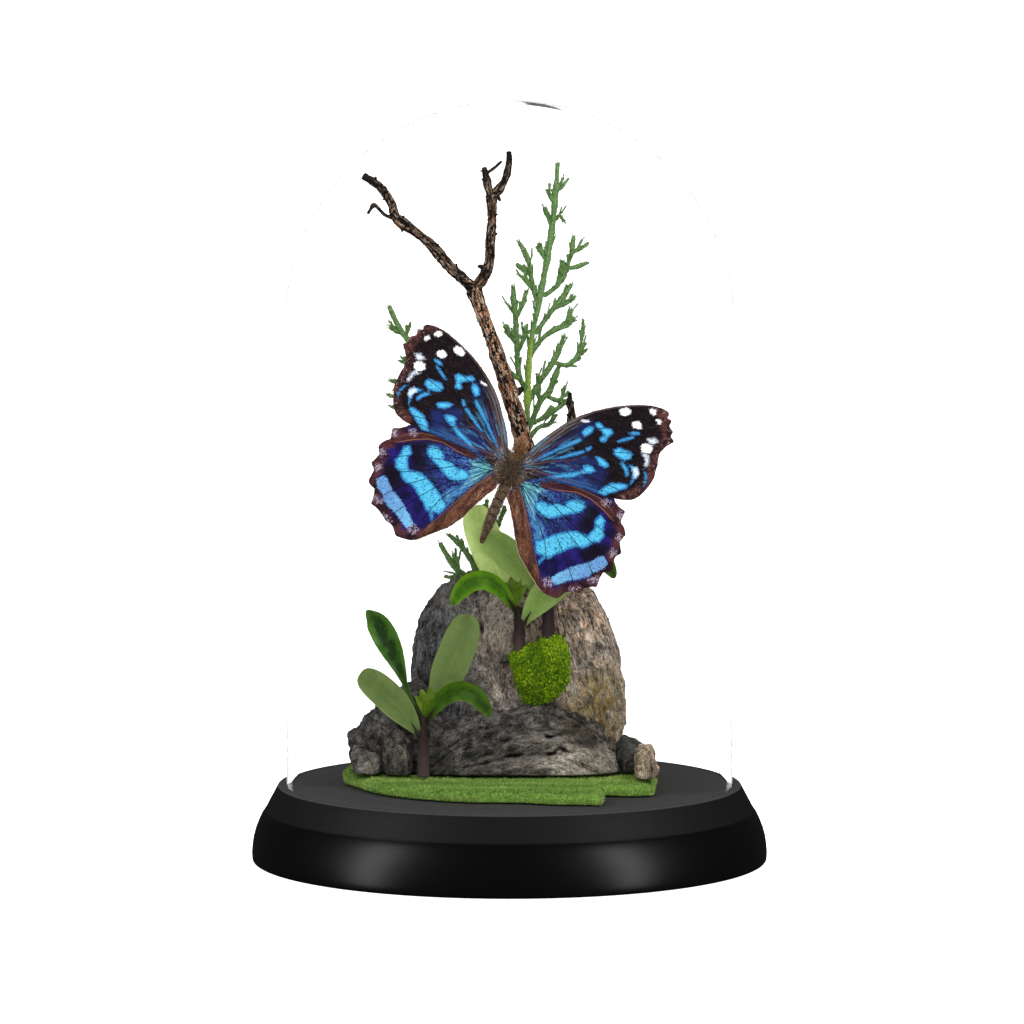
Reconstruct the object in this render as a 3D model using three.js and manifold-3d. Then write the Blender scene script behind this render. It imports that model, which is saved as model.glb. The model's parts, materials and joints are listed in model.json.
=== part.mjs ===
// Butterfly display under a glass dome: a round turned base, a glass dome standing in its
// groove, and a small planted scene with rocks, moss, seedlings, cypress sprigs, a forked
// branch and a butterfly spread on the branch. Millimetres, +Z up, origin at the middle of
// the base's underside, the front of the display facing -Y.
import * as THREE from "three";
import { mergeVertices } from "three/addons/utils/BufferGeometryUtils.js";
import Module from "manifold-3d";

// ---------------------------------------------------------------- driving dimensions
const BASE_R = 65.0; // widest radius of the base, at its underside
const BASE_H = 19.0;
const BASE_TOP_R = 58.3; // edge of the flat top
const BASE_LIP_R = 61.6; // outer edge of the sloped rim
const BASE_LIP_Z = 12.8;
const GROOVE_IN = 53.9; // groove that the dome's rim stands in
const GROOVE_OUT = 56.5;
const GROOVE_DEPTH = 1.2;
const DOME_R = 56.2; // outside radius of the glass
const DOME_WALL = 2.0;
const DOME_BOTTOM = BASE_H - GROOVE_DEPTH + 0.3;
const DOME_SPRING = 134.2; // height where the straight wall turns into the round top
const GAP = 0.3; // air between neighbouring pieces
const MAT_Z = BASE_H + GAP;
const MAT_T = 2.9; // backing and pile together
const GROUND = MAT_Z + MAT_T + GAP; // height the stones stand on
const LEAF_T = 0.5;
const WING_T = 0.45;
const WING_LIFT = 0.45; // the forewings lie this far in front of the wing plane, the hindwings this far behind
const BODY_TILT = THREE.MathUtils.degToRad(19); // the butterfly leans to its right side
const WING_RISE = THREE.MathUtils.degToRad(9); // the wings come forward from the body
const WING_ROOT = new THREE.Vector3(0.63, -19.0, 99.34);

// Outlines, [x, z] seen from the front, unless said otherwise
const MAT_OUTLINE = [
  [-42.47, 12.18], [-41.35, -4.89], [-35.37, -16.85], [-31.43, -23.16], [-23.85, -30.28], [-15.69, -34.68],
  [-8.36, -37.3], [-2.29, -37.3], [4.27, -38.17], [10.8, -40.77], [19.49, -41.63], [22.13, -42.49],
  [23.52, -24.95], [30.63, -25.85], [35.37, -24.06], [37.02, -3.02], [36.6, 10.0], [33.5, 23.0],
  [24.0, 32.5], [10.0, 37.0], [-6.0, 38.0], [-22.0, 35.0], [-35.0, 26.0], [-41.0, 18.0],
]; // [x, y] seen from above
const FOREWING = [
  [1.94, 3.65], [3.89, 8.17], [6.48, 11.86], [8.86, 15.13], [11.48, 17.71], [14.78, 20.31], [18.84, 22.76], [22.77, 24.54],
  [26.52, 25.84], [29.51, 26.28], [31.7, 26.0], [32.37, 25.29], [32.3, 24.47], [33.45, 24.18], [33.36, 22.76], [34.68, 21.66],
  [34.5, 20.48], [35.59, 19.47], [34.45, 17.93], [33.46, 15.96], [33.42, 14.27], [33.72, 12.81], [33.88, 10.96], [33.98, 9.26],
  [33.43, 7.25], [32.59, 4.95], [31.02, 2.93], [28.9, 1.98], [26.26, 1.51], [23.91, 1.21], [21.81, 1.17], [19.41, 1.03],
  [15.95, 0.87], [12.49, 0.7], [9.02, 0.54], [5.55, 0.37], [2.86, 1.01],
]; // [outward, along the body]
const HINDWING = [
  [2.7, -2.63], [7.92, 0.6], [14.22, 1.4], [19.66, 1.91], [23.85, 1.98], [26.12, 1.5], [26.83, 0.82], [28.34, -0.16],
  [29.78, -0.54], [29.82, -1.73], [29.7, -3.4], [30.93, -4.36], [31.78, -5.87], [31.59, -6.8], [31.12, -8.01], [31.69, -9.44],
  [32.29, -10.67], [31.28, -11.95], [31.36, -13.51], [31.63, -15.08], [30.76, -16.16], [29.67, -16.71], [29.33, -18.41], [29.3, -20.47],
  [28.31, -20.86], [26.92, -21.59], [25.82, -22.45], [24.75, -23.41], [22.76, -24.11], [21.87, -25.24], [21.05, -26.28], [19.24, -26.48],
  [17.3, -26.28], [15.92, -25.72], [14.3, -24.42], [12.67, -23.13], [10.33, -21.16], [8.63, -19.66], [7.21, -17.6], [6.06, -15.67],
  [4.63, -12.9], [3.49, -10.97], [2.34, -9.04], [0.92, -6.98], [1.38, -4.25],
];
const ROCKS = {
  boulder: { node: "rock_boulder", c: [2.42, 44.87], y: 11, d: 17, n: 22, rings: 9, soft: 0.72, rough: 0.9,
    o: [[-25.13, 47.69], [-24.61, 54.09], [-22.81, 60.49], [-20.26, 65.09], [-16.69, 67.91], [-12.1, 70.97], [-7.52, 72.5], [-2.43, 73.02], [3.94, 72.5], [10.31, 71.74], [16.67, 70.46], [20.75, 68.16], [23.81, 62.54], [27.14, 55.12], [28.94, 46.92], [29.97, 39.49], [29.47, 34.1], [28.46, 29.74], [27.46, 19.46], [26.19, 13.03], [-22.89, 13.03], [-24.4, 27.17], [-25.14, 37.44]] },
  shoulder: { node: "rock_shoulder", c: [-27.73, 30.72], y: 3, d: 12, n: 13, rings: 6, soft: 0.75, rough: 0.5,
    o: [[-39.89, 28.17], [-40.14, 31.23], [-38.36, 33.52], [-34.81, 37.59], [-30.75, 41.16], [-26.44, 44.72], [-21.38, 46.75], [-16.32, 42.17], [-15.07, 34.54], [-15.09, 14.15], [-39.93, 14.15]] },
  ledge: { node: "rock_ledge", c: [1.38, 26.52], y: -4, d: 10, n: 20, rings: 8, soft: 0.68, rough: 0.6,
    o: [[-24.78, 21.46], [-24.26, 28.55], [-22.5, 31.58], [-19.48, 33.6], [-14.95, 35.12], [-9.93, 36.38], [-6.16, 37.14], [-2.39, 37.9], [2.89, 39.16], [7.67, 39.79], [11.43, 39.67], [15.58, 38.53], [19.73, 36.38], [23.5, 33.73], [25.77, 31.58], [27.03, 29.05], [25.78, 26.02], [27.04, 24.24], [31.07, 23.48], [31.32, 20.45], [30.33, 15.13], [-24.29, 15.13]] },
  slab_left: { node: "rock_slab_left", c: [-27.42, 27.03], y: -8, d: 5.5, n: 14, rings: 6, soft: 0.7, rough: 0.25,
    o: [[-31.42, 30.81], [-30.91, 33.58], [-29.16, 34.84], [-26.9, 34.09], [-24.66, 32.07], [-24.16, 28.29], [-24.18, 15.69], [-31.45, 15.69]] },
  stone_left: { node: "rock_stone_left", c: [-35.55, 24.88], y: -5, d: 7, n: 14, rings: 6, soft: 0.7, rough: 0.25,
    o: [[-39.57, 25.39], [-39.56, 28.67], [-37.55, 29.43], [-34.54, 28.17], [-31.78, 27.41], [-31.53, 24.12], [-31.55, 15.27], [-39.34, 15.27]] },
  stone_right: { node: "rock_stone_right", c: [33.73, 25.05], y: -14, d: 7, n: 14, rings: 6, soft: 0.7, rough: 0.25,
    o: [[31.12, 26.05], [31.49, 29.05], [32.73, 30.81], [34.97, 30.18], [36.22, 28.3], [36.72, 23.8], [36.49, 16.53], [31.26, 16.53]] },
  stone_back: { node: "rock_stone_back", c: [31.88, 25.5], y: -2, d: 6, n: 12, rings: 5, soft: 0.72, rough: 0.25,
    o: [[26.83, 28.8], [27.59, 31.33], [28.84, 32.22], [32.88, 29.56], [35.91, 28.04], [36.42, 25.0], [35.94, 14.85], [26.86, 14.85]] },
  moss: { node: "moss_patch", c: [7.9, 48.66], y: -5.5, d: 5, n: 18, rings: 5, soft: 0.8, rough: 0.4,
    o: [[-0.55, 51.88], [1.31, 54.53], [3.39, 55.58], [4.99, 54.53], [6.57, 55.06], [7.4, 56.92], [10.28, 57.98], [13.43, 57.17], [14.74, 54.53], [15.02, 51.36], [15.55, 47.1], [14.75, 44.45], [12.42, 42.36], [11.34, 40.34], [8.16, 40.22], [5.52, 39.21], [3.39, 40.22], [2.39, 42.86], [1.03, 45.51], [1.31, 48.16], [-0.27, 50.27]] },
};
// Stems and limbs: [x, y, z, radius]
const BRANCH = {
  trunk: [[17.1, 5.5, 63.79, 2.6], [14.75, 1.5, 71.74, 2.5], [11.64, -5.5, 81.59, 2.4], [8.09, -10.5, 91.66, 2.3], [4.85, -12.7, 101.24, 2.25], [2.36, -12.9, 109.93, 2.15], [-0.36, -12.0, 119.07, 1.95], [-3.09, -10.5, 127.71, 1.7], [-5.58, -9.0, 134.37, 1.6], [-7.7, -8.0, 140.07, 1.65], [-8.82, -7.5, 143.29, 1.7]],
  limb_left: [[-8.82, -7.5, 143.54, 1.5], [-11.55, -7.2, 146.02, 1.35], [-14.79, -6.8, 149.0, 1.4], [-17.79, -6.0, 152.47, 1.3], [-21.03, -5.5, 155.83, 1.2], [-25.52, -5.0, 159.18, 1.25], [-28.26, -4.6, 161.3, 1.2], [-29.44, -4.2, 164.66, 1.05], [-31.11, -4.0, 167.52, 1.0], [-33.33, -3.6, 169.73, 0.95], [-36.42, -3.0, 171.69, 0.85]],
  twig_left: [[-28.75, -4.8, 161.05, 0.6], [-31.06, -5.8, 161.95, 0.5], [-32.67, -6.6, 163.63, 0.45], [-33.77, -7.1, 164.24, 0.45], [-35.13, -8.0, 162.2, 0.35]],
  limb_right: [[-8.57, -7.6, 143.54, 1.4], [-7.07, -8.0, 145.53, 1.35], [-5.7, -8.6, 148.01, 1.3], [-4.88, -9.0, 150.98, 1.2], [-4.82, -9.5, 154.69, 1.2], [-4.37, -10.0, 158.64, 1.15], [-4.35, -10.0, 163.33, 1.15], [-4.57, -10.0, 166.79, 1.2]],
  fork_left: [[-4.57, -10.0, 166.54, 1.0], [-5.23, -10.3, 168.76, 0.95], [-5.8, -10.8, 171.21, 0.85], [-6.24, -11.0, 173.55, 0.6]],
  twiglet: [[-5.92, -11.0, 171.94, 0.4], [-4.81, -11.3, 172.68, 0.38], [-3.32, -11.7, 173.77, 0.33], [-1.89, -12.0, 175.05, 0.28]],
  fork_right: [[-4.45, -10.0, 166.54, 1.0], [-2.96, -9.6, 167.78, 1.0], [-1.6, -9.0, 169.62, 0.95], [-0.56, -8.6, 172.4, 0.85], [-0.11, -8.3, 175.14, 0.8], [-0.11, -8.0, 177.52, 0.7]],
  stub: [[-0.11, -11.8, 118.32, 0.9], [1.87, -11.2, 118.18, 0.8], [3.36, -10.8, 119.03, 0.55]],
  twig_back: [[8.84, -9.8, 90.38, 1.0], [11.61, -6.5, 98.42, 0.95], [14.13, -4.8, 105.84, 0.9], [15.51, -4.0, 111.81, 0.8], [15.06, -3.8, 114.81, 0.75], [15.13, -3.6, 117.68, 0.45]],
};
const SPRIG_RIGHT = [
  [[4.95, 9.0, 65.52, 1.1], [4.69, 7.0, 74.85, 1.05], [4.29, 3.0, 90.34, 1.0], [4.35, 0.5, 108.12, 0.95], [5.07, -1.0, 127.49, 0.7], [7.31, -2.0, 139.76, 0.55], [10.06, -3.0, 154.72, 0.5], [11.44, -4.0, 166.4, 0.45], [11.98, -4.5, 174.7, 0.35]],
  [[4.39, -0.5, 117.7, 0.5], [2.26, -2.0, 122.76, 0.5], [1.7, -3.0, 133.28, 0.5], [1.25, -3.5, 139.52, 0.45], [0.88, -4.0, 144.19, 0.35]],
  [[2.38, -2.0, 121.0, 0.4], [0.38, -3.0, 122.53, 0.5], [-1.12, -3.6, 124.8, 0.4]],
  [[2.01, -2.8, 129.53, 0.4], [0.13, -3.5, 132.04, 0.5], [-1.17, -4.0, 134.54, 0.4]],
  [[2.26, -2.6, 127.77, 0.35], [3.38, -2.0, 130.76, 0.4], [4.01, -1.6, 133.88, 0.3]],
  [[1.75, -3.0, 136.27, 0.35], [3.13, -2.4, 139.51, 0.4], [4.28, -2.0, 143.08, 0.3]],
  [[1.5, -3.0, 137.02, 0.3], [-0.24, -3.6, 139.4, 0.25]],
  [[7.13, -2.0, 139.01, 0.4], [5.75, -3.0, 144.51, 0.5], [4.87, -3.6, 149.74, 0.45], [3.75, -4.0, 152.73, 0.45], [2.27, -4.4, 155.31, 0.35]],
  [[6.38, -2.6, 142.76, 0.35], [4.62, -3.5, 145.01, 0.45], [3.12, -4.0, 146.63, 0.35]],
  [[5.25, -3.2, 147.0, 0.35], [3.62, -4.0, 148.25, 0.45], [1.95, -4.6, 149.49, 0.35]],
  [[9.37, -2.6, 150.24, 0.4], [8.24, -3.4, 152.48, 0.5], [7.26, -4.0, 154.84, 0.35]],
  [[10.61, -3.2, 158.7, 0.35], [9.85, -4.0, 161.18, 0.45], [9.1, -4.6, 163.41, 0.3]],
  [[11.22, -3.8, 164.91, 0.35], [10.34, -4.5, 166.39, 0.45], [9.46, -5.0, 168.12, 0.3]],
  [[11.64, -4.0, 167.64, 0.3], [12.59, -3.4, 168.65, 0.4], [13.47, -3.0, 169.52, 0.3]],
  [[10.98, -3.4, 160.19, 0.3], [12.36, -2.8, 161.69, 0.35], [13.11, -2.5, 160.95, 0.25]],
  [[8.51, -2.0, 141.76, 0.4], [10.64, -1.0, 143.25, 0.5], [13.15, -0.4, 145.74, 0.45], [14.41, 0.0, 149.24, 0.45], [15.53, 0.2, 152.49, 0.45], [16.03, 0.4, 156.37, 0.35]],
  [[11.9, -0.7, 144.5, 0.35], [12.78, -0.2, 147.49, 0.45], [13.15, 0.0, 149.99, 0.35]],
  [[14.16, 0.0, 148.74, 0.35], [16.67, 0.8, 148.99, 0.45], [18.94, 1.4, 149.87, 0.3]],
  [[15.53, 0.2, 152.49, 0.35], [16.92, 1.0, 153.24, 0.45], [18.31, 1.6, 154.0, 0.3]],
  [[6.39, -1.5, 132.25, 0.45], [8.9, -0.5, 135.74, 0.5], [11.66, 0.2, 139.49, 0.5], [13.92, 0.8, 142.23, 0.5], [15.43, 1.2, 144.49, 0.35]],
  [[11.16, 0.1, 138.49, 0.35], [13.68, 1.0, 139.73, 0.45], [15.95, 1.8, 141.1, 0.35]],
  [[5.64, -1.0, 127.74, 0.5], [8.41, 0.2, 131.22, 0.5], [11.68, 1.2, 133.46, 0.55], [14.45, 2.0, 134.45, 0.5], [16.34, 2.6, 136.32, 0.35]],
  [[13.44, 1.6, 134.2, 0.35], [14.7, 2.4, 136.2, 0.4], [15.71, 2.8, 138.33, 0.3]],
  [[4.9, 0.0, 115.67, 0.5], [7.91, 1.0, 120.66, 0.55], [10.43, 2.0, 124.4, 0.55], [12.71, 3.0, 128.65, 0.45], [13.59, 3.4, 131.66, 0.35]],
  [[10.94, 2.2, 125.15, 0.4], [14.47, 3.2, 124.37, 0.5], [17.0, 4.0, 126.62, 0.45], [18.27, 4.6, 131.39, 0.35], [18.52, 5.0, 135.54, 0.25]],
  [[16.5, 3.9, 126.12, 0.35], [18.02, 4.6, 127.11, 0.4], [19.29, 5.0, 128.11, 0.3]],
  [[4.65, 0.5, 107.61, 0.5], [7.67, 1.5, 115.12, 0.55], [9.94, 2.2, 117.61, 0.6], [11.7, 3.0, 122.11, 0.5], [12.46, 3.4, 124.12, 0.35]],
  [[7.92, 1.4, 114.62, 0.35], [7.16, 0.8, 117.4, 0.4], [7.28, 0.6, 121.68, 0.3]],
  [[5.66, 1.0, 109.6, 0.4], [9.19, 2.4, 111.56, 0.45], [12.22, 3.4, 113.54, 0.45], [15.0, 4.2, 115.78, 0.3]],
  [[9.69, 2.2, 116.35, 0.35], [12.72, 3.4, 115.55, 0.45], [13.98, 3.8, 119.07, 0.3]],
  [[4.65, 0.8, 105.59, 0.4], [7.17, 2.0, 108.56, 0.45], [9.95, 3.0, 109.52, 0.4], [11.72, 3.4, 111.77, 0.3]],
];
const SPRIG_LEFT = [
  [[-2.42, 9.5, 67.01, 1.0], [-4.95, 7.5, 75.83, 0.9], [-9.49, 5.5, 87.65, 0.8], [-15.52, 4.0, 101.65, 0.7], [-21.02, 3.0, 116.07, 0.6], [-24.75, 2.0, 128.93, 0.5], [-27.25, 1.5, 132.95, 0.45], [-28.81, 1.2, 135.97, 0.45], [-30.23, 1.0, 139.23, 0.35]],
  [[-27.0, 1.6, 132.45, 0.35], [-28.61, 1.0, 132.96, 0.45], [-30.03, 0.6, 134.1, 0.35]],
  [[-26.0, 1.8, 131.19, 0.35], [-25.87, 1.6, 132.45, 0.4], [-25.61, 1.4, 133.83, 0.3]],
  [[-23.51, 2.4, 124.39, 0.35], [-25.26, 1.8, 124.66, 0.4], [-27.13, 1.2, 125.43, 0.3]],
  [[-21.52, 2.9, 117.59, 0.4], [-26.03, 2.0, 119.12, 0.45], [-29.89, 1.0, 120.54, 0.3]],
  [[-20.02, 3.1, 113.55, 0.4], [-25.03, 2.2, 115.09, 0.4], [-30.41, 1.4, 116.88, 0.3]],
  [[-18.27, 3.4, 108.75, 0.4], [-24.04, 2.4, 111.56, 0.4], [-29.8, 1.6, 113.98, 0.3]],
  [[-16.02, 4.0, 102.92, 0.4], [-14.01, 5.0, 110.45, 0.45], [-12.0, 6.0, 116.73, 0.35]],
  [[-13.01, 4.6, 95.81, 0.4], [-17.57, 5.6, 97.78, 0.4], [-21.38, 6.4, 99.76, 0.35]],
  [[-9.99, 5.4, 88.93, 0.4], [-6.96, 6.6, 97.73, 0.4], [-5.7, 7.6, 105.28, 0.35]],
  [[-5.2, 7.4, 76.6, 0.4], [-3.18, 8.4, 82.89, 0.45], [-1.15, 9.0, 88.45, 0.35]],
  [[-6.47, 7.0, 79.68, 0.4], [-6.46, 6.2, 84.56, 0.45], [-5.69, 5.6, 90.18, 0.35]],
  [[-11.5, 5.0, 92.24, 0.35], [-15.55, 5.4, 92.22, 0.4], [-19.61, 6.0, 92.69, 0.3]],
];
const SPRIG_LOW = [
  [[-6.46, 5.0, 67.39, 0.8], [-7.95, 2.0, 71.7, 0.75], [-9.68, -1.0, 75.47, 0.6], [-11.91, -3.0, 78.89, 0.5], [-13.65, -4.0, 80.73, 0.45], [-15.27, -4.6, 82.15, 0.35]],
  [[-10.43, -1.6, 76.78, 0.35], [-11.69, -0.8, 78.23, 0.4], [-13.34, 0.0, 79.81, 0.3]],
  [[-7.45, 3.2, 70.08, 0.7], [-10.95, 0.0, 71.1, 0.65], [-13.43, -2.5, 73.57, 0.75], [-15.41, -4.2, 76.47, 0.6], [-17.38, -5.5, 79.96, 0.5]],
  [[-12.93, -2.2, 73.04, 0.5], [-13.32, -1.4, 75.0, 0.55], [-14.01, -0.8, 76.97, 0.45]],
  [[-12.44, -1.8, 72.51, 0.4], [-14.43, -3.0, 71.34, 0.4], [-16.29, -4.0, 71.55, 0.3]],
  [[-9.18, -0.4, 74.67, 0.35], [-8.92, -1.2, 78.51, 0.4], [-9.67, -1.8, 82.08, 0.3]],
];
// One seedling, from the joint where its leaves leave the stem: [x, y, z, radius or half width]
const SEEDLING = {
  stem: [[-0.2, 0, -14.12, 1.6], [-0.2, 0, -7.93, 1.5], [-0.35, 0, -3.72, 1.4], [0.0, 0, 0.5, 1.1]],
  leaf_a: [[-0.5, 0.4, -0.5, 0.75], [-2.85, 1.4, 4.21, 0.5], [-4.58, 2.0, 8.42, 0.55], [-5.95, 2.2, 12.39, 1.5], [-7.93, 2.4, 17.09, 2.75], [-9.91, 2.5, 21.06, 3.1], [-12.01, 2.5, 24.53, 2.8], [-13.63, 2.5, 26.38, 1.7], [-14.37, 2.5, 27.13, 0.3]],
  leaf_b: [[-0.99, -0.8, -4.21, 0.5], [-2.73, -1.5, -0.99, 1.6], [-5.7, -2.2, 2.97, 3.1], [-8.67, -2.8, 6.19, 3.75], [-11.64, -3.2, 8.92, 3.6], [-14.12, -3.5, 10.9, 2.5], [-15.73, -3.7, 12.01, 0.3]],
  leaf_c: [[0.74, 0.9, 0.5, 0.6], [2.73, 2, 4.21, 0.6], [4.21, 2.8, 7.43, 1.3], [6.19, 3.4, 12.39, 4.1], [8.05, 3.8, 16.85, 4.45], [9.54, 4, 20.81, 3.9], [10.4, 4, 23.78, 2.5], [10.78, 4, 26.01, 0.3]],
  leaf_d: [[0.74, -0.9, 0.0, 0.6], [2.48, -2.2, 2.97, 1.4], [5.2, -3.4, 6.19, 2.1], [8.42, -4.2, 7.8, 2.4], [11.64, -4.6, 7.31, 2.4], [13.87, -4.6, 5.57, 2.2], [15.48, -4.4, 3.22, 1.5], [16.23, -4.2, 1.49, 0.3]],
  bud: [[0.5, -0.3, 0.99, 0.5], [1.11, -0.6, 3.96, 0.8], [1.61, -0.8, 6.44, 0.85], [1.73, -0.9, 8.42, 0.25]],
};
const SEEDLING_AT = { a: [-21.23, -15.2, 36.7], b: [2.13, -9.0, 63.57], c: [9.87, -7.5, 70.21] };
const THORAX = { at: [0.38, -17.9, 99.28], r: [2.55, 2.3, 4.0] };
const HEAD = { at: [2.73, -17.9, 104.84], r: [1.9, 1.7, 1.9] };
const ABDOMEN = [[-0.73, -17.9, 95.57, 1.5], [-2.33, -17.9, 92.36, 1.4], [-3.81, -17.8, 88.89, 1.45], [-5.3, -17.6, 85.17, 1.15], [-6.91, -17.3, 81.06, 0.45]];

// ---------------------------------------------------------------- solids
const wasm = await Module();
wasm.setup();

function solid(geometry) {
  const g = new THREE.BufferGeometry();
  g.setAttribute("position", geometry.getAttribute("position").clone());
  if (geometry.index) g.setIndex(geometry.index.clone());
  const merged = mergeVertices(g, 1e-4);
  const idx = merged.index.array, tri = [];
  for (let i = 0; i < idx.length; i += 3) {
    const [a, b, c] = [idx[i], idx[i + 1], idx[i + 2]];
    if (a !== b && b !== c && c !== a) tri.push(a, b, c);
  }
  const make = (t) => new wasm.Manifold(new wasm.Mesh({
    numProp: 3,
    vertProperties: new Float32Array(merged.attributes.position.array),
    triVerts: new Uint32Array(t),
  }));
  let m = make(tri);
  if (m.volume() < 0) {
    for (let i = 0; i < tri.length; i += 3) [tri[i], tri[i + 1]] = [tri[i + 1], tri[i]];
    m = make(tri);
  }
  return m;
}

function geometryOf(m) {
  const mesh = m.getMesh();
  const g = new THREE.BufferGeometry();
  g.setAttribute("position", new THREE.BufferAttribute(new Float32Array(mesh.vertProperties), 3));
  g.setIndex(new THREE.BufferAttribute(new Uint32Array(mesh.triVerts), 1));
  g.computeVertexNormals();
  return g;
}

// The largest loose piece of a cut solid, so that no crumb is left behind
function largest(m) {
  const all = m.decompose();
  return all.reduce((a, b) => (b.volume() > a.volume() ? b : a));
}

// The piece that holds the highest point
function topPiece(m) {
  return m.decompose().filter((p) => p.volume() > 0.5)
    .reduce((a, b) => (b.boundingBox().max[2] > a.boundingBox().max[2] ? b : a));
}

const wave = (x, y, z) =>
  Math.sin(0.61 * x + 1.3) * Math.cos(0.53 * y - 0.4) * Math.sin(0.47 * z + 0.7) +
  0.5 * Math.sin(1.37 * x - 0.9 * z) * Math.cos(1.21 * y + 0.8 * z);

// A turned body: a profile of [radius, height] that closes on itself or on the axis
function turned(profile, segments) {
  const g = new THREE.LatheGeometry(profile.map(([r, z]) => new THREE.Vector2(r, z)), segments);
  g.rotateX(Math.PI / 2);
  return solid(g);
}

// A rod that follows [x, y, z, radius]; wide and thin stretch its section across and in depth
function rod(points, sides, steps, { grow = 0, wide = 1, thin = 1, forward = null } = {}) {
  const curve = new THREE.CatmullRomCurve3(points.map(([x, y, z]) => new THREE.Vector3(x, y, z)), false, "centripetal");
  const g = new THREE.CylinderGeometry(1, 1, 1, sides, steps);
  const p = g.getAttribute("position");
  const depth = forward ? forward.clone().normalize() : new THREE.Vector3(0, -1, 0);
  const n = points.length - 1;
  for (let i = 0; i < p.count; i++) {
    const t = THREE.MathUtils.clamp(p.getY(i) + 0.5, 0, 1);
    const at = curve.getPoint(t), along = curve.getTangent(t);
    const side = new THREE.Vector3().crossVectors(along, depth).normalize();
    const front = new THREE.Vector3().crossVectors(side, along).normalize();
    const k = Math.min(n - 1, Math.floor(t * n));
    const r = THREE.MathUtils.lerp(points[k][3], points[k + 1][3], t * n - k);
    const flat = typeof thin === "number" ? r * thin : Math.max(0.12, Math.min(thin.t, r * 1.2));
    at.addScaledVector(side, p.getX(i) * (r * wide + grow));
    at.addScaledVector(front, p.getZ(i) * (flat + grow));
    p.setXYZ(i, at.x, at.y, at.z);
  }
  return solid(g);
}

// A leaf blade on a curved midrib
const blade = (points, opts = {}) => rod(points, 6, 6, { thin: { t: LEAF_T / 1.6 }, ...opts });

function hit(outline, cx, cz, ang) {
  const dx = Math.cos(ang), dz = Math.sin(ang);
  let best = 1;
  for (let i = 0; i < outline.length; i++) {
    const [ax, az] = outline[i], [bx, bz] = outline[(i + 1) % outline.length];
    const ex = bx - ax, ez = bz - az, den = dx * ez - dz * ex;
    if (Math.abs(den) < 1e-9) continue;
    const t = ((ax - cx) * ez - (az - cz) * ex) / den;
    const s = ((ax - cx) * dz - (az - cz) * dx) / den;
    if (t > 0 && s >= -1e-6 && s <= 1 + 1e-6) best = Math.max(best, t);
  }
  return best;
}

// A stone: the outline seen from the front, rounded in depth
function stone({ c, y, d, o, n, rings, soft = 0.72, rough = 0.5 }, grow = 0) {
  const g = new THREE.SphereGeometry(1, n, rings);
  g.rotateY(0.001);
  const p = g.getAttribute("position");
  for (let i = 0; i < p.count; i++) {
    const x = p.getX(i), h = p.getY(i), z = p.getZ(i), q = Math.hypot(x, z);
    const ang = q > 1e-6 ? Math.round(Math.atan2(z, x) * 1e6) / 1e6 : 0;
    const R = q > 1e-6 ? hit(o, c[0], c[1], ang) : 0;
    const s = Math.pow(q, soft), v = Math.sign(h) * Math.pow(Math.abs(h), soft);
    const bump = rough * wave(c[0] + s * R * Math.cos(ang), y + d * v, c[1] + s * R * Math.sin(ang));
    const rad = s * (R + grow) + (q > 0.2 ? bump * 0.5 * s : 0);
    const dep = v * (d + grow + (q < 0.95 ? bump : 0));
    p.setXYZ(i, c[0] + rad * Math.cos(ang), y + dep, c[1] + rad * Math.sin(ang));
  }
  return solid(g).trimByPlane([0, 0, 1], GROUND - grow);
}

function ball({ at, r }, grow = 0) {
  const g = new THREE.SphereGeometry(1, 10, 6);
  g.rotateX(Math.PI / 2);
  g.scale(r[0] + grow, r[1] + grow, r[2] + grow);
  g.rotateY(BODY_TILT);
  g.translate(...at);
  return solid(g);
}

// A flat wing: its outline laid on the wing plane
function wing(outline, side, lift) {
  const shape = new THREE.Shape(outline.map(([a, b]) => new THREE.Vector2(a, b)));
  const g = new THREE.ExtrudeGeometry(shape, { depth: WING_T, bevelEnabled: false });
  const along = new THREE.Vector3(Math.sin(BODY_TILT), 0, Math.cos(BODY_TILT));
  const out = new THREE.Vector3(Math.cos(BODY_TILT), 0, -Math.sin(BODY_TILT))
    .multiplyScalar(side * Math.cos(WING_RISE)).add(new THREE.Vector3(0, -Math.sin(WING_RISE), 0));
  const normal = new THREE.Vector3().crossVectors(out, along).normalize();
  if (normal.y > 0) normal.negate(); // towards the front
  const p = g.getAttribute("position");
  for (let i = 0; i < p.count; i++) {
    const v = WING_ROOT.clone()
      .addScaledVector(out, p.getX(i)).addScaledVector(along, p.getY(i))
      .addScaledVector(normal, p.getZ(i) - WING_T / 2 + lift);
    p.setXYZ(i, v.x, v.y, v.z);
  }
  return solid(g);
}
const moved = (outline, [a, b, c, d, e, f]) => outline.map(([x, y]) => [a * x + b * y + e, c * x + d * y + f]);

const place = (points, at, mirror = 1, turn = 1) =>
  points.map(([x, y, z, r]) => [at[0] + mirror * x * turn, at[1] + y, at[2] + z * turn, r * turn]);

// ---------------------------------------------------------------- scene graph
const display = new THREE.Group();
display.name = "insect_in_glass_dome";
const group = (name, parent = display) => {
  const g = new THREE.Group();
  g.name = name;
  parent.add(g);
  return g;
};
const paint = (color, roughness, metalness = 0) => new THREE.MeshStandardMaterial({ color, roughness, metalness });
const PAINT = {
  base: paint(0x141414, 0.22), mat: paint(0x5c7c2c, 0.95), stone: paint(0x6b6a66, 0.85),
  moss: paint(0x7aa01a, 0.95), bark: paint(0x35261c, 0.85), sprig: paint(0x4f7a3e, 0.7),
  stem: paint(0x6a4450, 0.55), leaf: paint(0x6f9a55, 0.6), gloss: paint(0x4f8a24, 0.4),
  body: paint(0x3a261c, 0.9), wing: paint(0x232a55, 0.6),
  glass: new THREE.MeshStandardMaterial({ color: 0xffffff, roughness: 0.02, metalness: 0, transparent: true, opacity: 0.15 }),
};
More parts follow.
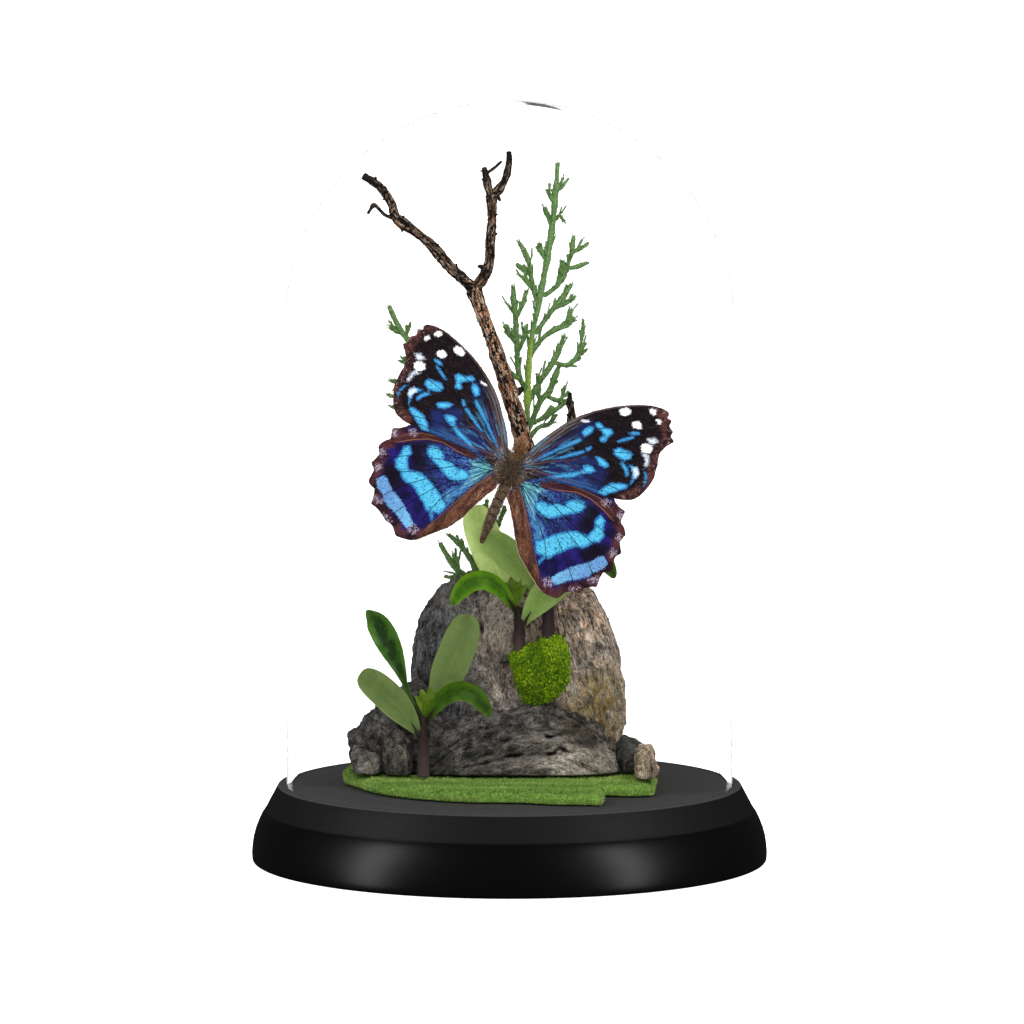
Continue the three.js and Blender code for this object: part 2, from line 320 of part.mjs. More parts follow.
function add(parent, name, m, material) {
  const mesh = new THREE.Mesh(geometryOf(m), material);
  mesh.name = name;
  parent.add(mesh);
  return mesh;
}

// Base: flat underside, round bulging side, sloped rim, flat top with the dome's groove
const base = turned([
  [0, 0], [BASE_R, 0], [BASE_R - 0.15, 3.0], [BASE_R - 0.9, 7.4], [BASE_R - 2.1, 10.9],
  [BASE_LIP_R, BASE_LIP_Z], [BASE_TOP_R, BASE_H],
  [GROOVE_OUT, BASE_H], [GROOVE_OUT, BASE_H - GROOVE_DEPTH], [GROOVE_IN, BASE_H - GROOVE_DEPTH], [GROOVE_IN, BASE_H], [0, BASE_H],
], 40);
add(display, "base", base, PAINT.base);

// Dome: one blown shell, open at the bottom
{
  const prof = [], steps = 7, rin = DOME_R - DOME_WALL;
  prof.push([rin, DOME_BOTTOM], [DOME_R, DOME_BOTTOM]);
  for (let i = 0; i <= steps; i++) {
    const a = (i / steps) * Math.PI / 2;
    prof.push([i === steps ? 0 : DOME_R * Math.cos(a), DOME_SPRING + DOME_R * Math.sin(a)]);
  }
  for (let i = steps; i >= 0; i--) {
    const a = (i / steps) * Math.PI / 2;
    prof.push([i === steps ? 0 : rin * Math.cos(a), DOME_SPRING + rin * Math.sin(a)]);
  }
  prof.push([rin, DOME_BOTTOM]);
  add(display, "glass_dome", turned(prof, 32), PAINT.glass);
}

// Turf mat under the planting
const planting = group("planting");
{
  const g = new THREE.ExtrudeGeometry(new THREE.Shape(MAT_OUTLINE.map(([x, y]) => new THREE.Vector2(x, y))),
    { depth: MAT_T, bevelEnabled: false });
  g.translate(0, 0, MAT_Z);
  add(planting, "turf_mat", solid(g), PAINT.mat);
}

// Stones, each cut back where it leans on the one before
const R = {};
{
  const fat = [];
  for (const [name, spec] of Object.entries(ROCKS)) {
    if (name === "moss") continue;
    let m = stone(spec);
    for (const f of fat) m = m.subtract(f);
    m = largest(m);
    fat.push(stone(spec, GAP));
    R[name] = m;
    add(planting, spec.node, m, PAINT.stone);
  }
  let m = stone(ROCKS.moss);
  for (const f of fat) m = m.subtract(f);
  R.moss = largest(m);
  R.fat = fat;
  R.mossFat = stone(ROCKS.moss, GAP);
  add(planting, "moss_patch", R.moss, PAINT.moss);
}
const offRocks = (m) => { for (const f of R.fat) m = m.subtract(f); return m.subtract(R.mossFat); };

// Branch, forked; each limb starts inside the one it grows from and is cut back to its bark
const branch = group("branch");
{
  const sides = { trunk: 8, limb_left: 7, limb_right: 7, fork_left: 6, fork_right: 6, twig_left: 5, twiglet: 5, stub: 5, twig_back: 6 };
  const of = (k, grow = 0) => rod(BRANCH[k], sides[k], Math.max(3, Math.round((BRANCH[k].length - 1) * 1.3)), { grow });
  const parents = { trunk: [], limb_left: ["trunk"], limb_right: ["trunk", "limb_left"], fork_left: ["limb_right"], fork_right: ["limb_right", "fork_left"],
    twig_left: ["limb_left"], twiglet: ["fork_left"], stub: ["trunk"], twig_back: ["trunk"] };
  const names = { trunk: "branch_trunk", limb_left: "branch_limb_left", limb_right: "branch_limb_right", fork_left: "branch_fork_left",
    fork_right: "branch_fork_right", twig_left: "branch_twig_left", twiglet: "branch_twig_right", stub: "branch_stub", twig_back: "branch_twig_back" };
  for (const k of Object.keys(BRANCH)) {
    let m = of(k);
    for (const q of parents[k]) m = m.subtract(of(q, GAP));
    if (k === "trunk") m = topPiece(offRocks(m));
    add(branch, names[k], largest(m), PAINT.bark);
    if (k === "trunk") R.trunk = of(k, GAP);
    if (k === "twig_back") R.twig = of(k, GAP);
  }
}

// Cypress sprigs: a main stem with flat side shoots, grown together
const sprigs = group("sprigs");
const sprig = (shoots) => {
  let m = rod(shoots[0], 5, Math.max(4, shoots[0].length - 1));
  for (const s of shoots.slice(1)) m = m.add(rod(s, s.length > 4 ? 4 : 3, s.length > 4 ? 3 : 2, { wide: 2.1, thin: 1.1 }));
  return m;
};
const clearOfBranch = (m) => m.subtract(R.trunk).subtract(R.twig);
const low = topPiece(clearOfBranch(offRocks(sprig(SPRIG_LOW))));
const left = topPiece(clearOfBranch(offRocks(sprig(SPRIG_LEFT))));
const right = topPiece(clearOfBranch(offRocks(sprig(SPRIG_RIGHT))));
add(sprigs, "sprig_right", right, PAINT.sprig);
add(sprigs, "sprig_left", left, PAINT.sprig);
add(sprigs, "sprig_low", low, PAINT.sprig);

// Seedlings: a fleshy stem and separate leaves pushed onto its top
const seedlings = group("seedlings");
{
  const kinds = {
    a: { mirror: 1, parts: ["leaf_a", "leaf_b", "leaf_c", "leaf_d", "bud"] },
    b: { mirror: -1, parts: ["leaf_b", "leaf_c", "leaf_d", "bud"] },
    c: { mirror: 1, parts: ["leaf_b", "leaf_d", "bud"] },
  };
  const label = { leaf_a: "leaf_wavy", leaf_b: "leaf_low", leaf_c: "leaf_high", leaf_d: "leaf_arched", bud: "bud" };
  for (const [k, kind] of Object.entries(kinds)) {
    const g = group("seedling_" + k, seedlings), at = SEEDLING_AT[k];
    const stemPts = place(SEEDLING.stem, at, kind.mirror);
    let stem = rod(stemPts, 8, 4);
    const stemFat = rod(stemPts, 8, 4, { grow: GAP });
    stem = topPiece(offRocks(stem).trimByPlane([0, 0, 1], GROUND));
    add(g, "seedling_" + k + "_stem", stem, PAINT.stem);
    const before = [stemFat];
    for (const q of kind.parts) {
      const pts = place(SEEDLING[q], at, kind.mirror);
      const isBud = q === "bud";
      const build = (grow) => isBud ? rod(pts, 6, 4, { grow }) : blade(pts, { grow });
      let m = build(0);
      for (const f of before) m = m.subtract(f);
      m = m.subtract(R.trunk);
      for (const f of R.fat) m = m.subtract(f);
      before.push(build(GAP));
      add(g, "seedling_" + k + "_" + label[q], largest(m), q === "leaf_d" ? PAINT.gloss : PAINT.leaf);
    }
  }
}

// Butterfly
const insect = group("butterfly");
{
  const thorax = ball(THORAX), thoraxFat = ball(THORAX, GAP);
  const head = ball(HEAD).subtract(thoraxFat);
  const abdomen = rod(ABDOMEN, 7, 6).subtract(thoraxFat);
  const bodyFat = thoraxFat.add(rod(ABDOMEN, 7, 6, { grow: GAP })).add(ball(HEAD, GAP));
  add(insect, "butterfly_thorax", thorax, PAINT.body);
  add(insect, "butterfly_head", largest(head), PAINT.body);
  add(insect, "butterfly_abdomen", largest(abdomen), PAINT.body);
  const cut = (m) => largest(m.subtract(bodyFat));
  add(insect, "forewing_right", cut(wing(FOREWING, 1, WING_LIFT)), PAINT.wing);
  add(insect, "forewing_left", cut(wing(moved(FOREWING, [1.0022, -0.0343, 0.0239, 1.0013, 0.7536, 0.1892]), -1, WING_LIFT)), PAINT.wing);
  add(insect, "hindwing_right", cut(wing(HINDWING, 1, -WING_LIFT)), PAINT.wing);
  add(insect, "hindwing_left", cut(wing(moved(HINDWING, [1.0031, 0.021, -0.008, 0.9708, 1.3056, 1.046]), -1, -WING_LIFT)), PAINT.wing);
}

export default display;
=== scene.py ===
# Butterfly display under a glass dome: the looks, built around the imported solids.
# Positions below are in millimetres in the part's frame (+Z up, front towards -Y) and are
# turned into metres when a mesh is made.
import bpy, json, math
import numpy as np
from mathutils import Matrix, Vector
from mathutils.bvhtree import BVHTree
from mathutils.geometry import delaunay_2d_cdt

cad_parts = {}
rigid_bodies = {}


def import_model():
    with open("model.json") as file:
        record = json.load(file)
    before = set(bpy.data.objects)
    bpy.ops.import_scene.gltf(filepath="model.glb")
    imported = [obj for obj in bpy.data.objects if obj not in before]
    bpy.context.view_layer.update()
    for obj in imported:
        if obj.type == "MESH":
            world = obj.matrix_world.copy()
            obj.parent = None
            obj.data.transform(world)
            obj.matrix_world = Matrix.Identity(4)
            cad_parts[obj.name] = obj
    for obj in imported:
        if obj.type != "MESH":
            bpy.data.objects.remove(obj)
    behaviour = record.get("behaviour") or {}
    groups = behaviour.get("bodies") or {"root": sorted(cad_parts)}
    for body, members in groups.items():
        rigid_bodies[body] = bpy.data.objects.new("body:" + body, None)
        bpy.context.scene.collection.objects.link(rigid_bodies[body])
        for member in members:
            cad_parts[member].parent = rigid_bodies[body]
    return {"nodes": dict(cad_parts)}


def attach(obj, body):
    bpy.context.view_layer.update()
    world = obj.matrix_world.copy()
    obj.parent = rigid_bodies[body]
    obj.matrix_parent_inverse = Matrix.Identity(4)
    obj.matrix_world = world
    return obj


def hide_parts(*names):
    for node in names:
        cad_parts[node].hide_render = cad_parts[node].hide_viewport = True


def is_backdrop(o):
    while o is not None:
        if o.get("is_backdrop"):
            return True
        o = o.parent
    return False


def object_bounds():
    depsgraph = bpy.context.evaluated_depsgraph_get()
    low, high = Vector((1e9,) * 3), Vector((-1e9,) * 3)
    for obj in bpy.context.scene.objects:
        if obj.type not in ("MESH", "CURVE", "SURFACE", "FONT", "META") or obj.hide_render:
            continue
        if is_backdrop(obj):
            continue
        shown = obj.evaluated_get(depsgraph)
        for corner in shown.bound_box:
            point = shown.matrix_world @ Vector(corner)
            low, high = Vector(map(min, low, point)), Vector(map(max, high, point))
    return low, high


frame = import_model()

CAD_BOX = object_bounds()
MM = 0.001
scene = bpy.context.scene
nodes = frame["nodes"]


def node_obj(name):
    o = nodes[name] if isinstance(nodes, dict) else None
    return o if isinstance(o, bpy.types.Object) else bpy.data.objects[name]


# ------------------------------------------------------------------ numbers
def smooth01(x, a, b):
    t = np.clip((x - a) / (b - a), 0, 1)
    return t * t * (3 - 2 * t)


def _hash(i, j, k, s):
    n = (i * 73856093) ^ (j * 19349663) ^ (k * 83492791) ^ (s * 1013904223)
    n = n & 0xFFFFFFFF
    n = ((n ^ (n >> 15)) * 2246822519) & 0xFFFFFFFF
    n = ((n ^ (n >> 13)) * 3266489917) & 0xFFFFFFFF
    return (n ^ (n >> 16)) / 4294967295.0 * 2 - 1


def vnoise(P, f=1.0, seed=0):
    Q = np.asarray(P, float) * f
    i = np.floor(Q).astype(np.int64)
    u = Q - i
    u = u * u * u * (u * (u * 6 - 15) + 10)
    out = 0
    for dx in (0, 1):
        wx = u[:, 0] if dx else 1 - u[:, 0]
        for dy in (0, 1):
            wy = u[:, 1] if dy else 1 - u[:, 1]
            for dz in (0, 1):
                wz = u[:, 2] if dz else 1 - u[:, 2]
                out = out + wx * wy * wz * _hash(i[:, 0] + dx, i[:, 1] + dy, i[:, 2] + dz, seed)
    return out


def fbm(P, f, octaves=4, seed=0, gain=0.5, ridge=False):
    out, amp, tot = 0, 1.0, 0.0
    for o in range(octaves):
        n = vnoise(P, f * 2.03 ** o, seed + 17 * o)
        out = out + amp * ((1 - 2 * np.abs(n)) if ridge else n)
        tot += amp
        amp *= gain
    return out / tot


def worley(P, f, seed=0):
    """Distance to the nearest and second nearest jittered point, in cells, and the nearest one's random value."""
    Q = np.asarray(P, float) * f
    i = np.floor(Q).astype(np.int64)
    d1 = np.full(len(Q), 9.0)
    d2 = np.full(len(Q), 9.0)
    cell = np.zeros(len(Q))
    for dx in (-1, 0, 1):
        for dy in (-1, 0, 1):
            for dz in (-1, 0, 1):
                a, b, c = i[:, 0] + dx, i[:, 1] + dy, i[:, 2] + dz
                px = a + 0.5 + 0.45 * _hash(a, b, c, seed + 1)
                py = b + 0.5 + 0.45 * _hash(a, b, c, seed + 2)
                pz = c + 0.5 + 0.45 * _hash(a, b, c, seed + 3)
                d = np.sqrt((Q[:, 0] - px) ** 2 + (Q[:, 1] - py) ** 2 + (Q[:, 2] - pz) ** 2)
                near = d < d1
                d2 = np.where(near, d1, np.minimum(d2, d))
                cell = np.where(near, _hash(a, b, c, seed + 4), cell)
                d1 = np.where(near, d, d1)
    return d1, d2, cell


def spline(points, n, ends=True):
    """n rows along a Catmull-Rom curve through points, which may carry extra columns such as a radius, evenly spaced."""
    P = np.asarray(points, float)
    A = np.vstack([2 * P[0] - P[1], P, 2 * P[-1] - P[-2]])
    rows = []
    for k in range(len(P) - 1):
        p0, p1, p2, p3 = A[k], A[k + 1], A[k + 2], A[k + 3]
        for t in np.linspace(0, 1, 24, endpoint=False):
            rows.append(0.5 * (2 * p1 + (p2 - p0) * t + (2 * p0 - 5 * p1 + 4 * p2 - p3) * t * t + (3 * p1 - p0 - 3 * p2 + p3) * t ** 3))
    rows.append(P[-1])
    rows = np.array(rows)
    d = np.r_[0, np.cumsum(np.linalg.norm(np.diff(rows[:, :3], axis=0), axis=1))]
    t = np.linspace(0, d[-1], n)
    return np.stack([np.interp(t, d, rows[:, c]) for c in range(rows.shape[1])], 1), d[-1]


def unit(v):
    v = np.asarray(v, float)
    return v / np.maximum(np.linalg.norm(v, axis=-1, keepdims=True), 1e-12)


def frames(C, hint=(0, -1, 0)):
    """Tangent, side and front for each point of a centre line, turning as little as possible."""
    T = unit(np.gradient(C, axis=0))
    h = np.array(hint, float)
    S, F = [], []
    for t in T:
        h = h - t * (h @ t)
        h = h / np.linalg.norm(h)
        F.append(h.copy())
        S.append(np.cross(t, h))
    return T, np.array(S), np.array(F)


def poly_distance(P, poly):
    """Signed distance in the plane from each point to a closed outline, positive inside."""
    A = np.asarray(poly, float)
    B = np.roll(A, -1, 0)
    d2 = np.full(len(P), 1e18)
    inside = np.zeros(len(P), bool)
    for a, b in zip(A, B):
        e = b - a
        w = P - a
        t = np.clip((w @ e) / max(e @ e, 1e-12), 0, 1)
        q = w - t[:, None] * e
        d2 = np.minimum(d2, (q * q).sum(1))
        c = (a[1] > P[:, 1]) != (b[1] > P[:, 1])
        if b[1] != a[1]:
            inside ^= c & (P[:, 0] < (b[0] - a[0]) * (P[:, 1] - a[1]) / (b[1] - a[1]) + a[0])
    d = np.sqrt(d2)
    return np.where(inside, d, -d)


def line_distance(P, line):
    """Distance to an open line, and how far along it the nearest point is, from 0 to 1."""
    A = np.asarray(line, float)
    seg = np.linalg.norm(np.diff(A, axis=0), axis=1)
    run = np.r_[0, np.cumsum(seg)]
    best = np.full(len(P), 1e9)
    at = np.zeros(len(P))
    for k in range(len(A) - 1):
        e = A[k + 1] - A[k]
        w = P - A[k]
        t = np.clip((w @ e) / max(e @ e, 1e-12), 0, 1)
        d = np.linalg.norm(w - t[:, None] * e, axis=1)
        near = d < best
        best = np.where(near, d, best)
        at = np.where(near, (run[k] + t * seg[k]) / run[-1], at)
    return best, at


# ------------------------------------------------------------------ meshes
def make(name, V, F, mat, slot, attrs=None, smooth=True, replaces=(), mats=None, face_mat=None):
    me = bpy.data.meshes.new(name)
    F = F.tolist() if isinstance(F, np.ndarray) else F
    me.from_pydata((np.asarray(V, float) * MM).tolist(), [], F)
    me.validate()
    if smooth:
        me.shade_smooth()
    for k, v in (attrs or {}).items():
        a = me.attributes.new(k, "FLOAT", "POINT")
        a.data.foreach_set("value", np.asarray(v, np.float32))
    ob = bpy.data.objects.new(name, me)
    scene.collection.objects.link(ob)
    for m in (mats or [mat]):
        me.materials.append(m)
    if face_mat is not None:
        me.polygons.foreach_set("material_index", np.asarray(face_mat, np.int32))
    me.update()
    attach(ob, "root")
    if replaces:
        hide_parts(*replaces)
    return ob


def grid_faces(rows, cols, wrap=False, base=0):
    r = np.arange(rows - 1)[:, None]
    c = np.arange(cols if wrap else cols - 1)[None, :]
    a = r * cols + c
    b = r * cols + (c + 1) % cols
    return np.stack([a, b, b + cols, a + cols], -1).reshape(-1, 4) + base


def tube(points, rows, sides, hint=(0, -1, 0), shape=None, round_tip=True, round_root=False):
    """A closed rod along points with a radius column. shape(C, T, S, F, ang, r, s) may return the radius for each ring and side."""
    L, length = spline(points, rows)
    C, r = L[:, :3], L[:, 3]
    T, S, Fr = frames(C, hint)
    ang = np.linspace(0, 2 * np.pi, sides, endpoint=False)
    s = np.linspace(0, length, rows)
    R = np.repeat(r[:, None], sides, 1)
    if shape is not None:
        R = shape(C, S, Fr, ang, R, s, length)
    D = S[:, None, :] * np.cos(ang)[None, :, None] + Fr[:, None, :] * np.sin(ang)[None, :, None]
    V = (C[:, None, :] + D * R[:, :, None]).reshape(-1, 3)
    F = grid_faces(rows, sides, True).tolist()
    n = len(V)
    tip = C[-1] + T[-1] * (r[-1] * 0.6 if round_tip else 0)
    root = C[0] - T[0] * (r[0] * 0.6 if round_root else 0)
    V = np.vstack([V, root, tip])
    for k in range(sides):
        F.append([n, (k + 1) % sides, k])
        F.append([n + 1, (rows - 1) * sides + k, (rows - 1) * sides + (k + 1) % sides])
    return V, F, dict(rows=rows, sides=sides, length=length, s=np.r_[np.repeat(s, sides), 0, length])


class Parts:
    """Collects many small pieces of mesh into one."""

    def __init__(self, *keys):
        self.V, self.F, self.n = [], [], 0
        self.A = {k: [] for k in keys}

    def add(self, V, F, **attrs):
        V = np.asarray(V, float)
        self.V.append(V)
        if isinstance(F, np.ndarray):
            self.F.extend((F + self.n).tolist())
        else:
            n = self.n
            self.F.extend([[i + n for i in f] for f in F])
        self.n += len(V)
        for k in self.A:
            v = attrs.get(k, 0.0)
            self.A[k].append(np.full(len(V), v, float) if np.isscalar(v) else np.asarray(v, float))

    def make(self, name, mat, slot, **kw):
        return make(name, np.vstack(self.V), self.F, mat, slot, attrs={k: np.concatenate(v) for k, v in self.A.items()}, **kw)


# ------------------------------------------------------------------ materials
# last trim of each material's brightness and hue, in linear light
TINT = {
    "leaf_oval": (0.69, 0.525, 0.45),
    "leaf_wavy": (0.42, 0.41, 0.20),
    "leaf_arched": (0.54, 0.41, 0.10),
    "young_leaf": (0.64, 0.68, 0.26),
    "leaf_arched_top": (0.84, 0.68, 0.08),
    "leaf_fresh": (1.2, 0.94, 0.72),
    "leaf_pale": (2.3, 1.95, 2.2),
    "stone_grey": (0.66, 0.63, 0.63),
    "stone_shade": (0.36, 0.35, 0.345),
    "stone_slate": (0.25, 0.245, 0.245),
    "stone_ledge": (0.225, 0.22, 0.22),
    "stone_sand": (0.92, 0.88, 0.82),
    "seedling_stem": (0.26, 0.24, 0.22),
    "moss_grains": (0.78, 0.74, 0.35),
    "turf_pile": (0.86, 0.81, 0.80),
}


class Nodes:
    def __init__(self, name, rough=0.6, spec=0.5, bump=None):
        self.mat = bpy.data.materials.new(name)
        self.mat.use_nodes = True
        self.nt = self.mat.node_tree
        self.p = self.nt.nodes["Principled BSDF"]
        self.p.inputs["Roughness"].default_value = rough
        self.p.inputs["Specular IOR Level"].default_value = spec
        self._tc = None

    def new(self, kind, **props):
        n = self.nt.nodes.new(kind)
        for k, v in props.items():
            setattr(n, k, v)
        return n

    def put(self, socket, v):
        if isinstance(v, (int, float)):
            socket.default_value = v
        elif isinstance(v, (tuple, list)):
            v = tuple(v)
            socket.default_value = v + (1.0,) if len(v) == 3 and socket.type == "RGBA" else v
        else:
            self.nt.links.new(v, socket)

    def pos(self, scale=(1, 1, 1), turn=(0, 0, 0)):
        """Object position in millimetres, stretched."""
        if self._tc is None:
            self._tc = self.new("ShaderNodeTexCoord").outputs["Object"]
        m = self.new("ShaderNodeMapping")
        m.inputs["Scale"].default_value = tuple(1000 * s for s in scale)
        m.inputs["Rotation"].default_value = turn
        self.nt.links.new(self._tc, m.inputs["Vector"])
        return m.outputs["Vector"]

    def shift(self, vec, by):
        n = self.new("ShaderNodeVectorMath")
        n.operation = "ADD"
        self.put(n.inputs[0], vec)
        n.inputs[1].default_value = (by, -by * 0.7, by * 0.4)
        return n.outputs[0]

    def noise(self, scale, detail=3, rough=0.55, vec=None, dist=0.0):
        n = self.new("ShaderNodeTexNoise")
        n.inputs["Scale"].default_value = scale
        n.inputs["Detail"].default_value = detail
        n.inputs["Roughness"].default_value = rough
        n.inputs["Distortion"].default_value = dist
        self.nt.links.new(vec if vec is not None else self.pos(), n.inputs["Vector"])
        return n.outputs["Fac"]

    def voronoi(self, scale, vec=None, feature="F1", out="Distance", rand=1.0):
        n = self.new("ShaderNodeTexVoronoi", feature=feature)
        n.inputs["Scale"].default_value = scale
        n.inputs["Randomness"].default_value = rand
        self.nt.links.new(vec if vec is not None else self.pos(), n.inputs["Vector"])
        return n.outputs[out]

    def attr(self, name):
        return self.new("ShaderNodeAttribute", attribute_name=name, attribute_type="GEOMETRY").outputs["Fac"]

    def math(self, op, a, b=0.0, c=0.0, clamp=False):
        n = self.new("ShaderNodeMath", operation=op, use_clamp=clamp)
        self.put(n.inputs[0], a)
        self.put(n.inputs[1], b)
        if op in ("MULTIPLY_ADD", "SMOOTH_MIN", "SMOOTH_MAX", "WRAP", "COMPARE"):
            self.put(n.inputs[2], c)
        return n.outputs[0]

    def step(self, v, a, b, lo=0.0, hi=1.0):
        n = self.new("ShaderNodeMapRange", interpolation_type="SMOOTHSTEP")
        self.put(n.inputs["Value"], v)
        for k, x in (("From Min", a), ("From Max", b), ("To Min", lo), ("To Max", hi)):
            n.inputs[k].default_value = x
        return n.outputs["Result"]

    def mix(self, f, a, b, blend="MIX"):
        n = self.new("ShaderNodeMix", data_type="RGBA", blend_type=blend)
        n.clamp_factor = True
        self.put(n.inputs[0], f)
        self.put(n.inputs[6], a)
        self.put(n.inputs[7], b)
        return n.outputs[2]

    def ramp(self, f, stops, mode="LINEAR"):
        n = self.new("ShaderNodeValToRGB")
        n.color_ramp.interpolation = mode
        el = n.color_ramp.elements
        while len(el) > 1:
            el.remove(el[-1])
        el[0].position = stops[0][0]
        el[0].color = (*stops[0][1], 1)
        for p, c in stops[1:]:
            e = el.new(p)
            e.color = (*c, 1)
        self.nt.links.new(f, n.inputs["Fac"])
        return n.outputs["Color"]

    def bump(self, height, strength=0.5, dist=0.2, normal=None):
        n = self.new("ShaderNodeBump")
        n.inputs["Strength"].default_value = strength
        n.inputs["Distance"].default_value = dist * MM
        self.put(n.inputs["Height"], height)
        if normal is not None:
            self.nt.links.new(normal, n.inputs["Normal"])
        return n.outputs["Normal"]

    def done(self, color=None, rough=None, normal=None):
        if color is not None and self.mat.name in TINT:
            color = self.mix(1.0, color, TINT[self.mat.name], "MULTIPLY")
        if color is not None:
            self.put(self.p.inputs["Base Color"], color)
        if rough is not None:
            self.put(self.p.inputs["Roughness"], rough)
        if normal is not None:
            self.put(self.p.inputs["Normal"], normal)
        return self.mat


def srgb(r, g, b, k=1.0):
    f = lambda c: (c / 12.92 if c <= 0.04045 else ((c + 0.055) / 1.055) ** 2.4)
    return tuple(f(v / 255) * k for v in (r, g, b))

# ------------------------------------------------------------------ camera, light, floor
cam_data = bpy.data.cameras.new("camera")
cam_data.lens, cam_data.sensor_width, cam_data.sensor_height = 135.0, 36.0, 36.0
cam_data.clip_start, cam_data.clip_end = 0.01, 50
cam = bpy.data.objects.new("camera", cam_data)
cam.location = (0.00063, -0.963766, 0.149535)
cam.rotation_euler = (Vector((0.00063, 0, 0.0875)) - cam.location).to_track_quat("-Z", "Y").to_euler()
scene.collection.objects.link(cam)
scene.camera = cam
scene.view_settings.view_transform = "Standard"
scene.view_settings.look = "None"

world = bpy.data.worlds.new("studio")
scene.world = world
world.use_nodes = True
wn = world.node_tree
wn.nodes.clear()
w_out = wn.nodes.new("ShaderNodeOutputWorld")
w_mix = wn.nodes.new("ShaderNodeMixShader")
w_cam = wn.nodes.new("ShaderNodeBackground")
w_cam.inputs["Color"].default_value = (1, 1, 1, 1)
w_cam.inputs["Strength"].default_value = 1.06
w_lit = wn.nodes.new("ShaderNodeBackground")
w_lit.inputs["Strength"].default_value = 0.62
# the studio is brighter above than below, with a dark flag high behind the object on the right
w_tc = wn.nodes.new("ShaderNodeTexCoord")
w_sep = wn.nodes.new("ShaderNodeSeparateXYZ")
wn.links.new(w_tc.outputs["Generated"], w_sep.inputs[0])
w_ramp = wn.nodes.new("ShaderNodeValToRGB")
w_ramp.color_ramp.elements[0].position = 0.30
w_ramp.color_ramp.elements[0].color = (0.55, 0.55, 0.56, 1)
w_ramp.color_ramp.elements[1].position = 0.85
w_ramp.color_ramp.elements[1].color = (1.0, 1.0, 1.0, 1)
w_half = wn.nodes.new("ShaderNodeMath")
w_half.operation = "MULTIPLY_ADD"
w_half.inputs[1].default_value = 0.5
w_half.inputs[2].default_value = 0.5
wn.links.new(w_sep.outputs["Z"], w_half.inputs[0])
wn.links.new(w_half.outputs[0], w_ramp.inputs["Fac"])
w_path = wn.nodes.new("ShaderNodeLightPath")


def w_math(op, a, b=None, c=None):
    n = wn.nodes.new("ShaderNodeMath")
    n.operation = op
    for k, v in enumerate((a, b, c)):
        if v is None:
            continue
        if isinstance(v, (int, float)):
            n.inputs[k].default_value = v
        else:
            wn.links.new(v, n.inputs[k])
    return n.outputs[0]


def w_step(v, lo, hi, t0=0.0, t1=1.0):
    n = wn.nodes.new("ShaderNodeMapRange")
    n.interpolation_type = "SMOOTHSTEP"
    wn.links.new(v, n.inputs["Value"])
    for k, x in (("From Min", lo), ("From Max", hi), ("To Min", t0), ("To Max", t1)):
        n.inputs[k].default_value = x
    return n.outputs["Result"]


trans = w_path.outputs["Is Transmission Ray"]
bent = w_math("MINIMUM", w_path.outputs["Glossy Depth"], 1.0)
# light led round inside the glass at its rim comes from straight behind; mirrored light comes from a dark room
led = w_math("MULTIPLY", w_math("MULTIPLY", trans, bent), w_math("LESS_THAN", w_path.outputs["Transmission Depth"], 2.5))
ahead = w_step(w_sep.outputs["Y"], 0.85, 0.89)
turn = w_math("ARCTAN2", w_sep.outputs["X"], w_math("SUBTRACT", w_sep.outputs["Z"], 0.042))
wedge = w_math("MULTIPLY", w_step(turn, 0.02, 0.12), w_step(turn, 0.37, 0.26))
flag = w_math("MULTIPLY", wedge, w_step(w_sep.outputs["Y"], 0.936, 0.952))
rim_light = w_math("MULTIPLY", w_math("MULTIPLY", ahead, 4.6), w_math("MULTIPLY_ADD", flag, -0.965, 1.0))
mirrored = w_math("MAXIMUM", w_path.outputs["Is Glossy Ray"], w_math("MULTIPLY", trans, bent))
power = w_math("ADD", w_math("MULTIPLY", led, rim_light), w_math("MULTIPLY_ADD", mirrored, -0.54, 0.58))
wn.links.new(power, w_lit.inputs["Strength"])
wn.links.new(w_ramp.outputs["Color"], w_lit.inputs["Color"])
plain = w_math("MULTIPLY", w_math("MULTIPLY", trans, w_math("SUBTRACT", 1.0, bent)), w_math("LESS_THAN", w_path.outputs["Diffuse Depth"], 0.5))
wn.links.new(w_math("MAXIMUM", w_path.outputs["Is Camera Ray"], plain), w_mix.inputs["Fac"])
wn.links.new(w_lit.outputs[0], w_mix.inputs[1])
wn.links.new(w_cam.outputs[0], w_mix.inputs[2])
# seen through the glass the backdrop makes up for what the glass takes away
wn.links.new(w_math("MULTIPLY_ADD", plain, 0.66, 1.06), w_cam.inputs["Strength"])
wn.links.new(w_mix.outputs[0], w_out.inputs["Surface"])


def area(name, at, target, size, power, size_y=None):
    d = bpy.data.lights.new(name, "AREA")
    d.shape = "RECTANGLE"
    d.size, d.size_y, d.energy = size, size_y or size, power
    o = bpy.data.objects.new(name, d)
    o.location = at
    o.rotation_euler = (Vector(target) - Vector(at)).to_track_quat("-Z", "Y").to_euler()
    scene.collection.objects.link(o)
    return o


area("key", (0.62, -0.80, 0.85), (0, 0, 0.08), 0.32, 7.4)
area("fill", (-0.75, -0.75, 0.40), (0, 0, 0.09), 0.5, 1.9)
area("front", (0.05, -1.35, 0.28), (0, 0, 0.08), 0.5, 3.2)
area("top", (0.0, 0.10, 1.1), (0, 0, 0.08), 0.6, 4.6)
area("strip_left", (-0.745, -0.385, 0.24), (-0.03, -0.03, 0.008), 0.20, 5.5, 0.80)
area("strip_right", (0.665, -0.498, 0.24), (0.03, -0.03, 0.008), 0.18, 5.5, 0.80)

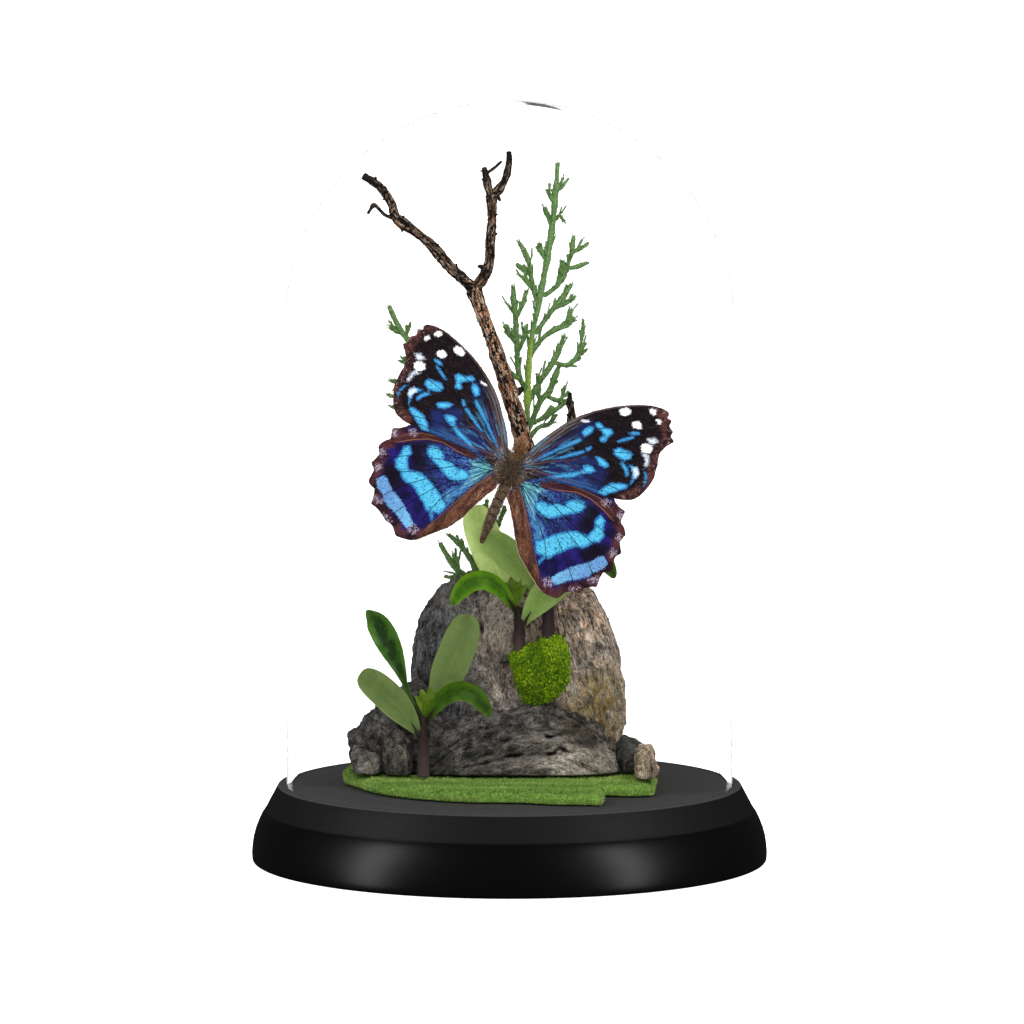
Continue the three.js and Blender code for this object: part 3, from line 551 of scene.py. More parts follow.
floor_mat = Nodes("floor_white", rough=0.9, spec=0.1)
floor_mat.p.inputs["Emission Color"].default_value = (1, 1, 1, 1)
fp = floor_mat.new("ShaderNodeLightPath")
seen = floor_mat.math("MAXIMUM", fp.outputs["Is Camera Ray"], fp.outputs["Is Transmission Ray"])
floor_mat.put(floor_mat.p.inputs["Emission Strength"], floor_mat.math("MULTIPLY_ADD", seen, 0.9, 0.30))
floor_mat.done(floor_mat.mix(floor_mat.noise(0.01), (0.9, 0.9, 0.9), (0.92, 0.92, 0.92)))
fl = bpy.data.meshes.new("floor")
n_f = 64
fa = np.linspace(0, 2 * np.pi, n_f, endpoint=False)
fl.from_pydata([(0, 0, -0.0002)] + [(9 * math.cos(t), 9 * math.sin(t), -0.0002) for t in fa], [],
               [(0, 1 + k, 1 + (k + 1) % n_f) for k in range(n_f)])
floor = bpy.data.objects.new("floor", fl)
scene.collection.objects.link(floor)
fl.materials.append(floor_mat.mat)
floor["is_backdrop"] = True
floor.visible_glossy = False
floor.visible_transmission = False

# ------------------------------------------------------------------ dimensions, millimetres
WING_ROOT = [0.63, -19.0, 99.34]
FOREWING = [[1.94, 3.65], [3.89, 8.17], [6.48, 11.86], [8.86, 15.13], [11.48, 17.71], [14.78, 20.31], [18.84, 22.76], [22.77, 24.54], [26.52, 25.84], [29.51, 26.28], [31.7, 26.0], [32.37, 25.29], [32.3, 24.47], [33.45, 24.18], [33.36, 22.76], [34.68, 21.66], [34.5, 20.48], [35.59, 19.47], [34.45, 17.93], [33.46, 15.96], [33.42, 14.27], [33.72, 12.81], [33.88, 10.96], [33.98, 9.26], [33.43, 7.25], [32.59, 4.95], [31.02, 2.93], [28.9, 1.98], [26.26, 1.51], [23.91, 1.21], [21.81, 1.17], [19.41, 1.03], [15.95, 0.87], [12.49, 0.7], [9.02, 0.54], [5.55, 0.37], [2.86, 1.01]]  # [outward, along the body]
HINDWING = [[2.7, -2.63], [7.92, 0.6], [14.22, 1.4], [19.66, 1.91], [23.85, 1.98], [26.12, 1.5], [26.83, 0.82], [28.34, -0.16], [29.78, -0.54], [29.82, -1.73], [29.7, -3.4], [30.93, -4.36], [31.78, -5.87], [31.59, -6.8], [31.12, -8.01], [31.69, -9.44], [32.29, -10.67], [31.28, -11.95], [31.36, -13.51], [31.63, -15.08], [30.76, -16.16], [29.67, -16.71], [29.33, -18.41], [29.3, -20.47], [28.31, -20.86], [26.92, -21.59], [25.82, -22.45], [24.75, -23.41], [22.76, -24.11], [21.87, -25.24], [21.05, -26.28], [19.24, -26.48], [17.3, -26.28], [15.92, -25.72], [14.3, -24.42], [12.67, -23.13], [10.33, -21.16], [8.63, -19.66], [7.21, -17.6], [6.06, -15.67], [4.63, -12.9], [3.49, -10.97], [2.34, -9.04], [0.92, -6.98], [1.38, -4.25]]
FORE_LEFT, HIND_LEFT = [1.0022, -0.0343, 0.0239, 1.0013, 0.7536, 0.1892], [1.0031, 0.021, -0.008, 0.9708, 1.3056, 1.046]
FW_WHITE = [
    [[20.21, 22.37], [20.8, 23.16], [21.83, 23.73], [23.08, 23.67], [23.67, 22.97], [23.28, 22.08], [22.12, 21.4], [20.97, 21.48]],
    [[24.29, 20.41], [24.66, 21.13], [25.76, 21.51], [26.85, 21.09], [27.34, 19.97], [26.48, 19.43], [25.28, 19.36], [24.63, 19.73]],
    [[27.07, 25.06], [27.98, 25.65], [29.05, 25.39], [29.44, 24.28], [28.92, 23.75], [27.81, 24.13]],
    [[29.48, 23.15], [30.38, 23.77], [31.33, 23.27], [31.34, 22.23], [30.48, 22.0]],
    [[28.15, 15.74], [28.5, 16.66], [29.7, 17.22], [30.97, 16.89], [31.5, 15.97], [31.14, 14.8], [30.02, 14.3], [28.84, 14.69]],
    [[11.93, 16.61], [12.79, 17.47], [14.11, 17.71], [14.67, 17.42], [14.08, 16.8], [12.9, 16.67]],
]
FW_PALE = [
    [[29.33, 17.99], [30.75, 18.73], [31.95, 18.28], [31.29, 17.18], [30.15, 17.23]],
    [[28.98, 14.29], [30.28, 14.57], [31.13, 13.82], [31.52, 11.52], [30.95, 11.33], [30.43, 13.23]],
    [[28.25, 9.86], [29.07, 10.5], [30.08, 9.63], [30.02, 8.39], [29.32, 7.8], [28.88, 9.04]],
]
FW_BLUE = [
    [[13.32, 14.24], [13.95, 15.67], [15.07, 16.48], [16.08, 16.41], [16.15, 15.39], [15.35, 14.17], [14.23, 13.34]],
    [[15.49, 17.5], [16.95, 18.14], [18.28, 17.35], [20.16, 17.48], [21.01, 16.56], [20.08, 15.19], [19.87, 13.8], [18.55, 13.55], [17.95, 14.45], [18.79, 15.37], [17.66, 16.09], [16.34, 16.68]],
    [[4.33, 3.09], [5.04, 4.38], [6.26, 5.93], [7.98, 7.57], [10.04, 9.75], [12.15, 11.74], [13.38, 12.76], [14.16, 12.65], [13.47, 11.5], [11.42, 9.81], [9.81, 8.38], [7.72, 6.29], [5.87, 4.53]],
    [[8.34, 5.53], [10.32, 6.92], [12.86, 8.71], [15.36, 10.42], [15.8, 9.77], [13.46, 8.01], [10.54, 6.3]],
    [[15.65, 10.8], [16.52, 11.83], [17.2, 11.69], [17.0, 10.75], [16.17, 10.0]],
    [[18.51, 9.84], [19.47, 10.11], [20.93, 9.75], [22.25, 9.16], [22.71, 8.45], [21.79, 7.78], [20.3, 8.03], [19.02, 8.98]],
    [[8.86, 1.01], [11.44, 2.71], [13.24, 3.58], [15.9, 5.03], [16.71, 5.94], [16.31, 6.67], [17.55, 7.35], [19.02, 7.17], [19.97, 6.45], [18.92, 5.46], [16.81, 4.44], [15.17, 3.1], [13.31, 2.38], [11.2, 1.37]],
    [[22.24, 12.81], [23.34, 13.89], [24.78, 13.77], [26.18, 13.77], [27.21, 13.43], [27.19, 12.1], [25.79, 11.09], [23.91, 11.24], [22.53, 11.7]],
    [[24.52, 10.3], [25.53, 10.83], [27.19, 9.67], [27.95, 8.19], [27.34, 7.46], [26.47, 8.72]],
    [[26.66, 10.7], [28.27, 10.81], [29.36, 10.49], [30.08, 9.63], [29.95, 8.2], [29.43, 6.97], [28.88, 5.74], [28.75, 7.43], [28.67, 8.86], [27.72, 9.85]],
    [[30.65, 10.7], [31.64, 10.18], [32.33, 9.2], [32.66, 7.75], [32.22, 6.21], [31.97, 8.21], [31.42, 9.58]],
    [[21.71, 1.49], [23.06, 3.63], [24.5, 5.04], [26.89, 5.73], [28.51, 5.89], [28.57, 4.93], [25.79, 2.85], [23.86, 1.33]],
    [[24.27, 17.76], [25.48, 18.81], [27.14, 19.04], [27.13, 18.27], [25.53, 17.64]],
    [[22.26, 14.98], [23.31, 15.97], [24.71, 16.98], [25.89, 17.63], [26.17, 17.03], [24.41, 15.83], [23.04, 14.76]],
]
FW_INDIGO = [
    [[6.78, 3.94], [11.68, 7.05], [16.59, 9.11], [20.37, 8.33], [23.11, 6.5], [22.1, 3.37], [21.71, 1.49], [15.95, 0.87], [11.23, 0.26], [6.5, 0.7]],
    [[4.77, 4.64], [8.09, 9.28], [11.5, 13.61], [14.4, 17.4], [16.08, 16.59], [13.93, 12.71], [10.81, 9.53], [7.18, 5.83]],
]
FW_REAR = [
    [[8.34, 0.47], [11.02, 0.89], [15.79, 1.33], [20.26, 1.61], [22.02, 1.59], [21.38, 2.42], [17.4, 2.77], [12.79, 1.85], [9.54, 1.07]],
]
FW_VEINS = [
    [[2.38, 2.41], [3.82, 5.35], [6.51, 9.78], [9.46, 13.42], [11.95, 16.37], [14.28, 18.75], [17.91, 21.4]],
    [[3.95, 2.96], [6.02, 6.12], [9.65, 10.87], [13.11, 15.04], [16.8, 18.58], [21.25, 20.88], [27.46, 23.14], [31.67, 24.08]],
    [[16.8, 18.58], [21.83, 22.23], [25.82, 24.83]],
    [[16.25, 16.12], [20.52, 17.95], [27.14, 19.04], [34.0, 21.42]],
    [[17.66, 12.09], [20.78, 13.18], [26.67, 15.4], [32.17, 17.66], [34.65, 19.56]],
    [[17.42, 11.76], [22.52, 12.22], [28.25, 13.86], [32.93, 15.49]],
    [[4.08, 2.58], [9.44, 5.4], [13.76, 7.14], [16.06, 9.62], [17.66, 12.09]],
    [[16.06, 9.62], [19.04, 10.13], [22.91, 10.09], [28.29, 10.75], [33.18, 11.76]],
    [[13.76, 7.14], [18.18, 7.57], [22.9, 7.13], [28.43, 7.32], [32.91, 8.53]],
    [[11.95, 6.27], [17.48, 4.54], [22.82, 4.31], [28.27, 3.78], [30.06, 2.67]],
    [[5.12, 1.62], [12.16, 1.64], [18.97, 2.27], [24.52, 2.47], [27.93, 1.75]],
]
HW_TEAL = [
    [[3.08, -2.73], [4.51, -1.76], [7.74, -1.56], [9.43, -2.37], [8.39, -3.43], [8.55, -5.24], [8.35, -6.01], [10.13, -9.11], [11.4, -10.06], [13.61, -13.01], [10.97, -14.87], [9.68, -12.53], [7.68, -9.5], [5.48, -6.55], [3.87, -4.31]],
]
HW_BLUE1 = [
    [[7.85, -5.95], [9.02, -5.26], [10.5, -4.79], [11.39, -5.29], [12.34, -4.66], [13.3, -4.04], [15.19, -4.08], [15.66, -2.75], [17.36, -1.57], [19.49, -1.64], [20.38, -2.49], [20.08, -3.99], [18.63, -5.2], [16.44, -6.31], [14.95, -7.42], [12.58, -8.71], [10.41, -8.55], [8.57, -7.33]],
]
HW_BLUE2 = [
    [[11.07, -14.84], [12.71, -13.8], [13.19, -13.16], [15.41, -11.45], [17.7, -9.94], [20.17, -8.96], [21.89, -9.17], [22.97, -9.25], [23.55, -7.89], [24.02, -6.56], [23.41, -5.14], [24.43, -3.04], [26.02, -4.23], [26.25, -6.24], [27.11, -8.03], [26.37, -9.92], [25.11, -10.36], [24.36, -11.55], [22.91, -12.76], [21.3, -12.86], [19.99, -13.79], [18.6, -15.21], [17.49, -16.07], [16.67, -17.06], [15.84, -18.05], [15.14, -18.07], [13.97, -20.11], [13.47, -19.35], [14.08, -17.74], [12.47, -17.84], [11.65, -16.5]],
]
HW_BLUE3 = [
    [[18.02, -21.94], [19.09, -20.63], [20.81, -18.86], [22.61, -17.29], [24.9, -15.79], [26.01, -14.93], [27.31, -13.31], [28.49, -12.66], [30.01, -13.98], [29.64, -15.28], [28.47, -16.62], [27.15, -17.55], [26.82, -18.6], [24.95, -19.96], [22.93, -20.9], [21.06, -22.26], [19.19, -23.63], [18.2, -22.81]],
]
HW_BLACK = [
    [[19.49, -1.64], [22.43, -2.0], [23.98, -3.09], [23.24, -5.67], [22.71, -8.18], [21.19, -9.18], [19.29, -7.76], [20.44, -5.02], [20.48, -2.45]],
    [[22.64, -13.33], [24.57, -11.48], [26.16, -9.99], [28.38, -9.67], [29.8, -11.03], [28.28, -12.73], [25.97, -14.83], [24.27, -15.31]],
]
HW_WHITE = [
    [[28.29, -2.04], [28.84, -0.92], [30.02, -0.97], [30.32, -2.49], [29.28, -2.85]],
    [[29.68, -7.36], [30.23, -6.24], [31.27, -6.56], [31.5, -7.88], [30.46, -8.25]],
    [[29.59, -11.11], [30.0, -10.27], [30.97, -10.39], [31.2, -11.7], [30.23, -12.28]],
    [[26.69, -19.58], [27.72, -18.51], [28.98, -18.07], [29.34, -19.1], [28.02, -20.04]],
    [[16.25, -23.27], [17.28, -22.2], [18.62, -22.66], [18.64, -24.06], [17.17, -24.57]],
    [[23.0, -23.1], [24.14, -22.34], [25.67, -22.03], [25.47, -22.8], [23.84, -23.5]],
    [[23.6, 0.03], [24.7, 0.88], [25.82, 0.35], [25.28, -0.77], [24.16, -0.93]],
]
HW_COSTA = [
    [[7.45, -0.73], [12.89, 1.17], [18.76, 1.13], [22.89, 0.71], [25.9, -0.55], [29.7, -3.4], [31.41, -6.28], [30.37, -6.65], [28.11, -4.19], [24.11, -2.11], [20.6, -0.78], [16.96, -0.43], [12.64, -1.48], [8.58, -1.97]],
]
HW_ANAL = [
    [[0.63, -6.84], [1.94, -3.82], [3.24, -3.84], [4.27, -5.11], [6.33, -7.65], [8.47, -11.09], [10.69, -15.44], [12.62, -18.95], [14.4, -21.36], [15.42, -24.96], [16.35, -26.26], [12.53, -22.72], [9.27, -20.13], [6.71, -16.84], [4.63, -12.9]],
]
HW_VEINS = [
    [[3.33, -3.1], [7.31, -7.77], [10.57, -10.35], [12.27, -12.55], [13.62, -14.4], [15.39, -18.44], [17.15, -22.48], [18.24, -26.29]],
    [[3.4, -2.96], [5.53, -4.67], [8.85, -7.46], [11.6, -8.59], [14.7, -10.76], [16.62, -12.88], [18.53, -15.01], [20.94, -17.88], [23.14, -20.83], [24.74, -23.06]],
    [[11.6, -8.59], [14.54, -8.96], [17.7, -9.94], [19.46, -10.95], [21.89, -12.54], [23.55, -13.93], [25.95, -16.11], [27.65, -18.3]],
    [[3.54, -3.03], [8.46, -3.64], [11.55, -4.42], [15.57, -6.5], [17.67, -7.16]],
    [[15.57, -6.5], [20.35, -8.78], [22.8, -9.78], [24.7, -10.51], [27.43, -11.64], [30.32, -13.87]],
    [[11.55, -4.42], [15.19, -4.08], [18.76, -4.92], [21.85, -5.69], [24.86, -6.26], [27.1, -7.33], [30.95, -8.31]],
    [[3.82, -2.47], [9.63, -1.6], [15.3, -1.71], [20.76, -2.59], [25.03, -3.41], [29.86, -4.51]],
    [[3.16, -3.63], [5.91, -7.79], [9.05, -12.75], [11.84, -17.36], [14.12, -21.22], [15.63, -24.89]],
]
MAT_OUTLINE = [[-42.47, 12.18], [-41.35, -4.89], [-35.37, -16.85], [-31.43, -23.16], [-23.85, -30.28], [-15.69, -34.68], [-8.36, -37.3], [-2.29, -37.3], [4.27, -38.17], [10.8, -40.77], [19.49, -41.63], [22.13, -42.49], [23.52, -24.95], [30.63, -25.85], [35.37, -24.06], [37.02, -3.02], [36.6, 10.0], [33.5, 23.0], [24.0, 32.5], [10.0, 37.0], [-6.0, 38.0], [-22.0, 35.0], [-35.0, 26.0], [-41.0, 18.0]]
BRANCH = {
    "trunk": [[17.1, 5.5, 63.79, 2.6], [14.75, 1.5, 71.74, 2.5], [11.64, -5.5, 81.59, 2.4], [8.09, -10.5, 91.66, 2.3], [4.85, -12.7, 101.24, 2.25], [2.36, -12.9, 109.93, 2.15], [-0.36, -12.0, 119.07, 1.95], [-3.09, -10.5, 127.71, 1.7], [-5.58, -9.0, 134.37, 1.6], [-7.7, -8.0, 140.07, 1.65], [-8.82, -7.5, 143.29, 1.7]],
    "limb_left": [[-8.82, -7.5, 143.54, 1.5], [-11.55, -7.2, 146.02, 1.35], [-14.79, -6.8, 149.0, 1.4], [-17.79, -6.0, 152.47, 1.3], [-21.03, -5.5, 155.83, 1.2], [-25.52, -5.0, 159.18, 1.25], [-28.26, -4.6, 161.3, 1.2], [-29.44, -4.2, 164.66, 1.05], [-31.11, -4.0, 167.52, 1.0], [-33.33, -3.6, 169.73, 0.95], [-36.42, -3.0, 171.69, 0.85]],
    "twig_left": [[-28.75, -4.8, 161.05, 0.6], [-31.06, -5.8, 161.95, 0.5], [-32.67, -6.6, 163.63, 0.45], [-33.77, -7.1, 164.24, 0.45], [-35.13, -8.0, 162.2, 0.35]],
    "limb_right": [[-8.57, -7.6, 143.54, 1.4], [-7.07, -8.0, 145.53, 1.35], [-5.7, -8.6, 148.01, 1.3], [-4.88, -9.0, 150.98, 1.2], [-4.82, -9.5, 154.69, 1.2], [-4.37, -10.0, 158.64, 1.15], [-4.35, -10.0, 163.33, 1.15], [-4.57, -10.0, 166.79, 1.2]],
    "fork_left": [[-4.57, -10.0, 166.54, 1.0], [-5.23, -10.3, 168.76, 0.95], [-5.8, -10.8, 171.21, 0.85], [-6.24, -11.0, 173.55, 0.6]],
    "twiglet": [[-5.92, -11.0, 171.94, 0.4], [-4.81, -11.3, 172.68, 0.38], [-3.32, -11.7, 173.77, 0.33], [-1.89, -12.0, 175.05, 0.28]],
    "fork_right": [[-4.45, -10.0, 166.54, 1.0], [-2.96, -9.6, 167.78, 1.0], [-1.6, -9.0, 169.62, 0.95], [-0.56, -8.6, 172.4, 0.85], [-0.11, -8.3, 175.14, 0.8], [-0.11, -8.0, 177.52, 0.7]],
    "stub": [[-0.11, -11.8, 118.32, 0.9], [1.87, -11.2, 118.18, 0.8], [3.36, -10.8, 119.03, 0.55]],
    "twig_back": [[8.84, -9.8, 90.38, 1.0], [11.61, -6.5, 98.42, 0.95], [14.13, -4.8, 105.84, 0.9], [15.51, -4.0, 111.81, 0.8], [15.06, -3.8, 114.81, 0.75], [15.13, -3.6, 117.68, 0.45]],
}
SPRIG_RIGHT = [
    [[4.95, 9.0, 65.52, 1.1], [4.69, 7.0, 74.85, 1.05], [4.29, 3.0, 90.34, 1.0], [4.35, 0.5, 108.12, 0.95], [5.07, -1.0, 127.49, 0.7], [7.31, -2.0, 139.76, 0.55], [10.06, -3.0, 154.72, 0.5], [11.44, -4.0, 166.4, 0.45], [11.98, -4.5, 174.7, 0.35]],
    [[4.39, -0.5, 117.7, 0.5], [2.26, -2.0, 122.76, 0.5], [1.7, -3.0, 133.28, 0.5], [1.25, -3.5, 139.52, 0.45], [0.88, -4.0, 144.19, 0.35]],
    [[2.38, -2.0, 121.0, 0.4], [0.38, -3.0, 122.53, 0.5], [-1.12, -3.6, 124.8, 0.4]],
    [[2.01, -2.8, 129.53, 0.4], [0.13, -3.5, 132.04, 0.5], [-1.17, -4.0, 134.54, 0.4]],
    [[2.26, -2.6, 127.77, 0.35], [3.38, -2.0, 130.76, 0.4], [4.01, -1.6, 133.88, 0.3]],
    [[1.75, -3.0, 136.27, 0.35], [3.13, -2.4, 139.51, 0.4], [4.28, -2.0, 143.08, 0.3]],
    [[1.5, -3.0, 137.02, 0.3], [-0.24, -3.6, 139.4, 0.25]],
    [[7.13, -2.0, 139.01, 0.4], [5.75, -3.0, 144.51, 0.5], [4.87, -3.6, 149.74, 0.45], [3.75, -4.0, 152.73, 0.45], [2.27, -4.4, 155.31, 0.35]],
    [[6.38, -2.6, 142.76, 0.35], [4.62, -3.5, 145.01, 0.45], [3.12, -4.0, 146.63, 0.35]],
    [[5.25, -3.2, 147.0, 0.35], [3.62, -4.0, 148.25, 0.45], [1.95, -4.6, 149.49, 0.35]],
    [[9.37, -2.6, 150.24, 0.4], [8.24, -3.4, 152.48, 0.5], [7.26, -4.0, 154.84, 0.35]],
    [[10.61, -3.2, 158.7, 0.35], [9.85, -4.0, 161.18, 0.45], [9.1, -4.6, 163.41, 0.3]],
    [[11.22, -3.8, 164.91, 0.35], [10.34, -4.5, 166.39, 0.45], [9.46, -5.0, 168.12, 0.3]],
    [[11.64, -4.0, 167.64, 0.3], [12.59, -3.4, 168.65, 0.4], [13.47, -3.0, 169.52, 0.3]],
    [[10.98, -3.4, 160.19, 0.3], [12.36, -2.8, 161.69, 0.35], [13.11, -2.5, 160.95, 0.25]],
    [[8.51, -2.0, 141.76, 0.4], [10.64, -1.0, 143.25, 0.5], [13.15, -0.4, 145.74, 0.45], [14.41, 0.0, 149.24, 0.45], [15.53, 0.2, 152.49, 0.45], [16.03, 0.4, 156.37, 0.35]],
    [[11.9, -0.7, 144.5, 0.35], [12.78, -0.2, 147.49, 0.45], [13.15, 0.0, 149.99, 0.35]],
    [[14.16, 0.0, 148.74, 0.35], [16.67, 0.8, 148.99, 0.45], [18.94, 1.4, 149.87, 0.3]],
    [[15.53, 0.2, 152.49, 0.35], [16.92, 1.0, 153.24, 0.45], [18.31, 1.6, 154.0, 0.3]],
    [[6.39, -1.5, 132.25, 0.45], [8.9, -0.5, 135.74, 0.5], [11.66, 0.2, 139.49, 0.5], [13.92, 0.8, 142.23, 0.5], [15.43, 1.2, 144.49, 0.35]],
    [[11.16, 0.1, 138.49, 0.35], [13.68, 1.0, 139.73, 0.45], [15.95, 1.8, 141.1, 0.35]],
    [[5.64, -1.0, 127.74, 0.5], [8.41, 0.2, 131.22, 0.5], [11.68, 1.2, 133.46, 0.55], [14.45, 2.0, 134.45, 0.5], [16.34, 2.6, 136.32, 0.35]],
    [[13.44, 1.6, 134.2, 0.35], [14.7, 2.4, 136.2, 0.4], [15.71, 2.8, 138.33, 0.3]],
    [[4.9, 0.0, 115.67, 0.5], [7.91, 1.0, 120.66, 0.55], [10.43, 2.0, 124.4, 0.55], [12.71, 3.0, 128.65, 0.45], [13.59, 3.4, 131.66, 0.35]],
    [[10.94, 2.2, 125.15, 0.4], [14.47, 3.2, 124.37, 0.5], [17.0, 4.0, 126.62, 0.45], [18.27, 4.6, 131.39, 0.35], [18.52, 5.0, 135.54, 0.25]],
    [[16.5, 3.9, 126.12, 0.35], [18.02, 4.6, 127.11, 0.4], [19.29, 5.0, 128.11, 0.3]],
    [[4.65, 0.5, 107.61, 0.5], [7.67, 1.5, 115.12, 0.55], [9.94, 2.2, 117.61, 0.6], [11.7, 3.0, 122.11, 0.5], [12.46, 3.4, 124.12, 0.35]],
    [[7.92, 1.4, 114.62, 0.35], [7.16, 0.8, 117.4, 0.4], [7.28, 0.6, 121.68, 0.3]],
    [[5.66, 1.0, 109.6, 0.4], [9.19, 2.4, 111.56, 0.45], [12.22, 3.4, 113.54, 0.45], [15.0, 4.2, 115.78, 0.3]],
    [[9.69, 2.2, 116.35, 0.35], [12.72, 3.4, 115.55, 0.45], [13.98, 3.8, 119.07, 0.3]],
    [[4.65, 0.8, 105.59, 0.4], [7.17, 2.0, 108.56, 0.45], [9.95, 3.0, 109.52, 0.4], [11.72, 3.4, 111.77, 0.3]],
]
SPRIG_LEFT = [
    [[-2.42, 9.5, 67.01, 1.0], [-4.95, 7.5, 75.83, 0.9], [-9.49, 5.5, 87.65, 0.8], [-15.52, 4.0, 101.65, 0.7], [-21.02, 3.0, 116.07, 0.6], [-24.75, 2.0, 128.93, 0.5], [-27.25, 1.5, 132.95, 0.45], [-28.81, 1.2, 135.97, 0.45], [-30.23, 1.0, 139.23, 0.35]],
    [[-27.0, 1.6, 132.45, 0.35], [-28.61, 1.0, 132.96, 0.45], [-30.03, 0.6, 134.1, 0.35]],
    [[-26.0, 1.8, 131.19, 0.35], [-25.87, 1.6, 132.45, 0.4], [-25.61, 1.4, 133.83, 0.3]],
    [[-23.51, 2.4, 124.39, 0.35], [-25.26, 1.8, 124.66, 0.4], [-27.13, 1.2, 125.43, 0.3]],
    [[-21.52, 2.9, 117.59, 0.4], [-26.03, 2.0, 119.12, 0.45], [-29.89, 1.0, 120.54, 0.3]],
    [[-20.02, 3.1, 113.55, 0.4], [-25.03, 2.2, 115.09, 0.4], [-30.41, 1.4, 116.88, 0.3]],
    [[-18.27, 3.4, 108.75, 0.4], [-24.04, 2.4, 111.56, 0.4], [-29.8, 1.6, 113.98, 0.3]],
    [[-16.02, 4.0, 102.92, 0.4], [-14.01, 5.0, 110.45, 0.45], [-12.0, 6.0, 116.73, 0.35]],
    [[-13.01, 4.6, 95.81, 0.4], [-17.57, 5.6, 97.78, 0.4], [-21.38, 6.4, 99.76, 0.35]],
    [[-9.99, 5.4, 88.93, 0.4], [-6.96, 6.6, 97.73, 0.4], [-5.7, 7.6, 105.28, 0.35]],
    [[-5.2, 7.4, 76.6, 0.4], [-3.18, 8.4, 82.89, 0.45], [-1.15, 9.0, 88.45, 0.35]],
    [[-6.47, 7.0, 79.68, 0.4], [-6.46, 6.2, 84.56, 0.45], [-5.69, 5.6, 90.18, 0.35]],
    [[-11.5, 5.0, 92.24, 0.35], [-15.55, 5.4, 92.22, 0.4], [-19.61, 6.0, 92.69, 0.3]],
]
SPRIG_LOW = [
    [[-6.46, 5.0, 67.39, 0.8], [-7.95, 2.0, 71.7, 0.75], [-9.68, -1.0, 75.47, 0.6], [-11.91, -3.0, 78.89, 0.5], [-13.65, -4.0, 80.73, 0.45], [-15.27, -4.6, 82.15, 0.35]],
    [[-10.43, -1.6, 76.78, 0.35], [-11.69, -0.8, 78.23, 0.4], [-13.34, 0.0, 79.81, 0.3]],
    [[-7.45, 3.2, 70.08, 0.7], [-10.95, 0.0, 71.1, 0.65], [-13.43, -2.5, 73.57, 0.75], [-15.41, -4.2, 76.47, 0.6], [-17.38, -5.5, 79.96, 0.5]],
    [[-12.93, -2.2, 73.04, 0.5], [-13.32, -1.4, 75.0, 0.55], [-14.01, -0.8, 76.97, 0.45]],
    [[-12.44, -1.8, 72.51, 0.4], [-14.43, -3.0, 71.34, 0.4], [-16.29, -4.0, 71.55, 0.3]],
    [[-9.18, -0.4, 74.67, 0.35], [-8.92, -1.2, 78.51, 0.4], [-9.67, -1.8, 82.08, 0.3]],
]
SEEDLING = {
    "stem": [[-0.2, 0, -14.12, 1.6], [-0.2, 0, -7.93, 1.5], [-0.35, 0, -3.72, 1.4], [0.0, 0, 0.5, 1.1]],
    "leaf_a": [[-0.5, 0.4, -0.5, 0.75], [-2.85, 1.4, 4.21, 0.5], [-4.58, 2.0, 8.42, 0.55], [-5.95, 2.2, 12.39, 1.5], [-7.93, 2.4, 17.09, 2.75], [-9.91, 2.5, 21.06, 3.1], [-12.01, 2.5, 24.53, 2.8], [-13.63, 2.5, 26.38, 1.7], [-14.37, 2.5, 27.13, 0.3]],
    "leaf_b": [[-0.99, -0.8, -4.21, 0.5], [-2.73, -1.5, -0.99, 1.6], [-5.7, -2.2, 2.97, 3.1], [-8.67, -2.8, 6.19, 3.75], [-11.64, -3.2, 8.92, 3.6], [-14.12, -3.5, 10.9, 2.5], [-15.73, -3.7, 12.01, 0.3]],
    "leaf_c": [[0.74, 0.9, 0.5, 0.6], [2.73, 2, 4.21, 0.6], [4.21, 2.8, 7.43, 1.3], [6.19, 3.4, 12.39, 4.1], [8.05, 3.8, 16.85, 4.45], [9.54, 4, 20.81, 3.9], [10.4, 4, 23.78, 2.5], [10.78, 4, 26.01, 0.3]],
    "leaf_d": [[0.74, -0.9, 0.0, 0.6], [2.48, -2.2, 2.97, 1.4], [5.2, -3.4, 6.19, 2.1], [8.42, -4.2, 7.8, 2.4], [11.64, -4.6, 7.31, 2.4], [13.87, -4.6, 5.57, 2.2], [15.48, -4.4, 3.22, 1.5], [16.23, -4.2, 1.49, 0.3]],
    "bud": [[0.5, -0.3, 0.99, 0.5], [1.11, -0.6, 3.96, 0.8], [1.61, -0.8, 6.44, 0.85], [1.73, -0.9, 8.42, 0.25]],
}
SEEDLING_AT = {"a": [-21.23, -15.2, 36.7], "b": [2.13, -9.0, 63.57], "c": [9.87, -7.5, 70.21]}
THORAX = [0.38, -17.9, 99.28]
HEAD = [2.73, -17.9, 104.84]
ABDOMEN = [[-0.73, -17.9, 95.57, 1.5], [-2.33, -17.9, 92.36, 1.4], [-3.81, -17.8, 88.89, 1.45], [-5.3, -17.6, 85.17, 1.15], [-6.91, -17.3, 81.06, 0.45]]

# ------------------------------------------------------------------ base and dome
def revolve(profile, segments, closed=False):
    P = np.array(profile, float)
    ang = np.linspace(0, 2 * np.pi, segments, endpoint=False)
    V, F, idx = [], [], []
    for r, z in P:
        if r < 1e-6:
            idx.append([len(V)])
            V.append((0, 0, z))
        else:
            idx.append(list(range(len(V), len(V) + segments)))
            V.extend((r * math.cos(a), r * math.sin(a), z) for a in ang)
    pairs = list(zip(idx[:-1], idx[1:]))
    if closed:
        pairs.append((idx[-1], idx[0]))
    for a, b in pairs:
        for k in range(segments):
            m = (k + 1) % segments
            if len(a) == 1 and len(b) == 1:
                continue
            if len(a) == 1:
                F.append((a[0], b[m], b[k]))
            elif len(b) == 1:
                F.append((a[k], a[m], b[0]))
            else:
                F.append((a[k], a[m], b[m], b[k]))
    return np.array(V), F


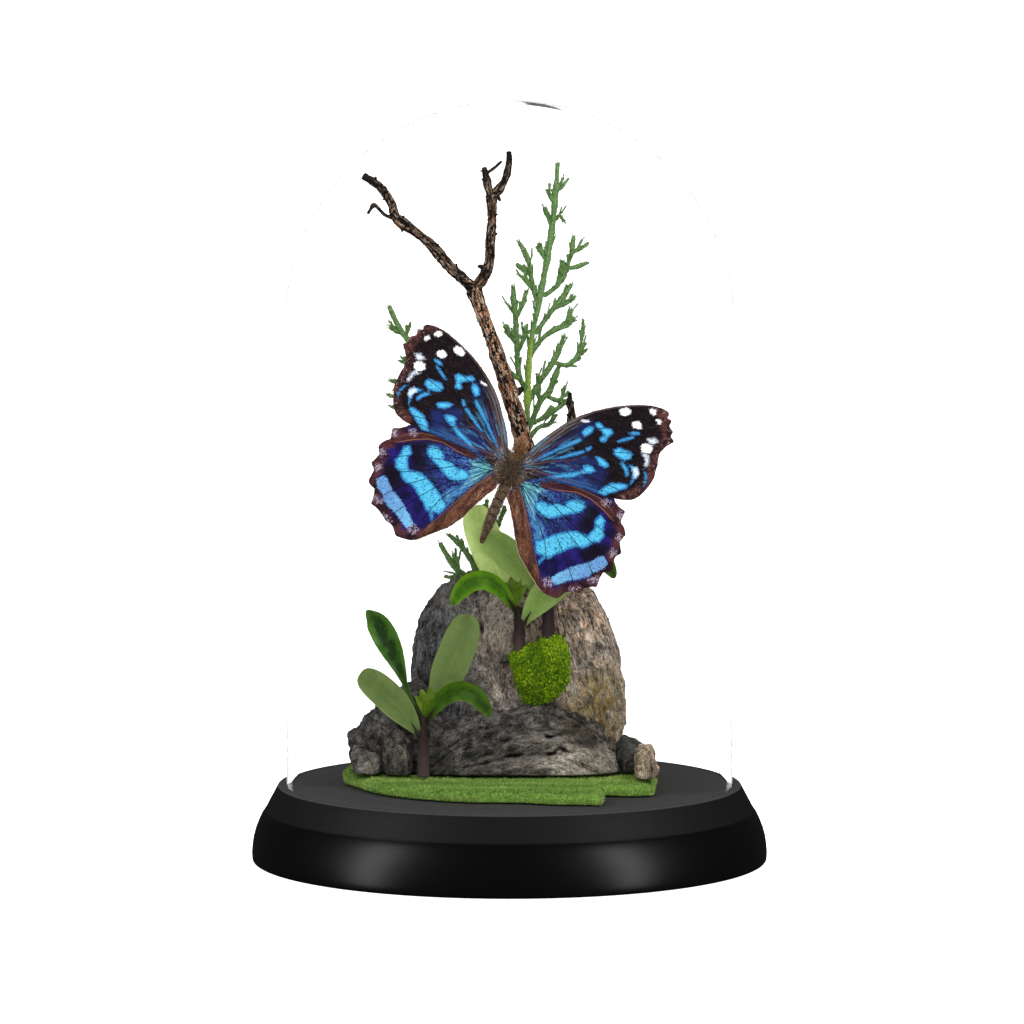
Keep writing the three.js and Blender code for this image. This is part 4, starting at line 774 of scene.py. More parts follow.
def round_corner(a, b, c, r, n=5):
    a, b, c = (np.array(p, float) for p in (a, b, c))
    p, q = b + unit(a - b) * r, b + unit(c - b) * r
    return [tuple((1 - t) ** 2 * p + 2 * t * (1 - t) * b + t * t * q) for t in np.linspace(0, 1, n)]


base_side = [(64.98, 0.9), (65.0, 2.0), (64.85, 4.0), (64.55, 6.0), (64.0, 8.0), (63.2, 10.0), (62.4, 11.7)]
prof = [(0, 0), (30, 0), (60, 0)]
prof += round_corner((60, 0), (64.9, 0.0), (64.98, 2.0), 0.7, 5)
prof += base_side[1:]
prof += round_corner((62.4, 11.7), (61.6, 12.8), (58.3, 19.0), 0.55, 6)
prof += [(60.5, 14.9), (59.4, 16.95)]
prof += round_corner((59.4, 16.95), (58.3, 19.0), (57.0, 19.0), 0.3, 5)
prof += [(57.2, 19.0)]
prof += round_corner((57.2, 19.0), (56.3, 19.0), (56.3, 17.8), 0.05, 3)
prof += [(56.3, 17.8), (55.8, 17.8)]
prof += round_corner((55.8, 17.8), (55.8, 19.0), (54.0, 19.0), 0.05, 3)
prof += [(50, 19.0), (40, 19.0), (25, 19.0), (10, 19.0), (0, 19.0)]
V, F = revolve(prof, 192)

m = Nodes("black_lacquer", rough=0.3, spec=0.16)
z = m.new("ShaderNodeSeparateXYZ")
m.nt.links.new(m.pos(), z.inputs[0])
flat = m.step(z.outputs["Z"], 18.6, 18.95)
rim = m.step(z.outputs["Z"], 12.4, 12.9)
dust = m.noise(2.2, 4, 0.6)
grain = m.noise(0.35, 3, 0.5, m.pos((1, 1, 0.35)))
# painted light on the base: the flat top's grey is partly its own matte grey finish and partly painted sheen for the
# bright room it would mirror; the chamfer is painted a middle grey for the light it catches as it turns up; the side's
# near-black is the lacquer's own colour
side_c = m.mix(dust, srgb(4, 4, 4), srgb(7, 7, 7))
chamfer_painted_light_c = m.mix(grain, srgb(16, 16, 16), srgb(20, 20, 20))
flat_finish_and_painted_sheen_c = m.mix(grain, srgb(63, 63, 63), srgb(69, 69, 69))
col = m.mix(flat, m.mix(rim, side_c, chamfer_painted_light_c), flat_finish_and_painted_sheen_c)
rough = m.math("MULTIPLY_ADD", flat, 0.40, m.math("MULTIPLY_ADD", rim, 0.20, m.math("MULTIPLY_ADD", dust, 0.06, 0.30)))
nrm = m.bump(m.noise(9.0, 4, 0.6), 0.05, 0.04)
BASE_MAT = m.done(col, rough, nrm)
base = make("base_turned", V, F, BASE_MAT, "base_black", replaces=["base"])

# the dome: one thin shell of blown glass, its ground foot standing in the groove
R0, WALL, FOOT, ZS, ZB = 56.2, 55.3, 56.08, 134.2, 18.1


def inner(z_):
    t = min(max((z_ - 30.0) / 40.0, 0.0), 1.0)
    return FOOT + (WALL - FOOT) * t * t * (3 - 2 * t)


prof = [(FOOT + 0.03, ZB), (R0 - 0.03, ZB), (R0, ZB + 0.03)]
prof += [(R0, z_) for z_ in np.linspace(ZB + 1.0, ZS, 9)[:-1]]
prof += [(R0 * math.cos(a), ZS + R0 * math.sin(a)) for a in np.linspace(0, math.pi / 2, 65)]
prof[-1] = (0, ZS + R0)
prof += [(WALL * math.cos(a), ZS + WALL * math.sin(a)) for a in np.linspace(math.pi / 2, 0, 65)]
prof[-65] = (0, ZS + WALL)
prof += [(inner(z_), z_) for z_ in np.r_[np.linspace(ZS, 70.0, 5)[1:], np.linspace(66.0, 30.0, 11), 24.0]]
prof += [(FOOT, ZB + 0.03)]
V, F = revolve(prof, 256, closed=True)
m = Nodes("clear_glass", rough=0.0, spec=0.5)
m.p.inputs["Transmission Weight"].default_value = 1.0
m.p.inputs["IOR"].default_value = 1.08
m.p.inputs["Base Color"].default_value = (1, 1, 1, 1)
# blown glass is never quite even: a very slow ripple in its surface
m.done(normal=m.bump(m.noise(0.03, 1, 0.4), 0.01, 0.3))
GLASS_MAT = m.mat
dome = make("dome_glass", V, F, GLASS_MAT, "glass", replaces=["glass_dome"])
dome.visible_diffuse = False
dome.visible_shadow = False


# the lamps leave no glare on the glass, and only the two tall strips shine on the base
def shaded_from(lamps, things, name):
    c = bpy.data.collections.new(name)
    for o in things:
        c.objects.link(o)
    for n in lamps:
        bpy.data.objects[n].light_linking.receiver_collection = c
    for k in c.collection_objects:
        k.light_linking.link_state = "EXCLUDE"


shaded_from(("key", "fill", "front", "top"), (dome, base), "no_glare")
strips = bpy.data.collections.new("strips_on")
strips.objects.link(base)
for n in ("strip_left", "strip_right"):
    bpy.data.objects[n].light_linking.receiver_collection = strips
for k in strips.collection_objects:
    k.light_linking.link_state = "INCLUDE"

# ------------------------------------------------------------------ stones
def bvh_of(*names):
    V, F = [], []
    for n in names:
        me = node_obj(n).data
        b = len(V)
        V += [tuple(c / MM for c in v.co) for v in me.vertices]
        F += [[i + b for i in p.vertices] for p in me.polygons]
    return BVHTree.FromPolygons(V, F)


def remeshed(node, voxel, relax=2):
    """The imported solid's shape as an even, softened mesh: vertices in mm and faces."""
    me = node_obj(node).data.copy()
    ob = bpy.data.objects.new("tmp_" + node, me)
    scene.collection.objects.link(ob)
    md = ob.modifiers.new("r", "REMESH")
    md.mode = "VOXEL"
    md.voxel_size = voxel * MM
    if relax:
        sm = ob.modifiers.new("s", "SMOOTH")
        sm.factor, sm.iterations = 0.6, relax
    dg = bpy.context.evaluated_depsgraph_get()
    ev = ob.evaluated_get(dg)
    out = ev.to_mesh()
    V = np.empty(len(out.vertices) * 3, np.float32)
    out.vertices.foreach_get("co", V)
    V = V.reshape(-1, 3).astype(float) / MM
    N = np.empty(len(out.vertices) * 3, np.float32)
    out.vertices.foreach_get("normal", N)
    N = N.reshape(-1, 3).astype(float)
    F = [list(p.vertices) for p in out.polygons]
    ev.to_mesh_clear()
    bpy.data.objects.remove(ob)
    bpy.data.meshes.remove(me)
    return V, N, F


def stone_mat(name, dark, mid, light, vein, rough=0.85, thread=1.0, stretch=(1, 1, 1), swing=0.75):
    """Fibrous grey stone. The texture runs along the grain stored with each vertex; the zone values tone it."""
    m = Nodes(name, rough=rough, spec=0.2)
    vec = m.new("ShaderNodeCombineXYZ")
    for k in ("gx", "gy", "gz"):
        m.put(vec.inputs["XYZ"["xyz".index(k[1])]], m.attr(k))
    long = m.new("ShaderNodeVectorMath", operation="MULTIPLY")
    m.put(long.inputs[0], vec.outputs[0])
    m.put(long.inputs[1], stretch)
    p = long.outputs[0]
    big = m.noise(0.16, 4, 0.6, p, 0.5)
    mid_n = m.noise(0.62, 6, 0.68, p, 0.9)
    fine = m.noise(2.2, 5, 0.72, p, 0.7)
    own = TINT.get(name, (1, 1, 1))
    white_lo = tuple(c / k for c, k in zip(srgb(120, 110, 97)[:3], own))
    white_hi = tuple(c / k for c, k in zip(srgb(228, 218, 202)[:3], own))
    depth_for_painted_shade, pale, blue, lich, white = (m.attr(k) for k in ("hollow", "pale", "blue", "lich", "white"))
    tone = m.math("ADD", m.math("MULTIPLY", big, 0.30), m.math("MULTIPLY", mid_n, 0.70))
    col = m.ramp(tone, [(0.40, dark), (0.50, mid), (0.57, mid), (0.66, light)])
    # dark threads first, then matted pale fibres over them; the painted shade in the hollows comes last
    for f, d, w, s_ in ((0.7, 2.0, 0.075, 0.85), (1.35, 1.5, 0.085, 0.7)):
        t = m.math("ABSOLUTE", m.math("SUBTRACT", m.noise(f, 3, 0.6, p, d), 0.46))
        col = m.mix(m.math("MULTIPLY", m.step(t, w, 0.01), s_), col, tuple(c * 0.38 for c in dark))
    for f, d, w, s_, c_ in ((0.95, 1.8, 0.040, 0.75, light), (1.9, 1.4, 0.046, 0.72, vein), (0.6, 2.4, 0.018, 0.85, vein), (1.25, 2.2, 0.026, 0.8, vein), (2.8, 1.2, 0.055, 0.6, vein)):
        t = m.math("ABSOLUTE", m.math("SUBTRACT", m.noise(f, 3, 0.6, m.shift(p, 7.3 * f), d), 0.5))
        w = w * thread
        patch = m.step(m.noise(0.26 * f + 0.1, 2, 0.5, m.shift(p, 3.1 * f)), 0.40, 0.58)
        col = m.mix(m.math("MULTIPLY", m.math("MULTIPLY", m.step(t, w, w * 0.25), patch), s_), col, c_)
    col = m.mix(m.math("MULTIPLY", m.step(fine, 0.53, 0.64), 0.72), col, light)
    col = m.mix(m.math("MULTIPLY", m.step(fine, 0.48, 0.36), 0.62), col, tuple(c * 0.5 for c in dark))
    # matted fibres standing out in the pale parts
    fib = m.noise(1.5, 3, 0.6, m.shift(p, 11.0), 0.4)
    here = m.step(pale, 0.45, 0.85)
    col = m.mix(m.math("MULTIPLY", m.math("MULTIPLY", m.step(fib, 0.46, 0.40), here), 0.7), col, dark)
    fibre = m.math("MULTIPLY", m.step(fib, 0.50, 0.57), m.math("MULTIPLY", here, m.step(mid_n, 0.38, 0.52)))
    col = m.mix(m.math("MULTIPLY", fibre, 0.65), col, m.mix(0.5, light, vein))
    # broad lighter and darker parts
    broad = m.step(m.noise(0.21, 4, 0.62, m.pos((1, 1, 1.15)), 0.8), 0.42, 0.60)
    col = m.mix(1.0, col, m.math("MULTIPLY_ADD", broad, swing, 1.0 - 0.46 * swing), "MULTIPLY")
    # zones: bluish and dark, pale, lichen-stained, whitened; on the boulder the bluish dark zone and the pale zone also
    # carry painted shade and painted light
    col = m.mix(m.math("MULTIPLY", blue, 0.95), col, m.mix(1.0, col, (0.32, 0.38, 0.48), "MULTIPLY"))
    col = m.mix(m.math("MULTIPLY", pale, m.step(mid_n, 0.38, 0.60)), col, m.mix(1.0, col, (1.62, 1.28, 1.02), "MULTIPLY"))
    col = m.mix(m.math("MULTIPLY", lich, m.step(mid_n, 0.36, 0.58)), col, m.mix(0.55, m.mix(1.0, col, (1.0, 0.93, 0.42), "MULTIPLY"), srgb(126, 112, 44)))
    col = m.mix(m.math("MULTIPLY", white, m.step(mid_n, 0.32, 0.48)), col, m.mix(m.step(fine, 0.40, 0.60), white_lo, white_hi))
    # painted shade: the hollows of the roughened surface, its cracks and creases, are darkened; painted light: the
    # parts that stand out are lightened
    col = m.mix(m.step(depth_for_painted_shade, 0.25, 0.95), col, tuple(c * 0.5 for c in dark))
    col = m.mix(m.math("MULTIPLY", m.step(depth_for_painted_shade, -0.2, -0.8), 0.35), col, light)
    h = m.math("ADD", m.math("MULTIPLY", mid_n, 1.0), m.math("MULTIPLY", fine, 0.55))
    n = m.bump(h, 1.0, 1.1)
    n = m.bump(m.noise(5.5, 4, 0.7), 0.5, 0.14, n)
    return m.done(col, m.math("MULTIPLY_ADD", fine, 0.2, rough - 0.12), n)


def spot(x, z, cx, cz, rx, rz, soft=0.5):
    d = np.sqrt(((x - cx) / rx) ** 2 + ((z - cz) / rz) ** 2)
    return 1 - smooth01(d, 1 - soft, 1 + soft)


def weathered(node, voxel, seed, grain, amp=0.6, facet=0.09, facet_amp=0.5, creases=(), relax=3, terrace=None, cracks=()):
    """Roughens the softened solid along its own grain."""
    V, N, F = remeshed(node, voxel, relax)
    foot = smooth01(V[:, 2], 22.5, 24.5)
    G = grain(V)
    G = G + 0.8 * np.stack([fbm(V, 0.12, 2, seed + 40 + k) for k in range(3)], 1)
    d1, d2, cell = worley(G * [0.8, 0.8, 1.0] + 2 * fbm(G, 0.08, 2, seed)[:, None], facet, seed)
    slab = cell * facet_amp * 0.5 * (1 - np.exp(-((d2 - d1) / 0.25) ** 2))
    rid = fbm(G, 0.20, 5, seed + 9, 0.6, ridge=True) - 0.2
    fine = fbm(G, 0.85, 3, seed + 12, 0.6)
    small = fbm(G, 0.45, 3, seed + 15, 0.6, ridge=True) - 0.2
    d = amp * (0.95 * rid + 0.6 * fine + 0.75 * small) + slab
    if terrace:
        # broken layers, each standing out and cut back under the next
        axis, period, step_amp = terrace
        q = G[:, axis] / period + 1.3 * fbm(V, 0.12, 3, seed + 61)
        f = q - np.floor(q)
        keep = 0.1 + 0.9 * smooth01(vnoise(np.stack([np.floor(q), V[:, 0] * 0.12, V[:, 1] * 0.12], 1), 1.0, seed + 62), -0.5, 0.3)
        d = d + step_amp * keep * (smooth01(f, 0.0, 0.75) * (1 - smooth01(f, 0.80, 1.0)) - 0.45)
    for line, depth, wide in creases:
        q, _ = line_distance(V[:, [0, 2]] + 0.5 * np.stack([vnoise(V, 0.35, seed + 50), vnoise(V, 0.35, seed + 51)], 1), np.array(line, float))
        front = (N[:, 1] < 0.3)
        d = d - depth * np.exp(-(q / wide) ** 2) * front
    for line, depth, wide in cracks:
        wob = 0.9 * np.stack([vnoise(V, 0.30, seed + 80), vnoise(V, 0.30, seed + 81)], 1)
        q, _ = line_distance(V[:, [0, 2]] + wob, np.array(line, float))
        on = smooth01(vnoise(V, 0.16, seed + 82), -0.5, 0.0)
        d = d - depth * np.exp(-(q / wide) ** 2) * on * (N[:, 1] < 0.3)
    d = (d - np.median(d)) * foot
    W = V + N * d[:, None]
    W[:, 2] = np.maximum(W[:, 2], 22.45)
    return W, F, np.clip(-d / (1.5 * amp + 0.25), -1, 1), G


def upright(V):
    """Fibres running down the stone, leaning to the right on its right flank."""
    x, y, z = V.T
    lean = 0.28 * smooth01(x, 2, 16) * (z - 45)
    return np.stack([(x + lean) * 1.25, y * 1.1, z * 0.42], 1)


def arched_layers(V):
    """Layers that rise to the middle of the ledge and dip away to both sides."""
    x, y, z = V.T
    t = z + np.where(x > 10, 0.030, 0.013) * (x - 10) ** 2 + 0.10 * y
    return np.stack([x * 0.5, y * 0.6, t * 1.35], 1)


def tilted(ax, ay, az, k):
    def g(V):
        return V @ np.array([[1, 0, ax], [0, 1, ay], [0, 0, az]]) * np.array(k)
    return g


GREY = stone_mat("stone_grey", srgb(18, 17, 18), srgb(54, 50, 47), srgb(146, 137, 124), srgb(255, 248, 232), thread=1.2)
SLATE = stone_mat("stone_slate", srgb(11, 11, 12), srgb(38, 37, 36), srgb(124, 118, 108), srgb(255, 250, 238), thread=1.25)
LEDGE = stone_mat("stone_ledge", srgb(11, 11, 12), srgb(40, 38, 37), srgb(128, 122, 112), srgb(255, 250, 238), thread=1.35, stretch=(0.95, 0.95, 1.0), swing=1.0)
SHADE = stone_mat("stone_shade", srgb(18, 17, 18), srgb(56, 53, 50), srgb(146, 138, 126), srgb(255, 250, 238), thread=1.3)
SAND = stone_mat("stone_sand", srgb(52, 40, 34), srgb(120, 102, 87), srgb(192, 171, 148), srgb(252, 238, 216))


def stone(name, node, mat, zones, **kw):
    V, F, hollow, G = weathered(node, **kw)
    at = {"hollow": hollow, "gx": G[:, 0], "gy": G[:, 1], "gz": G[:, 2]}
    z = zones(V[:, 0], V[:, 1], V[:, 2], fbm(V, 0.22, 3, kw["seed"] + 70))
    for k in ("pale", "blue", "lich", "white"):
        at[k] = np.clip(z.get(k, np.zeros(len(V))), 0, 1)
    return make(name, V, F, mat, "stone", attrs=at, replaces=[node])


def boulder_zones(x, y, z, n):
    # the left flank is toned bluish and dark, partly the stone's own blue-grey and partly painted shade on the side
    # away from the key light; the right flank, more so towards its top, is toned pale, partly its own brown-grey and
    # partly painted light
    xs = x + 5 * n
    right = smooth01(xs, -2, 9)
    left = 1 - smooth01(xs, -16, -3)
    return dict(
        blue=np.maximum(0.95 * left * (1 - 0.75 * spot(x, z, -6.5, 57, 5.5, 6.5)), 0.12 * spot(x, z, -4, 50.5, 6, 3.0) * (1 - right)),
        pale=np.maximum(0.65 * right + 0.45 * right * smooth01(z, 52, 64), np.maximum(0.8 * spot(x + 1.5 * n, z, -5.5, 57, 5.0, 5.5, 0.6), 0.5 * spot(x, z, -0.8, 47, 3.5, 5.0, 0.6))),
        white=0.42 * spot(x + 1.2 * n, z + n, -3.6, 57.5, 4.2, 4.0, 0.6),
        lich=0.95 * spot(x + 3 * n, z + 3 * n, 22, 38, 6.5, 9.5, 0.6) + 0.35 * spot(x, z, 8, 44, 5, 6, 0.6))


stone("boulder_weathered", "rock_boulder", GREY, boulder_zones, voxel=0.53, seed=3, grain=upright, amp=0.75, facet=0.085, facet_amp=1.9,
      cracks=(([(-11.3, 67.3), (-6.4, 62.4), (-7.3, 56.1), (-5.1, 50.8)], 0.55, 0.5), ([(-16, 47.5), (-8.1, 49.9), (-1, 50.6), (1.6, 52.6)], 0.95, 0.5), ([(15.8, 66), (20.3, 61.5), (22.1, 53.5), (20.3, 44.6)], 0.9, 0.45), ([(-20, 57), (-15, 52), (-13, 44)], 0.9, 0.5)),
      creases=(([(-18, 50.5), (-13, 53.4), (-9, 51.2), (-5.6, 52.6), (-1, 51.0), (3.4, 53.2)], 0.45, 1.4), ([(-6, 66), (-9, 60), (-12, 54)], 0.25, 1.0), ([(2, 62), (1, 56), (4, 50)], 0.25, 1.0),
               ([(14, 66), (17, 56), (16, 46)], 0.35, 0.7), ([(-19, 62), (-16, 57), (-17, 50)], 0.35, 0.9)))
stone("ledge_weathered", "rock_ledge", LEDGE, lambda x, y, z, n: dict(
    white=1.0 * spot(x, z + 1.5 * n, 18.5, 25.8, 9.5, 3.8, 0.45) + 0.30 * spot(x, z, 8, 31, 8, 2.2, 0.7) + 0.30 * spot(x, z + n, 4, 25, 10, 2.4, 0.7), lich=0.6 * spot(x, z, 17, 34, 4.5, 3, 0.6), pale=0.35 * smooth01(x, -2, 14) * smooth01(n, -0.3, 0.3)),
    voxel=0.40, seed=21, grain=arched_layers, amp=0.85, facet=0.17, facet_amp=3.2, terrace=(2, 3.2, 0.5),
    cracks=(([(-12, 29.0), (-4, 31.2), (3, 32.8), (14, 33.6), (23, 29.8), (28, 26.4)], 1.15, 0.42), ([(-14, 24.2), (-6, 25.8), (0.5, 27.7), (13, 29.1), (22, 26.0), (25, 23.5)], 1.15, 0.40), ([(-10, 33.2), (-3, 35.4), (6, 36.0)], 1.0, 0.40), ([(5, 25.0), (12, 25.9), (19, 24.3)], 0.8, 0.34)),
    creases=(([(-15, 37), (-13.5, 31), (-14.5, 24)], 0.45, 0.8), ([(-5, 38), (-6.5, 31), (-5.5, 25)], 0.4, 0.9), ([(12, 35), (18, 32), (25, 26)], 0.35, 0.7)))
dark_blue = lambda x, y, z, n: dict(blue=0.45 + 0.3 * n)
stone("shoulder_weathered", "rock_shoulder", SLATE, lambda x, y, z, n: dict(blue=0.25 + 0.3 * n), voxel=0.5, seed=33, grain=tilted(0.5, 0, 1, (0.7, 0.8, 1.0)), amp=0.7, facet=0.14, facet_amp=2.6, terrace=(2, 4.0, 0.5))
stone("slab_left_weathered", "rock_slab_left", SLATE, lambda x, y, z, n: dict(blue=0.15 + 0.3 * n, pale=0.25 + 0 * x), voxel=0.38, seed=41, grain=tilted(0.6, 0, 0.8, (1.2, 1, 0.8)), amp=0.5, facet=0.18, facet_amp=1.0)
stone("stone_left_weathered", "rock_stone_left", SHADE, lambda x, y, z, n: dict(pale=0.25 + 0.5 * n, white=0.5 * smooth01(n, 0.0, 0.4) * (1 - smooth01(z, 25, 29))), voxel=0.38, seed=52, grain=tilted(-0.3, 0, 1, (0.7, 0.8, 1.1)), amp=0.5, facet=0.18, facet_amp=1.0)
stone("stone_right_weathered", "rock_stone_right", SAND, lambda x, y, z, n: dict(pale=0.15 + 0 * x), voxel=0.36, seed=63, grain=tilted(0.2, 0, 0.5, (1.1, 1, 0.8)), amp=0.6, facet=0.24, facet_amp=1.3, terrace=(2, 3.0, 0.5))
stone("stone_back_weathered", "rock_stone_back", SLATE, lambda x, y, z, n: dict(blue=0.35 + 0 * x), voxel=0.42, seed=74, grain=tilted(0, 0, 1, (0.6, 0.8, 1.1)), amp=0.4, facet=0.2, facet_amp=0.5)

# ------------------------------------------------------------------ turf
mat_poly = np.array(MAT_OUTLINE)
stones_bvh = bvh_of("rock_boulder", "rock_ledge", "rock_shoulder", "rock_slab_left", "rock_stone_left", "rock_stone_right", "rock_stone_back")


def turf_backing():
    """The woven backing: the outline swept up, with a soft top edge."""
    P = mat_poly
    D = np.vstack([P, P[:1]])
    d = np.r_[0, np.cumsum(np.linalg.norm(np.diff(D, axis=0), axis=1))]
    n = 260
    t = np.linspace(0, d[-1], n, endpoint=False)
    O = np.c_[np.interp(t, d, D[:, 0]), np.interp(t, d, D[:, 1])]
    c = O.mean(0)
    rings = []
    for k, (zz, inset) in enumerate([(19.3, 0.2), (19.5, 0.0), (20.0, 0.1), (20.6, 0.45), (21.1, 1.0), (21.45, 1.8), (21.6, 2.8)]):
        w = 0.12 * vnoise(np.c_[O, np.full(n, zz)], 0.8, 5)
        rings.append(np.c_[O + unit(c - O) * (inset + w[:, None]), np.full(n, zz)])
    V = np.vstack(rings + [np.array([[c[0], c[1], 19.3], [c[0], c[1], 21.6]])])
    F = grid_faces(len(rings), n, True).tolist()
    b, t_ = len(V) - 2, len(V) - 1
    for k in range(n):
        F.append([b, (k + 1) % n, k])
        F.append([t_, (len(rings) - 1) * n + k, (len(rings) - 1) * n + (k + 1) % n])
    return V, F


m = Nodes("turf_backing", rough=0.95, spec=0.1)
w = m.voronoi(1.6, m.pos((1, 1, 0.6)))
c = m.mix(m.noise(0.6, 4), srgb(112, 146, 62), srgb(136, 172, 80))
c = m.mix(m.step(w, 0.15, 0.5), c, srgb(96, 130, 54))
m_turf_back = m.done(c, None, m.bump(w, 0.7, 0.4))
V, F = turf_backing()
make("turf_backing", V, F, m_turf_back, "turf", replaces=["turf_mat"])

m = Nodes("turf_pile", rough=0.75, spec=0.25)
rnd = m.attr("rnd")
up = m.attr("up")
c = m.ramp(rnd, [(0.0, srgb(92, 128, 50)), (0.35, srgb(118, 156, 70)), (0.7, srgb(140, 176, 84)), (1.0, srgb(176, 200, 112))])
# painted shade: the blades are darkened towards their roots, down in the pile
c = m.mix(m.math("MULTIPLY", m.step(up, 0.45, 0.0), 0.6), c, srgb(60, 88, 34))
c = m.mix(m.math("MULTIPLY", m.step(m.noise(0.16, 3, 0.5, m.pos((0.35, 1, 1))), 0.45, 0.65), 0.35), c, srgb(98, 140, 58))
m_turf = m.done(c, m.math("MULTIPLY_ADD", rnd, 0.15, 0.65), m.bump(m.noise(3.0, 3), 0.3, 0.1))


def blades(P, D, L, Wd, bend, rnd):
    """Flat tapered blades: roots P, directions D, lengths L, half widths Wd, bend vectors; four points in two faces each."""
    side = unit(np.cross(D, np.array([0.3, -1.0, 0.2])))
    mid = P + D * (L * 0.55)[:, None] + bend * 0.35
    tip = P + D * L[:, None] + bend
    a, b = P - side * Wd[:, None], P + side * Wd[:, None]
    c_, d_ = mid + side * (Wd * 0.8)[:, None], mid - side * (Wd * 0.8)[:, None]
    n = len(P)
    V = np.stack([a, b, c_, d_, tip], 1).reshape(-1, 3)
    i = np.arange(n)[:, None] * 5
    F = (np.concatenate([i, i + 1, i + 2, i + 3], 1).tolist() + np.concatenate([i + 3, i + 2, i + 4], 1).tolist())
    up_ = np.tile([0, 0, 0.6, 0.6, 1.0], n)
    return V, F, np.repeat(rnd, 5), up_


def turf_pile():
    g = np.random.default_rng(7)
    n = 46000
    lo, hi = mat_poly.min(0), mat_poly.max(0)
    Q = lo + (hi - lo) * g.random((n, 2))
    sd = poly_distance(Q, mat_poly)
    keep = (sd > 0.05) & ((Q[:, 1] < 2) | (g.random(n) < 0.45))
    Q, sd = Q[keep], sd[keep]
    ok = np.ones(len(Q), bool)
    for k, (x, y) in enumerate(Q):
        hit = stones_bvh.ray_cast(Vector((x, y, 22.0)), Vector((0, 0, 1)), 1.5)
        ok[k] = hit[0] is None
    Q, sd = Q[ok], sd[ok]
    n = len(Q)
    # the mat's surface rounds down to its cut edge
    near = np.clip(sd, 0, 2.8)
    zz = 19.45 + 2.0 * np.sqrt(np.clip(1 - (1 - near / 2.8) ** 2, 0, 1))
    P = np.c_[Q, zz]
    step = 0.2
    gx = (poly_distance(Q + [step, 0], mat_poly) - poly_distance(Q - [step, 0], mat_poly)) / (2 * step)
    gy = (poly_distance(Q + [0, step], mat_poly) - poly_distance(Q - [0, step], mat_poly)) / (2 * step)
    edge = (1 - near / 2.8)[:, None]
    up_n = unit(np.c_[-gx * edge[:, 0] * 1.3, -gy * edge[:, 0] * 1.3, np.ones(n)])
    # the pile is combed along the mat, in long shallow streaks
    ph = vnoise(np.c_[Q * [0.06, 0.55], np.zeros(n)], 1.0, 3)
    streak = vnoise(np.c_[Q * [0.12, 1.3], np.zeros(n)], 1.0, 13)
    az = 2.2 * ph + g.normal(0, 0.8, n)
    lean = np.clip(g.normal(0.85, 0.3, n), 0.1, 1.4)
    flat = np.c_[np.cos(az), 0.45 * np.sin(az), np.zeros(n)]
    D = up_n * np.cos(lean)[:, None] + flat * np.sin(lean)[:, None]
    L = g.uniform(0.65, 1.25, n) * (1 - 0.35 * edge[:, 0])
    bend = np.c_[g.normal(0, 0.14, (n, 2)), -0.2 * g.random(n)]
    V, F, r, up_ = blades(P, unit(D), L, g.uniform(0.06, 0.115, n), bend, np.clip(0.5 + 0.12 * ph + 0.24 * streak + g.normal(0, 0.17, n), 0, 1))
    V[:, 2] = np.maximum(V[:, 2], 19.3)
    parts = Parts("rnd", "up")
    parts.add(V, F, rnd=r, up=up_)
    # tufts along the cut edge
    D0 = np.vstack([mat_poly, mat_poly[:1]])
    seg = np.diff(D0, axis=0)
    ln = np.linalg.norm(seg, axis=1)
    m_ = 9000
    pick = g.choice(len(seg), m_, p=ln / ln.sum())
    tt = g.random(m_)
    E = D0[pick] + seg[pick] * tt[:, None]
    out = np.c_[seg[pick][:, 1], -seg[pick][:, 0]] / ln[pick][:, None]
    test = poly_distance(E + out * 0.3, mat_poly) > 0
    out[test] *= -1
    zz = 19.5 + 0.8 * g.random(m_)
    P = np.c_[E - out * (0.15 + 0.35 * (zz - 19.5))[:, None], zz]
    tang = np.c_[-out[:, 1], out[:, 0]]
    D = np.c_[out * g.uniform(0.2, 0.8, m_)[:, None] + tang * g.normal(0, 0.9, m_)[:, None], g.uniform(0.1, 0.8, m_)]
    L = g.uniform(0.4, 0.8, m_)
    V, F, r, up_ = blades(P, unit(D), L, g.uniform(0.05, 0.1, m_), np.c_[g.normal(0, 0.1, (m_, 2)), -0.15 * g.random(m_)], np.clip(g.normal(0.72, 0.2, m_), 0, 1))
    V[:, 2] = np.maximum(V[:, 2], 19.3)
    parts.add(V, F, rnd=r, up=np.maximum(up_, 0.6))
    parts.make("turf_pile", m_turf, "turf", smooth=False)


turf_pile()

# ------------------------------------------------------------------ moss
m = Nodes("moss_cushion", rough=0.95, spec=0.1)
m_moss_base = m.done(m.mix(m.noise(1.5, 4), srgb(38, 62, 4), srgb(78, 112, 10)), None, m.bump(m.voronoi(1.8), 0.8, 0.4))
m = Nodes("moss_grains", rough=0.8, spec=0.2)
rnd = m.attr("rnd")
c = m.ramp(rnd, [(0.0, srgb(24, 48, 0)), (0.35, srgb(80, 120, 4)), (0.7, srgb(134, 176, 14)), (1.0, srgb(196, 226, 56))])
m_moss = m.done(m.mix(m.math("MULTIPLY", m.noise(2.5, 3), 0.4), c, srgb(90, 130, 8)), m.math("MULTIPLY_ADD", rnd, 0.1, 0.7), m.bump(m.noise(7, 2), 0.3, 0.1))


